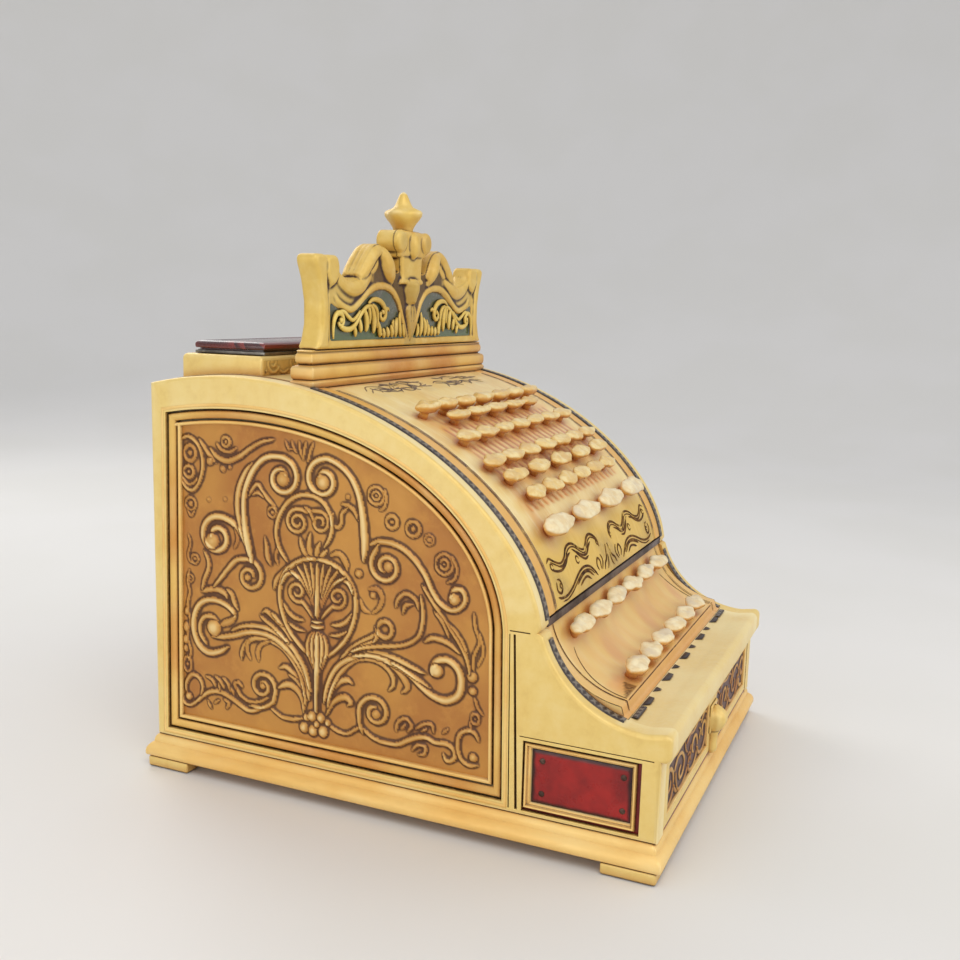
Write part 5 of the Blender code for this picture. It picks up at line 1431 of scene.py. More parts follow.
def lower_paint(X, S):
    """Paint layers and height of the lower sheet: streaked ground, blushes of painted shade at the keys, a
    dark wedge of painted shadow at the left.
    """
    side = np.abs(X)
    total = LOWER_LENGTH[-1]
    gold = 0.42 + 0.10 * np.sin(X * 45.0 + 0.6) * np.sin(S * 50.0)
    grain = 0.5 + 0.5 * np.sin(X * 210.0 + 3.0 * np.sin(S * 40.0))
    blush = 0.16 + 0.14 * grain
    # warm bands of painted shade under the two rows of keys
    for s in (0.0235, 0.0830):
        blush = np.maximum(blush, 0.55 * np.exp(-((S - s) / 0.008) ** 2) * band(side, -1, 0.155, 0.02))
    blush = np.maximum(blush, 0.50 * soft(S, total - 0.0150, 0.004))
    blush = np.maximum(blush, 0.3 * band(side, 0.1755, 0.1900, 0.002))
    # rose patches between the two rows, then the dark wedge at the left: painted shadow of the gap under
    # the first key
    patches = (np.sin(X * 52.0 + 1.0 + 30.0 * S) * np.sin(S * 75.0 + 0.7)
               + 0.35 * np.sin(X * 160.0 + 60.0 * S))
    rose = 0.42 * np.clip(patches, 0.0, 1.0) * band(side, -1, 0.160, 0.02) * band(S, 0.030, 0.088, 0.02)
    wedge = np.clip((X + 0.1690) / 0.034, 0.0, 1.0)
    slot = (band(X, -0.1670, -0.1340, 0.0025)
            * band(S, total - 0.0158 - 0.0115 * wedge, total - 0.0152, 0.0012))
    ink = 0.92 * slot
    blush = np.maximum(blush, 0.55 * band(X, -0.165, -0.120, 0.02)
                       * band(S, total - 0.040, total - 0.014, 0.012))
    height = 0.0005 * band(side, 0.1745, 0.1895, 0.002) - 0.0004 * band(side, 0.1720, 0.1745, 0.0012)
    return {"gold": gold, "blush": blush, "rose": rose, "blue": np.zeros_like(X), "ink": ink}, height


def sheets():
    """Both keyboard sheets, their edges and their painted lines."""
    half = INNER - 0.0004
    s0 = ARC_TOTAL - float(np.interp(0.985, ARC_T, ARC_LENGTH))
    sheet_mesh("painted_key_sheet", on_arch, s0, SHEET_TOP, half, 0.0013, upper_paint,
               "upper_key_panel", -0.0008)
    sheet_mesh("painted_lower_sheet", on_lower, 0.0, LOWER_LENGTH[-1], half, 0.0020, lower_paint,
               "lower_key_panel", 0.0)
    # thin edges, so that the sheets have a thickness when seen from below
    lips = Shape()
    xs = np.linspace(-half, half, 40)
    for s in (s0, SHEET_TOP):
        lips.add(np.concatenate([on_arch(xs, np.full(40, s), np.full(40, lift))
                                 for lift in (-0.0008, -0.0038)]),
                 net(2, 40))
    for side in (-1.0, 1.0):
        s = np.linspace(0.030, LOWER_LENGTH[-1], 50)
        top = on_lower(np.full(50, side * half), s, np.zeros(50))
        foot_row = top.copy()
        foot_row[:, 2] -= 0.0100
        lips.add(np.concatenate([top, foot_row]), net(2, 50))
    lips.build("sheet_edges", CREAM, "keyboard_cream", "root")

    ink = Shape()
    upper = lambda x, s, h: on_arch(x, s, h - 0.0006)
    for side in (-1, 1):
        for x, w, tone in ((0.1688, 0.0007, 0.35), (0.1655, 0.0006, 0.8), (0.1880, 0.0006, 0.0)):
            points = [(side * x, s) for s in np.arange(s0 + 0.001, SHEET_TOP, 0.02)]
            ribbon(ink, points, upper, half=w, tone=tone)
    # painted scrolls in tenths of a mm: (x, s) or (x, s, half width)
    scrolls = (
        [(-1580, 460, 6), (-1500, 490, 12), (-1400, 440, 11), (-1280, 400, 10),
         (-1150, 430, 11), (-1050, 490, 12), (-940, 515, 12), (-840, 500, 13),
         (-740, 440, 12), (-640, 400, 11), (-540, 430, 12), (-450, 480, 13),
         (-350, 500, 14), (-260, 470, 16), (-200, 410, 14), (-210, 340, 6)],
        [(-1530, 390), (-1410, 350), (-1290, 340), (-1170, 370), (-1070, 420), (-980, 440)],
        [(-910, 460), (-800, 400), (-680, 350), (-580, 350), (-480, 400), (-400, 430)],
        [(-860, 430), (-770, 360), (-660, 310), (-560, 320)], [(-1350, 380), (-1240, 370), (-1130, 410)],
        [(-1560, 140), (-1470, 115), (-1330, 110), (-1170, 145), (-1020, 200), (-880, 240),
         (-750, 250), (-620, 225), (-520, 165), (-440, 95)],
        [(-1040, 135), (-900, 180), (-770, 200), (-660, 180), (-560, 120)],
        [(-960, 110), (-840, 145), (-740, 150), (-640, 105)],
        [(-370, 130), (-410, 190), (-360, 250), (-300, 210), (-310, 130)],
        [(-1520, 270), (-1540, 200), (-1470, 160), (-1410, 200), (-1430, 270), (-1490, 290)],
        [(-200, 100), (-160, 160), (-100, 190), (-60, 260), (-30, 330)],
        [(-280, 120), (-220, 200), (-260, 270)], [(-100, 90), (-50, 150), (-40, 230)],
    )
    for points in scrolls:
        for line in both_sides([[v / TENTHS for v in p] for p in points]):
            ribbon(ink, line, upper, half=0.0012)
            if len(line) > 7:
                ribbon(ink, [(p[0] * 0.995, p[1] - 0.0034, 0.0007) for p in line[1:-1]], upper)
    for x, s, r in ((-0.150, 0.041, 0.0030), (-0.087, 0.0345, 0.0036), (-0.022, 0.039, 0.0026),
                    (-0.144, 0.022, 0.0022)):
        for cx in (-x, x):
            ring = [(cx + r * math.cos(t), s + r * math.sin(t)) for t in np.linspace(0, 5.6, 9)]
            ribbon(ink, ring, upper, half=0.0009)
    rng = np.random.default_rng(3)
    for cx, cs, spread, count in ((-0.050, SHEET_TOP - 0.020, 0.034, 15),
                                  (0.045, SHEET_TOP - 0.022, 0.026, 12),
                                  (0.100, SHEET_TOP - 0.024, 0.018, 7),
                                  (-0.095, SHEET_TOP - 0.028, 0.016, 6)):
        for _ in range(count):
            x, s = cx + rng.uniform(-1, 1) * spread, cs + rng.uniform(-1, 1) * 0.013
            dx, bend = rng.uniform(0.010, 0.024), rng.uniform(-0.006, 0.006)
            ribbon(ink, [(x - dx, s - bend), (x - dx * 0.3, s + bend), (x + dx * 0.4, s + bend * 0.6),
                         (x + dx, s - bend)],
                   upper, half=rng.uniform(0.0005, 0.0013), tone=rng.uniform(0.7, 1.0))
    # lines of the lower sheet
    lower = lambda x, s, h: on_lower(x, s, h + 0.0001)
    end = LOWER_LENGTH[-1] - 0.0145
    for side in (-1, 1):
        for x, w in ((0.1755, 0.0006), (0.1722, 0.0006), (0.1890, 0.0006)):
            ribbon(ink, [(side * x, s) for s in np.linspace(0.001, end + 0.010, 9)], lower,
                   half=w, tone=0.15)
        ribbon(ink, [(side * 0.150, 0.030, 0.0003), (side * 0.156, 0.040, 0.0005),
                     (side * 0.163, 0.058, 0.0007),
                     (side * 0.166, 0.075, 0.0007), (side * 0.168, end, 0.0004)], lower, tone=0.1)
    ribbon(ink, [(x, end + 0.0022) for x in np.linspace(-0.168, 0.168, 14)], lower, half=0.0005, tone=0.1)
    ink.build("painted_lines", INK, "keyboard_cream", "root", angle=0)


sheets()


def rope_strip(shape, points, across, normal, half, pitch, rise):
    """A twisted cord moulding along a path, with its cross direction and normal at each point."""
    length = np.r_[0.0, np.cumsum(np.linalg.norm(np.diff(points, axis=0), axis=1))]
    verts, tone = [], []
    us = np.linspace(-1.0, 1.0, 11)
    for k, p in enumerate(points):
        for u in us:
            phase = length[k] / pitch + 0.42 * u
            strand = abs(math.cos(math.pi * phase)) ** 0.7
            weave = abs(math.cos(math.pi * (length[k] / pitch - 0.42 * u))) ** 0.7
            dome = math.sqrt(max(0.0, 1.0 - u * u))
            lift = rise * (0.22 + 0.78 * dome * (0.55 + 0.45 * max(strand, weave))) if dome > 0 else 0.0
            verts.append(p + across[k] * half * u + normal[k] * lift)
            # tone: paler on the crown of each strand, rubbed wear and painted highlight
            tone.append(max(strand, weave) ** 3 * dome)
    return shape.add(verts, net(len(points), len(us)), tone)


ARCH_ROPE_X, COVE_ROPE_X = 0.1925, 0.1945     # middle of the cord borders
LIFT = 0.00005                               # how far an applied piece stands clear of its ground


def ropes():
    """Cord borders beside both sheets, and the strip inlaid in the shelf."""
    shape = Shape()
    for side in (-1.0, 1.0):
        s = np.arange(0.0035, arch_length_at(CROWN_LOW.y) + 0.002, 0.0011)
        x = np.full(len(s), side * ARCH_ROPE_X)
        base = on_arch(x, s, np.full(len(s), LIFT))
        top = on_arch(x, s, np.full(len(s), 1.0))
        normal = (top - base) / np.linalg.norm(top - base, axis=1)[:, None]
        across = np.tile([1.0, 0.0, 0.0], (len(s), 1))
        rope_strip(shape, base, across, normal, half=0.0048, pitch=0.0070, rise=0.0013)
        turns = np.radians(np.linspace(-20.5, cove_angle(SHELF_HIGH.y) + 1.0, 98))
        y = COVE_CENTRE[0] + COVE_RADIUS * np.cos(turns)
        z = COVE_CENTRE[1] + COVE_RADIUS * np.sin(turns)
        base = np.stack([np.full(len(y), side * COVE_ROPE_X), y, z], 1)
        normal = np.stack([np.zeros(len(y)), -np.cos(turns), -np.sin(turns)], 1)
        across = np.tile([1.0, 0.0, 0.0], (len(y), 1))
        rope_strip(shape, base + normal * LIFT, across, normal, half=0.0052, pitch=0.0072, rise=0.0013)
    shape.build("rope_borders", ROPE, "steel", "root", angle=0)

    # the strip inlaid in the shelf: cord at both ends, dark darts between
    inlay = Shape()
    y, z = SHELF_HIGH.y - 0.0035, SHELF_HIGH.z
    for side in (-1.0, 1.0):
        xs = np.arange(0.1545, 0.1545 + 0.030, 0.0011) * side
        base = np.stack([xs, np.full(len(xs), y), np.full(len(xs), z)], 1)
        normal = np.tile([0.0, 0.0, 1.0], (len(xs), 1))
        rope_strip(inlay, base, np.tile([0.0, 1.0, 0.0], (len(xs), 1)), normal, half=0.0030, pitch=0.0080,
                   rise=0.0008)
    for k, x in enumerate(np.linspace(-0.140, 0.140, 9)):
        if k % 2:
            outline = [(-0.010, 0.0028), (0.000, -0.0034), (0.004, 0.0028)]
        else:
            outline = [(-0.013, 0.0030), (-0.005, -0.0034), (0.011, -0.0030), (0.013, 0.0026)]
        verts = [(x + a, y + b, z + LIFT) for a, b in outline]
        verts += [(x + a * 0.86, y + b * 0.80, z + 0.0005) for a, b in outline]
        n = len(outline)
        inlay.add(verts, net(2, n, wrap_columns=True) + [tuple(range(n, 2 * n))], 0.25)
    inlay.build("shelf_inlay", ROPE, "steel", "root", angle=50)


ropes()


def key_cap(shape, matrix, cap, height, seed, travel, stem=-0.012):
    """A pebbly ivory lozenge on a waisted stem; its underside stops short of the sheet when pressed."""
    a, b = cap
    under = travel + 0.0007
    thick = height - under
    rng = np.random.default_rng(seed)
    lean, twist = rng.uniform(-0.16, 0.16), rng.uniform(-0.10, 0.10)
    sides = 26
    # the last column is painted shade: dark on the stem and under the rim, fading to nothing on the top
    profile = (
        (0.0030, 0.0042, stem, 1.0), (a * 0.30, b * 0.62, 0.0, 0.95),
        (a * 0.26, b * 0.56, under * 0.55, 0.66),
        (a * 0.28, b * 0.56, under - 0.0001, 0.80), (a * 0.56, b * 0.76, under + thick * 0.05, 0.76),
        (a * 0.80, b * 0.92, under + thick * 0.18, 0.60), (a * 0.95, b * 1.02, under + thick * 0.36, 0.46),
        (a, b * 1.05, under + thick * 0.54, 0.34), (a, b, under + thick * 0.72, 0.18),
        (a * 0.93, b * 0.90, under + thick * 0.87, 0.04), (a * 0.76, b * 0.72, under + thick * 0.97, 0.0),
        (a * 0.48, b * 0.46, height + 0.0004, 0.0), (a * 0.20, b * 0.20, height + 0.0003, 0.0),
        (0.0, 0.0, height, 0.0),
    )
    verts, tone = [], []
    for r, (ra, rb, level, painted_shade) in enumerate(profile):
        for k in range(sides):
            z = level
            turn = 2 * math.pi * k / sides
            c, s = math.cos(turn), math.sin(turn)
            power = 1.12 if r > 3 else 1.0
            x = ra * math.copysign(abs(c) ** power, c)
            y = rb * math.copysign(abs(s) ** (0.5 + 0.5 * power), s)
            tone_here = painted_shade
            if r > 3:
                n = noise.noise((x * 150.0 + seed * 7.3, y * 190.0, z * 90.0))
                m = noise.noise((x * 75.0 + seed * 3.1, y * 110.0 + 5.0, z * 60.0))
                x *= 1.0 + 0.10 * m
                y = y * (1.0 + 0.26 * m) + lean * x * 0.30 + rb * 0.16 * n
                slope = -0.24 * y if r > 5 else 0.0
                z += (0.0013 * n + 0.0012 * m + slope) * min(1.0, (r - 4) / 4.0)
                # darker on the cap's front, lower side as painted shade, and in random darker patches
                tone_here += (0.30 * max(0.0, -s) * (1.0 if 3 < r < 8 else 0.0)
                              + 0.25 * max(0.0, -n) * (r < 9))
            verts.append(matrix @ Vector((x, y + twist * 0.004, z)))
            tone.append(min(1.0, max(0.0, tone_here)))
    shape.add(verts, net(len(profile), sides, wrap_columns=True), tone)


def frame_at(y, z, normal_y, normal_z):
    """A frame on the middle plane whose Z axis is the normal."""
    z_axis = Vector((0.0, normal_y, normal_z)).normalized()
    x_axis = Vector((1.0, 0.0, 0.0))
    matrix = Matrix((x_axis, z_axis.cross(x_axis), z_axis)).transposed().to_4x4()
    matrix.translation = Vector((0.0, y, z))
    return matrix


def arch_frame(y):
    """The frame of a key row on the arch."""
    s = arch_length_at(y)
    base, top = on_arch(0.0, s, 0.0), on_arch(0.0, s, 1.0)
    return frame_at(base[1], base[2], top[1] - base[1], top[2] - base[2])


def keys():
    """Every key cap; a row on the arch is one piece, every other key is its own."""
    def spread(matrix, i, count, spacing):
        return matrix @ Matrix.Translation(((i - (count - 1) / 2) * spacing, 0.0, 0.0))

    seed = 11
    for name, y, height, count, spacing, depth in KEY_ROWS:
        shape = Shape()
        for i in range(count):
            seed += 1
            key_cap(shape, spread(arch_frame(y), i, count, spacing),
                    (min(spacing * 0.50, 0.0255), depth * 0.94), height, seed, 0.0050)
        shape.build(f"{name}_caps", HONEY, "key_ivory", name, [name], 0)
    singles = [("big_key", arch_frame(BIG_KEY_Y), 4, BIG_KEY_SPACING, (0.0345, BIG_KEY_DEPTH * 0.84), 60,
                0.0060, -0.012)]
    for prefix, (y, z), tilt, count, spacing, depth, first in LOWER_KEYS:
        ny, nz = -math.cos(math.radians(tilt)), math.sin(math.radians(tilt))
        matrix = frame_at(y - ny * BIG_KEY_HEIGHT, z - nz * BIG_KEY_HEIGHT, ny, nz)
        singles.append((prefix, matrix, count, spacing, (spacing * 0.484, depth), first, 0.0080, -0.014))
    for prefix, matrix, count, spacing, cap, first, travel, stem in singles:
        for i in range(count):
            shape = Shape()
            key_cap(shape, spread(matrix, i, count, spacing), cap, BIG_KEY_HEIGHT, first + i, travel, stem)
            name = f"{prefix}_{i + 1}"
            shape.build(f"{name}_cap", IVORY, "key_ivory", name, [name], 0)


keys()


# ---------------------------------------------------------------- crown
# slots in the crown that the price flags pass through, as in the CAD: middle and half width, then depth
FLAG_X, FLAG_HALF, FLAG_Y0, FLAG_Y1 = 0.075, 0.0220, 0.0965, 0.1015
MID_Y = (PEDIMENT_LOW.y + PEDIMENT_HIGH.y) / 2.0
FACE_Y, REAR_Y = PEDIMENT_LOW.y, PEDIMENT_HIGH.y
ROLL_X, ROLL_Z = 0.0278, 0.5283              # axis of the rolled ends under the finial
CROWN_VOXEL = 0.00125
WINDOW_HALF = np.array([(0.0085, 0.4290), (0.1580, 0.4290), (0.1580, 0.4640), (0.1440, 0.4580),
                        (0.1200, 0.4550),
                        (0.1030, 0.4620), (0.0850, 0.4715), (0.0700, 0.4765), (0.0550, 0.4775),
                        (0.0400, 0.4730), (0.0280, 0.4620), (0.0200, 0.4470)])


def cut_away(work, cutters):
    """Booleans that take closed shapes out of an object; returns the cutting objects."""
    others = []
    for k, cutter in enumerate(cutters):
        block = bpy.data.meshes.new(f"{work.name}_cut_{k}")
        block.from_pydata(cutter.verts, [], cutter.faces)
        others.append(link_object(block.name, block))
        cut = work.modifiers.new(f"cut_{k}", "BOOLEAN")
        cut.operation, cut.solver, cut.object = "DIFFERENCE", "EXACT", others[-1]
    return others


def evaluated(work, others, name):
    """The mesh of an object with its modifiers applied; the working objects are removed."""
    result = bpy.data.meshes.new_from_object(work.evaluated_get(bpy.context.evaluated_depsgraph_get()))
    result.name = name
    for obj in [work] + others:
        data = obj.data
        bpy.data.objects.remove(obj)
        bpy.data.meshes.remove(data)
    return result


def remeshed(name, shape, voxel, smooth, cutters):
    """Melt overlapping closed pieces into one cast skin; returns a mesh."""
    mesh = bpy.data.meshes.new(name + "_rough")
    mesh.from_pydata(shape.verts, [], shape.faces)
    mesh.validate()
    work = link_object(name + "_rough", mesh)
    melt = work.modifiers.new("melt", "REMESH")
    melt.mode, melt.voxel_size, melt.adaptivity = "VOXEL", voxel, 0.0
    soften = work.modifiers.new("soften", "SMOOTH")
    soften.factor, soften.iterations = 0.5, smooth
    return evaluated(work, cut_away(work, cutters), name)


def cavity(mesh, rounds):
    """How far each vertex lies below its neighbours, in mm, positive in grooves; and where it is."""
    count = len(mesh.vertices)
    co = np.empty(count * 3)
    mesh.vertices.foreach_get("co", co)
    co = co.reshape(-1, 3)
    normal = np.empty(count * 3)
    mesh.vertices.foreach_get("normal", normal)
    normal = normal.reshape(-1, 3)
    edges = np.empty(len(mesh.edges) * 2, dtype=int)
    mesh.edges.foreach_get("vertices", edges)
    a, b = edges.reshape(-1, 2).T
    degree = np.maximum(np.bincount(np.r_[a, b], minlength=count), 1)

    def average(values):
        return np.stack([(np.bincount(a, values[:, k][b], count)
                          + np.bincount(b, values[:, k][a], count)) / degree
                         for k in range(values.shape[1])], 1)

    smooth = co
    for _ in range(rounds):
        smooth = average(smooth)
    return ((smooth - co) * normal).sum(1) * 1000.0, co


def add_layer(mesh, name, values):
    """A float layer on the vertices, clipped to 0 ... 1."""
    layer = mesh.attributes.new(name, "FLOAT", "POINT")
    layer.data.foreach_set("value", np.clip(values, 0.0, 1.0).astype(np.float32))


def front_tube(shape, points, y, flat=1.0, sides=12):
    """A tube in a plane parallel to the crown's face; points are (x, z, radius) in tenths of a mm."""
    path = smooth_path(np.array(points) / TENTHS, 0.003)
    line = np.stack([path[:, 0], np.full(len(path), y), path[:, 1]], 1)
    return tube(shape, line, path[:, 2], sides, flat)


def bar(shape, outline, y0, y1, radius=0.003):
    """A closed block with an (x, z) outline between two depths, edges softly rounded."""
    ring = counter_clockwise(resample(np.vstack([outline, outline[:1]]), 0.004)[:-1])
    rows = []
    for y, inset in ((y0, radius), (y0 + radius * 0.35, radius * 0.35), (y0 + radius, 0.0),
                     (y1 - radius, 0.0), (y1 - radius * 0.35, radius * 0.35), (y1, radius)):
        rows.append([(a, y, b) for a, b in offset_ring(ring, inset)])
    n = len(ring)
    shape.add([p for r in rows for p in r], net(len(rows), n, wrap_columns=True))
    for row, turned in ((rows[0], False), (rows[-1], True)):
        caps = fill([[(p[0], p[2]) for p in row]])
        shape.add(row, [f[::-1] if turned else f for f in caps])
    return shape


def crown_body():
    """The pierced pediment, melted into one casting, with a paint layer of painted shade for its hollows.
    """
    foot = PEDIMENT_LOW.z * TENTHS
    cast = Shape()

    def for_both(points):
        """An outline given in tenths of a mm, and its reflection."""
        return np.array(points) / TENTHS, np.array(points) / TENTHS * (-1.0, 1.0)

    for outline in for_both([(0, foot), (1765, foot), (1765, 4292), (0, 4292)]):
        bar(cast, outline, FACE_Y + 0.0012, REAR_Y - 0.0012, 0.0012)
    # post
    for outline in for_both([(1630, foot), (1850, foot), (1790, 4300), (1745, 4450), (1745, 4650),
                             (1790, 4840), (1862, 5000), (1866, 5050), (1845, 5078), (1700, 5080),
                             (1660, 5040), (1660, 4880), (1640, 4700), (1620, 4500)]):
        bar(cast, outline, FACE_Y, REAR_Y, 0.0030)
    for outline in for_both([(1600, 4780), (1690, 4900), (1685, 5050), (1660, 5076), (1510, 5078),
                             (1470, 5050), (1450, 4980), (1452, 4900), (1500, 4820)]):
        bar(cast, outline, FACE_Y - 0.0010, REAR_Y, 0.0034)
    # the wall above the windows
    for outline in for_both([(0, 4292), (85, 4292), (200, 4470), (280, 4620), (400, 4730),
                             (550, 4775), (700, 4765), (850, 4715), (1030, 4620), (1200, 4550),
                             (1440, 4580), (1580, 4640), (1580, foot), (1650, foot), (1650, 4850),
                             (1440, 4820), (1200, 4760), (1000, 4840), (860, 4960), (760, 5080),
                             (600, 5120), (500, 4980), (300, 4960), (0, 4960)]):
        bar(cast, outline, FACE_Y + 0.0026, REAR_Y - 0.0026, 0.0006)
    for sign in (-1.0, 1.0):
        def run(points, y):
            front_tube(cast, [(sign * a, b, r) for a, b, r in points], y)

        for y in (FACE_Y + 0.0042, REAR_Y - 0.0042):
            # raised rib that follows the window, and the side and foot of the frame
            run([(1605, 4300, 26), (1605, 4440, 26), (1610, 4600, 26), (1625, 4720, 22)], y)
            run([(1520, 4730, 22), (1440, 4645, 38), (1300, 4590, 42), (1180, 4588, 42),
                 (1040, 4660, 42), (900, 4750, 42), (740, 4808, 42), (560, 4818, 42),
                 (400, 4780, 42), (260, 4670, 40), (165, 4500, 38), (90, 4360, 34), (30, 4270, 24)], y)
            run([(40, 4250, 30), (600, 4250, 36), (1200, 4250, 36), (1600, 4250, 30)], y)
        # swag between post and shoulder
        path = [(1500, 5000, 52), (1482, 4930, 66), (1410, 4850, 80), (1290, 4795, 90),
                (1170, 4775, 96), (1050, 4800, 98), (950, 4855, 90), (850, 4905, 68), (760, 4935, 40)]
        for y in (FACE_Y + 0.0080, MID_Y, REAR_Y - 0.0080):
            run(path, y)
        # shoulder: outer leg, apex, inner leg with its curled end
        for y in (FACE_Y + 0.0060, MID_Y, REAR_Y - 0.0060):
            run([(1060, 4880, 54), (975, 4940, 78), (870, 5040, 84), (775, 5125, 82),
                 (690, 5160, 74), (620, 5150, 66)], y)
            run([(660, 5160, 70), (580, 5110, 100), (520, 5030, 116), (460, 4950, 104),
                 (400, 4890, 76)], y)
            run([(740, 5120, 40), (720, 5040, 52), (780, 4980, 56), (860, 4940, 40)], y)
            run([(400, 4900, 60), (430, 4860, 54), (490, 4870, 36)], y)
            run([(610, 4860, 16), (640, 4930, 26), (630, 4990, 14)], y)
            run([(690, 4870, 16), (710, 4930, 22), (740, 4960, 12)], y)
    # corbel with rolled ends, block, pendant and leaf drop
    bar(cast, np.array([(-300, 5120), (300, 5120), (330, 5370), (200, 5400), (-200, 5400),
                        (-330, 5370)]) / TENTHS, FACE_Y - 0.0020, REAR_Y, 0.0040)
    roll = ((FACE_Y - 0.0050, 0.0060), (FACE_Y - 0.0044, 0.0090), (FACE_Y - 0.0020, 0.0108),
            (MID_Y, 0.0104), (REAR_Y - 0.0010, 0.0108), (REAR_Y + 0.0006, 0.0080))
    for sign in (-1.0, 1.0):
        cast.add(rings(roll, lambda y, a, b: (sign * ROLL_X + a, y, ROLL_Z + 1.06 * b), 24),
                 capped_net(6, 24))
    ball(cast, (0.0, FACE_Y - 0.0010, 0.5250), (0.0100, 0.0070, 0.0140), 12, 20)
    bar(cast, np.array([(-225, 4860), (225, 4860), (250, 5150), (-250, 5150)]) / TENTHS,
        FACE_Y - 0.0006, REAR_Y, 0.0034)
    bar(cast, np.array([(-255, 4850), (255, 4850), (240, 4900), (-240, 4900)]) / TENTHS,
        FACE_Y - 0.0016, REAR_Y, 0.0016)
    pendant = [(0.0, 0.4910), (0.0110, 0.4900), (0.0142, 0.4850), (0.0136, 0.4780), (0.0112, 0.4700),
               (0.0100, 0.4655),
                  (0.0060, 0.4640), (0.0, 0.4636)]
    for y in (FACE_Y + 0.0060, REAR_Y - 0.0060):
        lathe(cast, pendant[::-1], (0.0, y), 24, 4, 0.06)
    for y in (FACE_Y + 0.0014, REAR_Y - 0.0014):
        for sign in (-1.0, 0.0, 1.0):
            front_tube(cast, [(sign * 15, 4650, 22), (sign * 66, 4580, 36), (sign * 52, 4480, 34),
                              (sign * 26, 4380, 26), (0, 4290, 16)],
                       y, 1.0, 10)
    cuts = []
    for x in (-FLAG_X, FLAG_X):
        corners = ((x - FLAG_HALF, FLAG_Y0), (x + FLAG_HALF, FLAG_Y0), (x + FLAG_HALF, FLAG_Y1),
                   (x - FLAG_HALF, FLAG_Y1))
        cuts.append(Shape().add([(*corner, z) for z in (0.4100, 0.4400) for corner in corners],
                                capped_net(2, 4)))
    mesh = remeshed("cast_crown", cast, CROWN_VOXEL, 5, cuts)
    # dark in the grooves inside the posts as painted shade, warm on the drop and the rolls, dark on the
    # recessed wall as painted shade
    hollow, co = cavity(mesh, 5)
    hollow *= np.abs(co[:, 0]) < 0.1745
    # darker: the pendant and its hollow, the rolled ends, and the flat wall beside the middle, whose dark
    # is painted shade
    drop = (np.clip((0.0135 - np.abs(co[:, 0])) / 0.003, 0, 1)
            * np.clip((0.4655 - co[:, 2]) / 0.003, 0, 1) * 0.24)
    warm = (np.clip((0.0150 - np.abs(co[:, 0])) / 0.004, 0, 1)
            * np.clip((0.4900 - co[:, 2]) / 0.003, 0, 1) * 0.25)
    rolls = np.exp(-((np.abs(co[:, 0]) - ROLL_X) / 0.0075) ** 2
                   - ((co[:, 2] - ROLL_Z) / 0.0080) ** 2) * 0.18
    wall = ((np.abs(co[:, 1] - (FACE_Y + 0.0026)) < 0.0007) * (co[:, 2] > 0.4300)
            * (np.abs(co[:, 0]) < 0.160))
    wall = wall * (0.12 + 0.74 * np.clip((0.0820 - np.abs(co[:, 0])) / 0.006, 0.0, 1.0))
    add_layer(mesh, "tone",
              np.maximum.reduce([(hollow - 0.05) * 4.6, drop, warm, wall, rolls * (co[:, 1] < FACE_Y)]))
    place_mesh("cast_crown", mesh, CROWN, "root", ["crown_pediment"], 0)


crown_body()


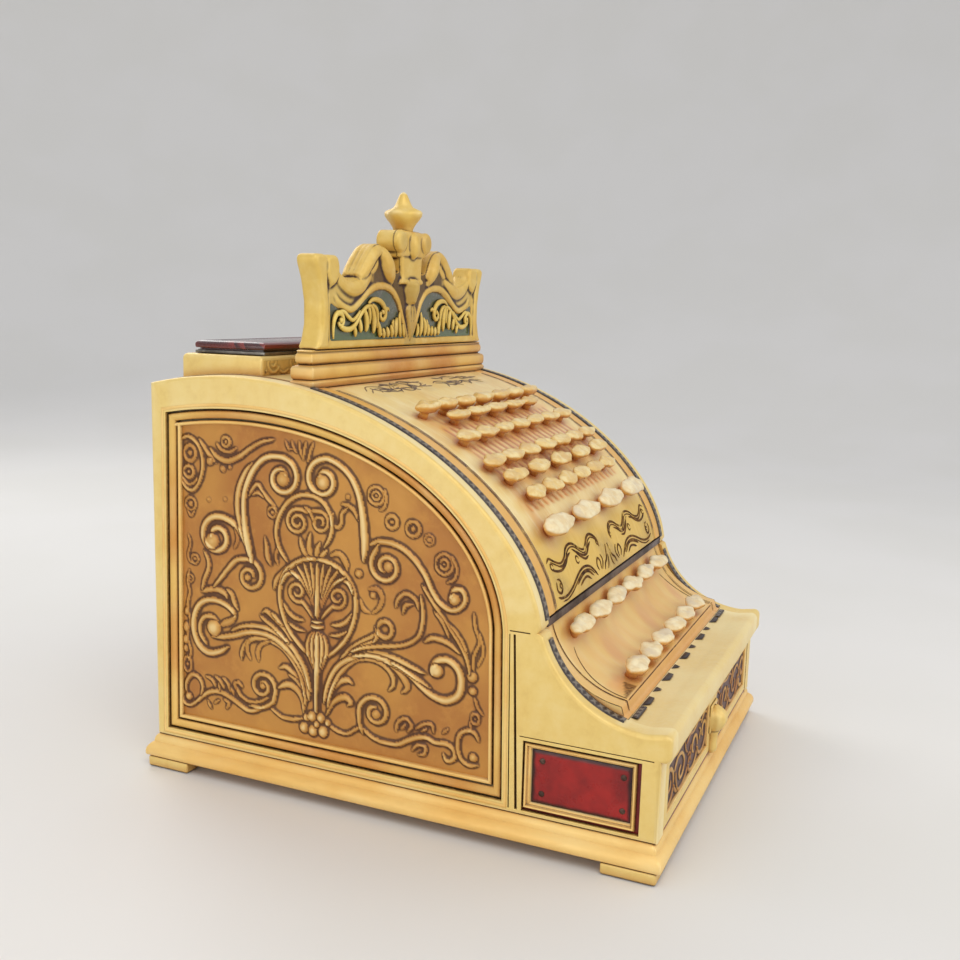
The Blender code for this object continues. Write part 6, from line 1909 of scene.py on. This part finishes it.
def tracery():
    """Open leaf scrolls in front of the panes."""
    shape = Shape()
    y = FACE_Y + 0.0012
    # tubes in tenths of a mm: (x, z, radius)
    scrolls = (
        [(1555, 4310, 12), (1560, 4400, 20), (1540, 4490, 26), (1485, 4545, 28),
         (1420, 4540, 28), (1380, 4490, 26), (1395, 4440, 24), (1440, 4430, 22), (1465, 4465, 18)],
        [(1440, 4430, 22), (1360, 4400, 28), (1260, 4395, 28), (1170, 4430, 26),
         (1100, 4490, 24), (1020, 4560, 24), (930, 4610, 22), (850, 4620, 18)],
        [(1460, 4560, 14), (1370, 4560, 22), (1280, 4510, 22), (1200, 4480, 20),
         (1120, 4520, 18), (1060, 4570, 12)],
        [(1180, 4430, 16), (1160, 4390, 26), (1150, 4350, 24), (1150, 4320, 10)],
        [(1080, 4500, 16), (1060, 4440, 28), (1050, 4390, 28), (1050, 4360, 12)],
        [(980, 4590, 18), (950, 4520, 34), (935, 4450, 36), (940, 4395, 26),
         (955, 4370, 12)],
        [(900, 4610, 18), (880, 4570, 24), (870, 4500, 22), (875, 4440, 12)],
        [(860, 4630, 18), (810, 4560, 34), (790, 4470, 38), (790, 4400, 30),
         (800, 4350, 14)],
        [(830, 4630, 18), (760, 4600, 26), (725, 4540, 26), (715, 4470, 20),
         (720, 4400, 12)],
        [(900, 4640, 14), (820, 4680, 22), (720, 4680, 28), (630, 4650, 30),
         (570, 4590, 30), (560, 4520, 28), (610, 4480, 26), (660, 4510, 22), (650, 4560, 18)],
        [(560, 4560, 20), (510, 4600, 20), (480, 4570, 12)],
        [(700, 4470, 12), (680, 4400, 30), (670, 4350, 30), (670, 4310, 14)],
        [(600, 4400, 12), (590, 4360, 30), (585, 4320, 26), (585, 4300, 14)],
        [(520, 4410, 12), (505, 4370, 32), (500, 4330, 30), (500, 4305, 14)],
        [(430, 4430, 14), (420, 4380, 34), (415, 4340, 32), (415, 4305, 14)],
        [(300, 4500, 14), (330, 4450, 32), (340, 4390, 36), (335, 4330, 26),
         (330, 4305, 12)],
        [(380, 4480, 12), (400, 4430, 22), (380, 4390, 14)],
        [(240, 4560, 12), (255, 4480, 26), (250, 4400, 32), (235, 4340, 26),
         (220, 4305, 12)],
        [(170, 4440, 12), (170, 4390, 24), (160, 4340, 26), (140, 4305, 12)],
    )
    for points in scrolls:
        for sign in (-1.0, 1.0):
            front_tube(shape, [(sign * a, b, r) for a, b, r in points], y, 0.8, 10)
    for x, z, rx, rz in ((0.1425, 0.4480, 0.0030, 0.0030), (0.0615, 0.4560, 0.0026, 0.0026),
                         (0.0665, 0.4340, 0.0030, 0.0022)):
        for sign in (-1.0, 1.0):
            ball(shape, (sign * x, y - 0.0004, z), (rx, 0.0022, rz), 8, 12)
    shape.build("window_tracery", TRACERY, "moulding_gilt", "root", angle=0)
    for name, side in SIDES:
        pane = offset_ring(counter_clockwise(WINDOW_HALF * (side, 1.0)), -0.0012)
        bar(Shape(), pane, FACE_Y + 0.0032, FACE_Y + 0.0056, 0.0003).build(
            f"old_pane_{name}", GLASS, "window_glass", "root", [f"crown_glass_{name}"], 40)


tracery()


def crown_base():
    """Two stacked mouldings with dark lines between them, open where the flags pass."""
    bottom, top = CROWN_LOW.z, CROWN_HIGH.z
    x, y0, y1 = CROWN_HIGH.x, CROWN_LOW.y, CROWN_HIGH.y
    step = 0.4070
    profile = [(bottom, 0.0014), (bottom + 0.0022, 0.0002), (bottom + 0.0046, 0.0),
               (bottom + 0.0062, 0.0012),
               (bottom + 0.0070, 0.0022), (bottom + 0.0084, 0.0010), (bottom + 0.0120, 0.0004),
               (step - 0.0030, 0.0006),
               (step - 0.0010, 0.0018), (step, 0.0044), (step + 0.0006, 0.0060), (step + 0.0018, 0.0054),
               (step + 0.0034, 0.0038), (step + 0.0070, 0.0034), (top - 0.0044, 0.0040),
               (top - 0.0026, 0.0052), (top - 0.0010, 0.0046), (top - 0.0002, 0.0056), (top, 0.0080)]
    shape = rectangle_rings(Shape(), profile, x, y0, y1, radius=0.0012)
    # dark lines at the quirks, told apart by their inset
    dark = {0.0022: 0.85, 0.0060: 0.95, 0.0052: 0.7, 0.0018: 0.35, 0.0080: 0.8}
    count = len(shape.verts) // (len(profile) + 2)
    for k, (_, inset) in enumerate(profile):
        shape.tone[k * count:(k + 1) * count] = [dark.get(inset, 0.0)] * count
    mesh = bpy.data.meshes.new("crown_base_rough")
    mesh.from_pydata(shape.verts, [], shape.faces)
    add_layer(mesh, "tone", shape.tone)
    work = link_object("crown_base_rough", mesh)
    work.modifiers.new("weld", "WELD").merge_threshold = 0.00001
    cutters = [rounded_box(Shape(), (s * FLAG_X - FLAG_HALF, FLAG_Y0, bottom - 0.01),
                           (s * FLAG_X + FLAG_HALF, FLAG_Y1, top + 0.01), 0.0004) for s in (-1.0, 1.0)]
    result = evaluated(work, cut_away(work, cutters), "moulded_crown_base")
    place_mesh("moulded_crown_base", result, BAND, "root", ["crown_base"], 40)


crown_base()


def finial():
    """A bud with four soft lobes and a tapering tip."""
    tip = high("crown_finial").z
    profile = [(0.0, 0.5330), (0.0095, 0.5332), (0.0108, 0.5370), (0.0104, 0.5410), (0.0116, 0.5440),
               (0.0144, 0.5480),
               (0.0176, 0.5514), (0.0200, 0.5546), (0.0206, 0.5574), (0.0190, 0.5598), (0.0146, 0.5618),
               (0.0106, 0.5638), (0.0086, 0.5668), (0.0070, 0.5700), (0.0056, 0.5735), (0.0040, 0.5768),
               (0.0022, tip - 0.0010), (0.0, tip)]
    verts = []
    sides = 40
    for r, z in profile:
        lobe = 0.10 * math.exp(-((z - 0.5570) / 0.0070) ** 2)
        for k in range(sides):
            t = 2 * math.pi * k / sides
            rr = r * (1.0 - 0.5 * lobe + lobe * math.cos(4 * t))
            verts.append((rr * math.cos(t), MID_Y + rr * math.sin(t),
                          z + 0.0010 * lobe * 10 * math.cos(4 * t)))
    Shape().add(verts, net(len(profile), sides, wrap_columns=True)).build(
        "bud_finial", CROWN, "moulding_gilt", "root", ["crown_finial"], 0)


finial()


# ---------------------------------------------------------------- drawer
def drawer_relief():
    """The gilded swirls of the two drawer fields."""
    lo, hi = low("drawer_front"), high("drawer_front")
    relief = Relief(-186, 186, lo.z * 1000 + 1.0, hi.z * 1000 - 1.0, 0.8)
    strokes = [
        ([(172, 48), (160, 50), (152, 60), (156, 74), (168, 80), (178, 72), (174, 62), (165, 62),
          (163, 68)], 2.6),
        ([(152, 60), (140, 50), (122, 46), (104, 50), (92, 60), (86, 72)], 2.2),
        ([(150, 72), (138, 80), (122, 78), (112, 68), (116, 58), (126, 56), (131, 63), (126, 68)], 2.1),
        ([(96, 56), (88, 48), (74, 46), (62, 52), (58, 63), (64, 73), (75, 74), (80, 66), (74, 60)], 2.3),
        ([(60, 60), (48, 50), (34, 48), (24, 54), (20, 64), (25, 73), (35, 74), (39, 67), (34, 62)], 2.3),
        ([(104, 80), (92, 84), (80, 82), (70, 83), (58, 85), (46, 82)], 1.8),
        ([(44, 78), (34, 84), (22, 82), (14, 76)], 1.6),
        ([(176, 86), (160, 87), (140, 85), (124, 87)], 1.5), ([(16, 46), (10, 54), (9, 64), (12, 74)], 1.5),
        ([(112, 84), (108, 76), (100, 70)], 1.4), ([(84, 56), (90, 66), (98, 66)], 1.4),
        ([(134, 48), (142, 60), (144, 68)], 1.4),
        ([(50, 64), (46, 72), (52, 76)], 1.4), ([(178, 46), (180, 56), (184, 62)], 1.4),
    ]
    for points, width in strokes:
        for sign in (-1, 1):
            relief.stroke([(sign * a, b) for a, b in points], 1.5, width)
    return relief


def drawer():
    """The drawer front: gilt frame, two plum fields with swirls, beads, shadow line and drop pull."""
    lo, hi = low("drawer_front"), high("drawer_front")
    face = lo.y
    frame = Shape()
    outer = [(lo.x, lo.z), (hi.x, lo.z), (hi.x, hi.z), (lo.x, hi.z)]
    fields = []
    for sign in (-1.0, 1.0):
        x0, x1 = sorted((sign * 0.0150, sign * 0.1800))
        fields.append(dense([(x0, 0.0425), (x1, 0.0425), (x1, 0.0905), (x0, 0.0905)], 0.012))
    slab(frame, dense(outer, 0.02), fields, lambda a, b, h: (a, -h, b),
         [(0.0018, 0.0), (0.0006, 0.0005), (0.0, 0.0018)],
         [(-0.0016, 0.0), (-0.0006, 0.0004), (0.0, 0.0022)], -face, -hi.y)
    frame.build("drawer_frame", BODY, "drawer_relief", "drawer", ["drawer_front"], 42)
    relief = drawer_relief()
    for k, (name, _) in enumerate(SIDES):
        x = sorted(p[0] * 1000.0 for p in fields[k])
        keep = lambda A, B: (A > x[0] - 0.5) & (A < x[-1] + 0.5) & (B > 42.2) & (B < 90.8)
        points, quads, layers = relief.mesh(lambda a, b, h: np.stack([a, face + 0.0026 - h, b], -1), keep,
                                            0.0, 1.0, 1.6)
        finish_mesh(f"drawer_field_{name}", points, quads, PLUM, "drawer", (), 0, layers)
    lines = Shape()
    for f in fields:
        moulding(lines, f, ((0.0004, -0.0030), (0.0008, 0.0006), (0.0018, 0.0010), (0.0026, 0.0004),
                            (0.0028, -0.0030)),
                 lambda a, b, h: (a, face - h + 0.0010, b))
    lines.build("drawer_beads", MOULD, "drawer_relief", "drawer", angle=50)
    rounded_box(Shape(), (lo.x + 0.0030, face - 0.0002, lo.z + 0.0004),
                (hi.x - 0.0030, face + 0.0010, lo.z + 0.0022),
                0.0003, tone=0.55).build("drawer_shadow_line", ENAMEL, "drawer_relief", "drawer", angle=40)

    pull = Shape()
    y0 = high("drawer_pull").y
    profile = ((0.0325, 0.0036, 0.0034), (0.0345, 0.0064, 0.0052), (0.0375, 0.0078, 0.0062),
               (0.0420, 0.0070, 0.0059),
               (0.0480, 0.0062, 0.0060), (0.0525, 0.0066, 0.0066), (0.0545, 0.0078, 0.0074),
               (0.0560, 0.0070, 0.0070),
               (0.0580, 0.0098, 0.0096), (0.0620, 0.0132, 0.0124), (0.0670, 0.0147, 0.0142),
               (0.0710, 0.0146, 0.0144),
               (0.0752, 0.0130, 0.0126), (0.0784, 0.0098, 0.0094), (0.0808, 0.0060, 0.0062),
               (0.0819, 0.0020, 0.0030))
    verts, tones = [], []
    sides = 28
    for z, half, depth in profile:
        for k in range(sides + 1):
            t = math.pi * k / sides
            flute = 1.0 + (0.035 * math.cos(10 * t) if z > 0.057 else 0.0)
            verts.append((-half * math.cos(t) * flute,
                          y0 + 0.0006 - (depth + 0.0006) * math.sin(t) * flute, z))
            tones.append(0.6 if abs(z - 0.0560) < 0.0008 else 0.0)
    count = sides + 1
    pull.add(verts, net(len(profile), count), tones)
    back = [v for i, v in enumerate(verts) if i % count in (0, sides)]
    pull.add(back, net(len(profile), 2), 0.0)
    rounded_box(pull, (-0.0140, y0 - 0.0012, 0.0560), (0.0140, y0 + 0.0006, 0.0840), 0.0008)
    pull.build("drop_pull", BODY, "moulding_gilt", "drawer", ["drawer_pull"], 0)


drawer()


# ---------------------------------------------------------------- top: receipt box, lid, cover plate
def receipt_box():
    """Open box with a worked rim; its front carries a low swirl relief."""
    lo, hi = low("receipt_box"), high("receipt_box")
    wall = 0.0080
    x, y0, y1, z0, z1 = hi.x, lo.y, hi.y, lo.z, hi.z
    profile = [(z0, 0.0012), (z0 + 0.0008, 0.0004), (z0 + 0.0020, 0.0), (z1 - 0.0050, 0.0),
               (z1 - 0.0022, 0.0006),
               (z1 - 0.0008, 0.0018), (z1, 0.0036), (z1, wall - 0.0012), (z1 - 0.0006, wall - 0.0002),
               (z1 - 0.0012, wall), (z0 + 0.0060, wall)]
    rows = []
    for z, inset in profile:
        hx, front, rear = x - inset, y0 + inset, y1 - inset
        radius = max(0.0004, 0.0026 - inset * 0.2)
        row = []
        for sx, sy, start in ((1, -1, -90), (1, 1, 0), (-1, 1, 90), (-1, -1, 180)):
            cx, cy = sx * hx, rear if sy > 0 else front
            for k in range(5):
                t = math.radians(start + 22.5 * k)
                row.append((cx - sx * radius + radius * math.cos(t),
                            cy - sy * radius + radius * math.sin(t), z))
        rows.append(row)
    stacked(Shape(), rows).build("cast_receipt_box", BODY, "body_gilt", "root", ["receipt_box"], 40)
    relief = Relief(-172, 172, z0 * 1000 + 3, z1 * 1000 - 4, 1.0)
    for sign in (-1, 1):
        for cx in (28, 74, 120, 158):
            relief.stroke([(sign * a, b) for a,
                           b, *_ in spiral((cx, z0 * 1000 + 19), 11, 3, 200, 1.3, 1.8)], 1.2, 1.8)
            relief.stroke([(sign * (cx + 10), z0 * 1000 + 12), (sign * (cx + 22), z0 * 1000 + 9),
                           (sign * (cx + 34), z0 * 1000 + 17)], 1.1, 1.6)
    points, quads, layers = relief.mesh(lambda a, b, h: np.stack([a, y0 - 0.00012 - h, b], -1),
                                        lambda A, B: np.abs(A) < 171.5, 0.0, 0.8, 1.4)
    # darker in the hollows and round the swirls: patina and painted shade
    finish_mesh("box_front_swirls", points, quads, BODY, "root", (), 0,
                {"tone": 0.45 * layers["ink"]})

    # the lid: a grey steel strip, a dark groove, and a bevelled mahogany slab with a sunk field
    lo, hi = low("box_lid"), high("box_lid")
    x, y0, y1, z0, z1 = hi.x, lo.y, hi.y, lo.z, hi.z
    profile = [(z0, 0.0010), (z0 + 0.0003, 0.0002), (z0 + 0.0012, 0.0), (z0 + 0.0030, 0.0002),
               (z0 + 0.0034, 0.0012)]
    strip = rectangle_rings(Shape(), profile, x, y0, y1, radius=0.0010)
    strip.build("lid_strip", STEEL, "lid_wood", "box_lid", angle=40)
    profile = [(z0 + 0.0030, 0.0040), (z0 + 0.0048, 0.0040), (z0 + 0.0050, 0.0012), (z0 + 0.0054, 0.0004),
               (z0 + 0.0066, 0.0), (z1 - 0.0034, 0.0), (z1 - 0.0022, 0.0005), (z1 - 0.0010, 0.0016),
               (z1 - 0.0002, 0.0034),
               (z1, 0.0052), (z1, 0.0072), (z1 - 0.0007, 0.0080), (z1 - 0.0008, 0.0094),
               (z1 - 0.0004, 0.0100), (z1 - 0.0003, 0.0300)]
    lid = rectangle_rings(Shape(), profile, x, y0, y1, radius=0.0010)
    lid.build("lid_slab", LID, "lid_wood", "box_lid", ["box_lid"], 40)
    # hinge knuckles round the pin
    pin = (low("lid_hinge_pin") + high("lid_hinge_pin")) / 2.0
    reach = high("lid_hinge_pin").x
    knuckles = Shape()
    for k in (0, 2, 4, 6):
        x0 = -reach * 0.62 + k * reach * 0.18
        barrel = ((x0, 0.0022), (x0 + 0.0006, 0.0027), (x0 + 0.0180, 0.0027), (x0 + 0.0186, 0.0022))
        knuckles.add(rings(barrel, lambda h, a, b: (h, pin.y + a, pin.z + b), 16), capped_net(4, 16))
    knuckles.build("hinge_knuckles", STEEL, "steel", "root", angle=40)


receipt_box()


def top_cover():
    """Thin beads where the curved cover behind the crown meets the side frames."""
    lines = Shape()
    for side in (-1.0, 1.0):
        s = np.linspace(arch_length_at(CROWN_HIGH.y), ARC_LENGTH[-1] - 0.002, 60)
        base = on_arch(np.full(len(s), side * INNER), s, np.full(len(s), 0.0))
        tube(lines, base, 0.0011, 8, tone=0.55)
    lines.build("top_seams", BAND, "moulding_gilt", "root", angle=0)


top_cover()


# ---------------------------------------------------------------- back panel
def back_ornament(width, z0, z1):
    """A calmer scroll relief for the back: a central palmette and four corner scrolls."""
    f = Relief(-width, width, z0, z1, 1.4)
    f.height += 0.25 * np.sin(f.A * 0.045) * np.cos(f.B * 0.05)
    strokes = [
        ([(3, z0 + 26, 3.2), (5, z0 + 70, 3.4), (9, z0 + 112, 3.6), (15, z0 + 134, 2.6)], 2.6),
        ([(6, z0 + 60, 1.5), (30, z0 + 84, 3), (58, z0 + 88, 3.2), (86, z0 + 72, 3), (98, z0 + 48, 3),
          (88, z0 + 30, 2.8), (70, z0 + 32, 2.6), (66, z0 + 46, 2.4), (76, z0 + 54, 2)], 2.6),
        ([(8, z0 + 96, 1.5), (34, z0 + 128, 3), (70, z0 + 140, 3.2), (104, z0 + 124, 3.2),
          (126, z0 + 96, 3),
          (146, z0 + 78, 2.6), (160, z0 + 84, 2.4), (160, z0 + 98, 2), (148, z0 + 102, 1.6)], 2.7),
        ([(6, z0 + 128, 1.5), (26, z0 + 168, 2.8), (24, z0 + 208, 3), (6, z0 + 236, 3.2),
          (2, z0 + 240, 2.8)], 2.4),
        ([(40, z0 + 150, 1.6), (64, z0 + 176, 3), (94, z0 + 190, 3), (124, z0 + 178, 3),
          (134, z0 + 154, 2.8), (118, z0 + 140, 2.6), (104, z0 + 150, 2.2), (110, z0 + 162, 1.8)], 2.6),
        ([(20, z0 + 236, 1.6), (44, z0 + 262, 2.8), (80, z0 + 266, 3), (112, z0 + 250, 2.8),
          (120, z0 + 226, 2.6), (102, z0 + 216, 2.4), (90, z0 + 228, 2.2), (98, z0 + 238, 1.8)], 2.6),
        ([(126, z0 + 250, 1.5), (148, z0 + 266, 2.4), (166, z0 + 262, 2.2), (168, z0 + 244, 2.0),
          (156, z0 + 238, 1.6)], 2.2),
        ([(100, z0 + 20, 1.4), (126, z0 + 14, 2.4), (152, z0 + 22, 2.4), (166, z0 + 44, 2.2),
          (156, z0 + 60, 2), (144, z0 + 52, 1.6)], 2.2),
        ([(136, z0 + 190, 1.4), (156, z0 + 206, 2.2), (168, z0 + 196, 2), (164, z0 + 180, 1.6)], 2.0),
        ([(148, z0 + 118, 1.4), (164, z0 + 132, 2), (168, z0 + 152, 1.8), (158, z0 + 162, 1.4)], 2.0),
        ([(14, z0 + 20, 1.5), (34, z0 + 14, 2.2), (54, z0 + 20, 2), (58, z0 + 34, 1.6)], 2.0),
    ]
    for points, rise in strokes:
        for sign in (-1, 1):
            f.stroke([(sign * a, b, w) for a, b, w in points], rise)
    for k in range(-3, 4):
        f.stroke([(k * 2.0, z0 + 132, 1.6), (k * 6.5, z0 + 152, 2.6),
                  (k * 10.0, z0 + 168 - abs(k) * 5, 1.6)], 2.6)
    for a, b, r in ((60, z0 + 112, 5), (30, z0 + 196, 4), (150, z0 + 36, 4), (0, z0 + 196, 5),
                    (92, z0 + 104, 3.4), (58, z0 + 226, 4)):
        for sign in ((-1, 1) if a else (1,)):
            f.ring(sign * a, b, r, 1.3, 1.8, 1.0, 1.6)
    f.bead(0, z0 + 24, 7, 2.6, 0.8)
    return f


def back_panel():
    """Door with a stepped frame, a relief field, hinge knuckles and a lock."""
    lo, hi = low("back_panel"), high("back_panel")
    y = hi.y
    x, z0, z1 = hi.x, lo.z, hi.z
    outer = dense([(-x, z0), (x, z0), (x, z1), (-x, z1)], 0.03)
    margin = 0.0150
    inner = [(-x + margin, z0 + margin), (x - margin, z0 + margin), (x - margin, z1 - margin),
             (-x + margin, z1 - margin)]
    inner = dense(inner, 0.03)
    place = lambda a, b, h: (-a, h, b)
    shape = Shape()
    slab(shape, outer, [inner], place, [(0.0016, 0.0), (0.0005, 0.0005), (0.0, 0.0016)],
         [(-0.0016, 0.0), (-0.0005, 0.0005), (0.0, 0.0024)], y, lo.y)
    shape.build("back_frame", BODY, "body_gilt", "root", ["back_panel"], 42)
    trim = Shape()
    for inset, size in ((0.0008, 1.0), (0.0056, 0.7)):
        moulding(trim, inner,
                 ((inset, y - 0.0042), (inset + 0.0006 * size, y - 0.0006),
                  (inset + 0.0016 * size, y + 0.0002),
                               (inset + 0.0028 * size, y - 0.0006), (inset + 0.0034 * size, y - 0.0042)),
                               place)
    trim.build("back_mouldings", MOULD, "moulding_gilt", "root", angle=50)
    field = back_ornament(x * 1000 - margin * 1000 + 0.4, (z0 + margin) * 1000 - 0.4,
                          (z1 - margin) * 1000 + 0.4)
    points, quads, layers = field.mesh(lambda a, b, h: np.stack([-a, h, b], -1), lambda A, B: A > -999,
                                       y - 0.0040, 0.9, 3.0)
    finish_mesh("back_relief", points, quads, BRONZE, "root", (), 0, layers)
    lock = Shape()
    escutcheon = ((0.0020, 0.0), (0.0020, 0.0050), (0.0016, 0.0062), (0.0008, 0.0070), (0.0006, 0.0100),
                  (0.0, 0.0112), (-0.0040, 0.0112))
    lock_x = 0.1560
    lock.add(rings(escutcheon, lambda h, a, b: (lock_x + a, y + h, 0.2120 + b * 1.5), 28),
             net(len(escutcheon), 28, wrap_columns=True))
    # the keyhole: a dark slit and dot, painted shade for the hole
    tube(lock, [(lock_x, y + 0.0020, 0.2060), (lock_x, y + 0.0020, 0.2150)], 0.0010, 8, tone=1.0)
    ball(lock, (lock_x, y + 0.0019, 0.2160), (0.0018, 0.0006, 0.0018), 6, 12, 1.0)
    for z in (z0 + 0.055, z1 - 0.055):
        for k in range(3):
            foot = z - 0.018 + 0.0125 * k
            barrel = ((foot, 0.0024), (foot + 0.0006, 0.0030), (foot + 0.0110, 0.0030),
                      (foot + 0.0116, 0.0024))
            lock.add(rings(barrel, lambda h, a, b: (-x + 0.0060 + a, y + 0.0008 + b, h), 14),
                     capped_net(4, 14))
    lock.build("back_lock_and_hinges", BAND, "moulding_gilt", "root", angle=40)


back_panel()


# ---------------------------------------------------------------- materials of the parts that stay
for node, material in {
    "deck_plate": STEEL, "cross_rail": DARK_STEEL, "drawer_runner_left": STEEL,
    "drawer_runner_right": STEEL,
    "mechanism_shaft": STEEL, "bell": BRASS, "bell_hammer": STEEL, "drawer_bolt": STEEL,
    "drawer_box": DRAWER_WOOD,
    "till_tray": DRAWER_WOOD, "price_flag_left": FLAG, "price_flag_right": FLAG, "lid_hinge_pin": STEEL,
    "back_panel": BODY, "top_plate": BODY, "upper_key_panel": CREAM, "lower_key_panel": CREAM,
    "box_lid": LID, "receipt_box": BODY, "drawer_front": PLUM, "drawer_pull": BODY, "crown_base": MOULD,
    "crown_pediment": CROWN, "crown_finial": CROWN, "crown_glass_left": GLASS, "crown_glass_right": GLASS,
}.items():
    if node in NODES:
        for place in range(max(1, len(NODES[node].material_slots))):
            NODES[node].material_slots[place].material = material
for node, obj in NODES.items():
    if "key" in node and "panel" not in node:
        for place in obj.material_slots:
            place.material = IVORY


# ---------------------------------------------------------------- studio
CAMERA_PLACE = (-1.0270, -0.4418, 0.4668)
CAMERA_TURN = (1.16110, -0.16219, 0.026488)  # yaw, pitch and roll in radians
CAMERA_LENS = 40.38                          # mm, on a 36 mm frame


def studio():
    """Pale floor, soft world light and four area lights."""
    # a shallow pale bowl: flat under the object, rising smoothly far behind it
    profile = [(0.0, 0.0)] + [(r, 0.0) for r in np.linspace(0.3, 2.2, 8)]
    profile += [(2.2 + 2.6 * math.sin(t), 2.6 - 2.6 * math.cos(t)) for t in np.linspace(0.1, 1.5, 20)]
    bowl = Shape()
    verts = [(r * math.cos(t), r * math.sin(t), h) for r, h in profile
             for t in np.linspace(0.0, 2.0 * math.pi, 72, endpoint=False)]
    bowl.add(verts, net(len(profile), 72, wrap_columns=True))
    mesh = bpy.data.meshes.new("floor")
    mesh.from_pydata(bowl.verts, [], bowl.faces)
    mesh.polygons.foreach_set("use_smooth", [True] * len(mesh.polygons))
    mesh.materials.append(FLOOR)
    ground = link_object("floor", mesh)
    ground.location.z = -0.0004

    world = bpy.data.worlds.new("studio")
    world.use_nodes = True
    sky = world.node_tree.nodes["Background"]
    sky.inputs["Color"].default_value = (0.92, 0.94, 1.0, 1.0)
    sky.inputs["Strength"].default_value = 0.74
    bpy.context.scene.world = world

    for name, place, target, size, power, colour in (
        ("key_light", (-1.3, -1.0, 2.2), (0, 0, 0.2), 1.6, 18.0, (1.0, 0.955, 0.87)),
        ("front_fill", (0.6, -2.4, 1.3), (0, 0, 0.2), 2.0, 16.0, (1.0, 0.98, 0.95)),
        ("side_fill", (-2.6, 0.5, 0.7), (0, 0, 0.2), 1.8, 12.5, (1.0, 0.98, 0.95)),
        ("rim_light", (0.9, 1.8, 1.6), (0, 0, 0.3), 1.5, 14.0, (1.0, 0.98, 0.94)),
    ):
        lamp = bpy.data.lights.new(name, "AREA")
        lamp.shape = "DISK"
        lamp.size = size
        lamp.energy = power
        lamp.color = colour
        obj = link_object(name, lamp)
        obj.location = place
        obj.rotation_euler = (Vector(target) - obj.location).to_track_quat("-Z", "Y").to_euler()


def camera():
    """The viewing angle of the reference: from the left and a little above, near the front corner."""
    yaw, pitch, roll = CAMERA_TURN
    forward = Vector((math.sin(yaw) * math.cos(pitch), math.cos(yaw) * math.cos(pitch), math.sin(pitch)))
    right = forward.cross(Vector((0, 0, 1))).normalized()
    up = right.cross(forward)
    x_axis = right * math.cos(roll) + up * math.sin(roll)
    y_axis = up * math.cos(roll) - right * math.sin(roll)
    matrix = Matrix((x_axis, y_axis, -forward)).transposed().to_4x4()
    matrix.translation = Vector(CAMERA_PLACE)
    data = bpy.data.cameras.new("camera")
    data.sensor_width = 36.0
    data.lens = CAMERA_LENS
    obj = link_object("camera", data)
    obj.matrix_world = matrix
    bpy.context.scene.camera = obj


studio()
camera()
bpy.context.scene.view_settings.view_transform = "Standard"
bpy.context.scene.view_settings.look = "None"
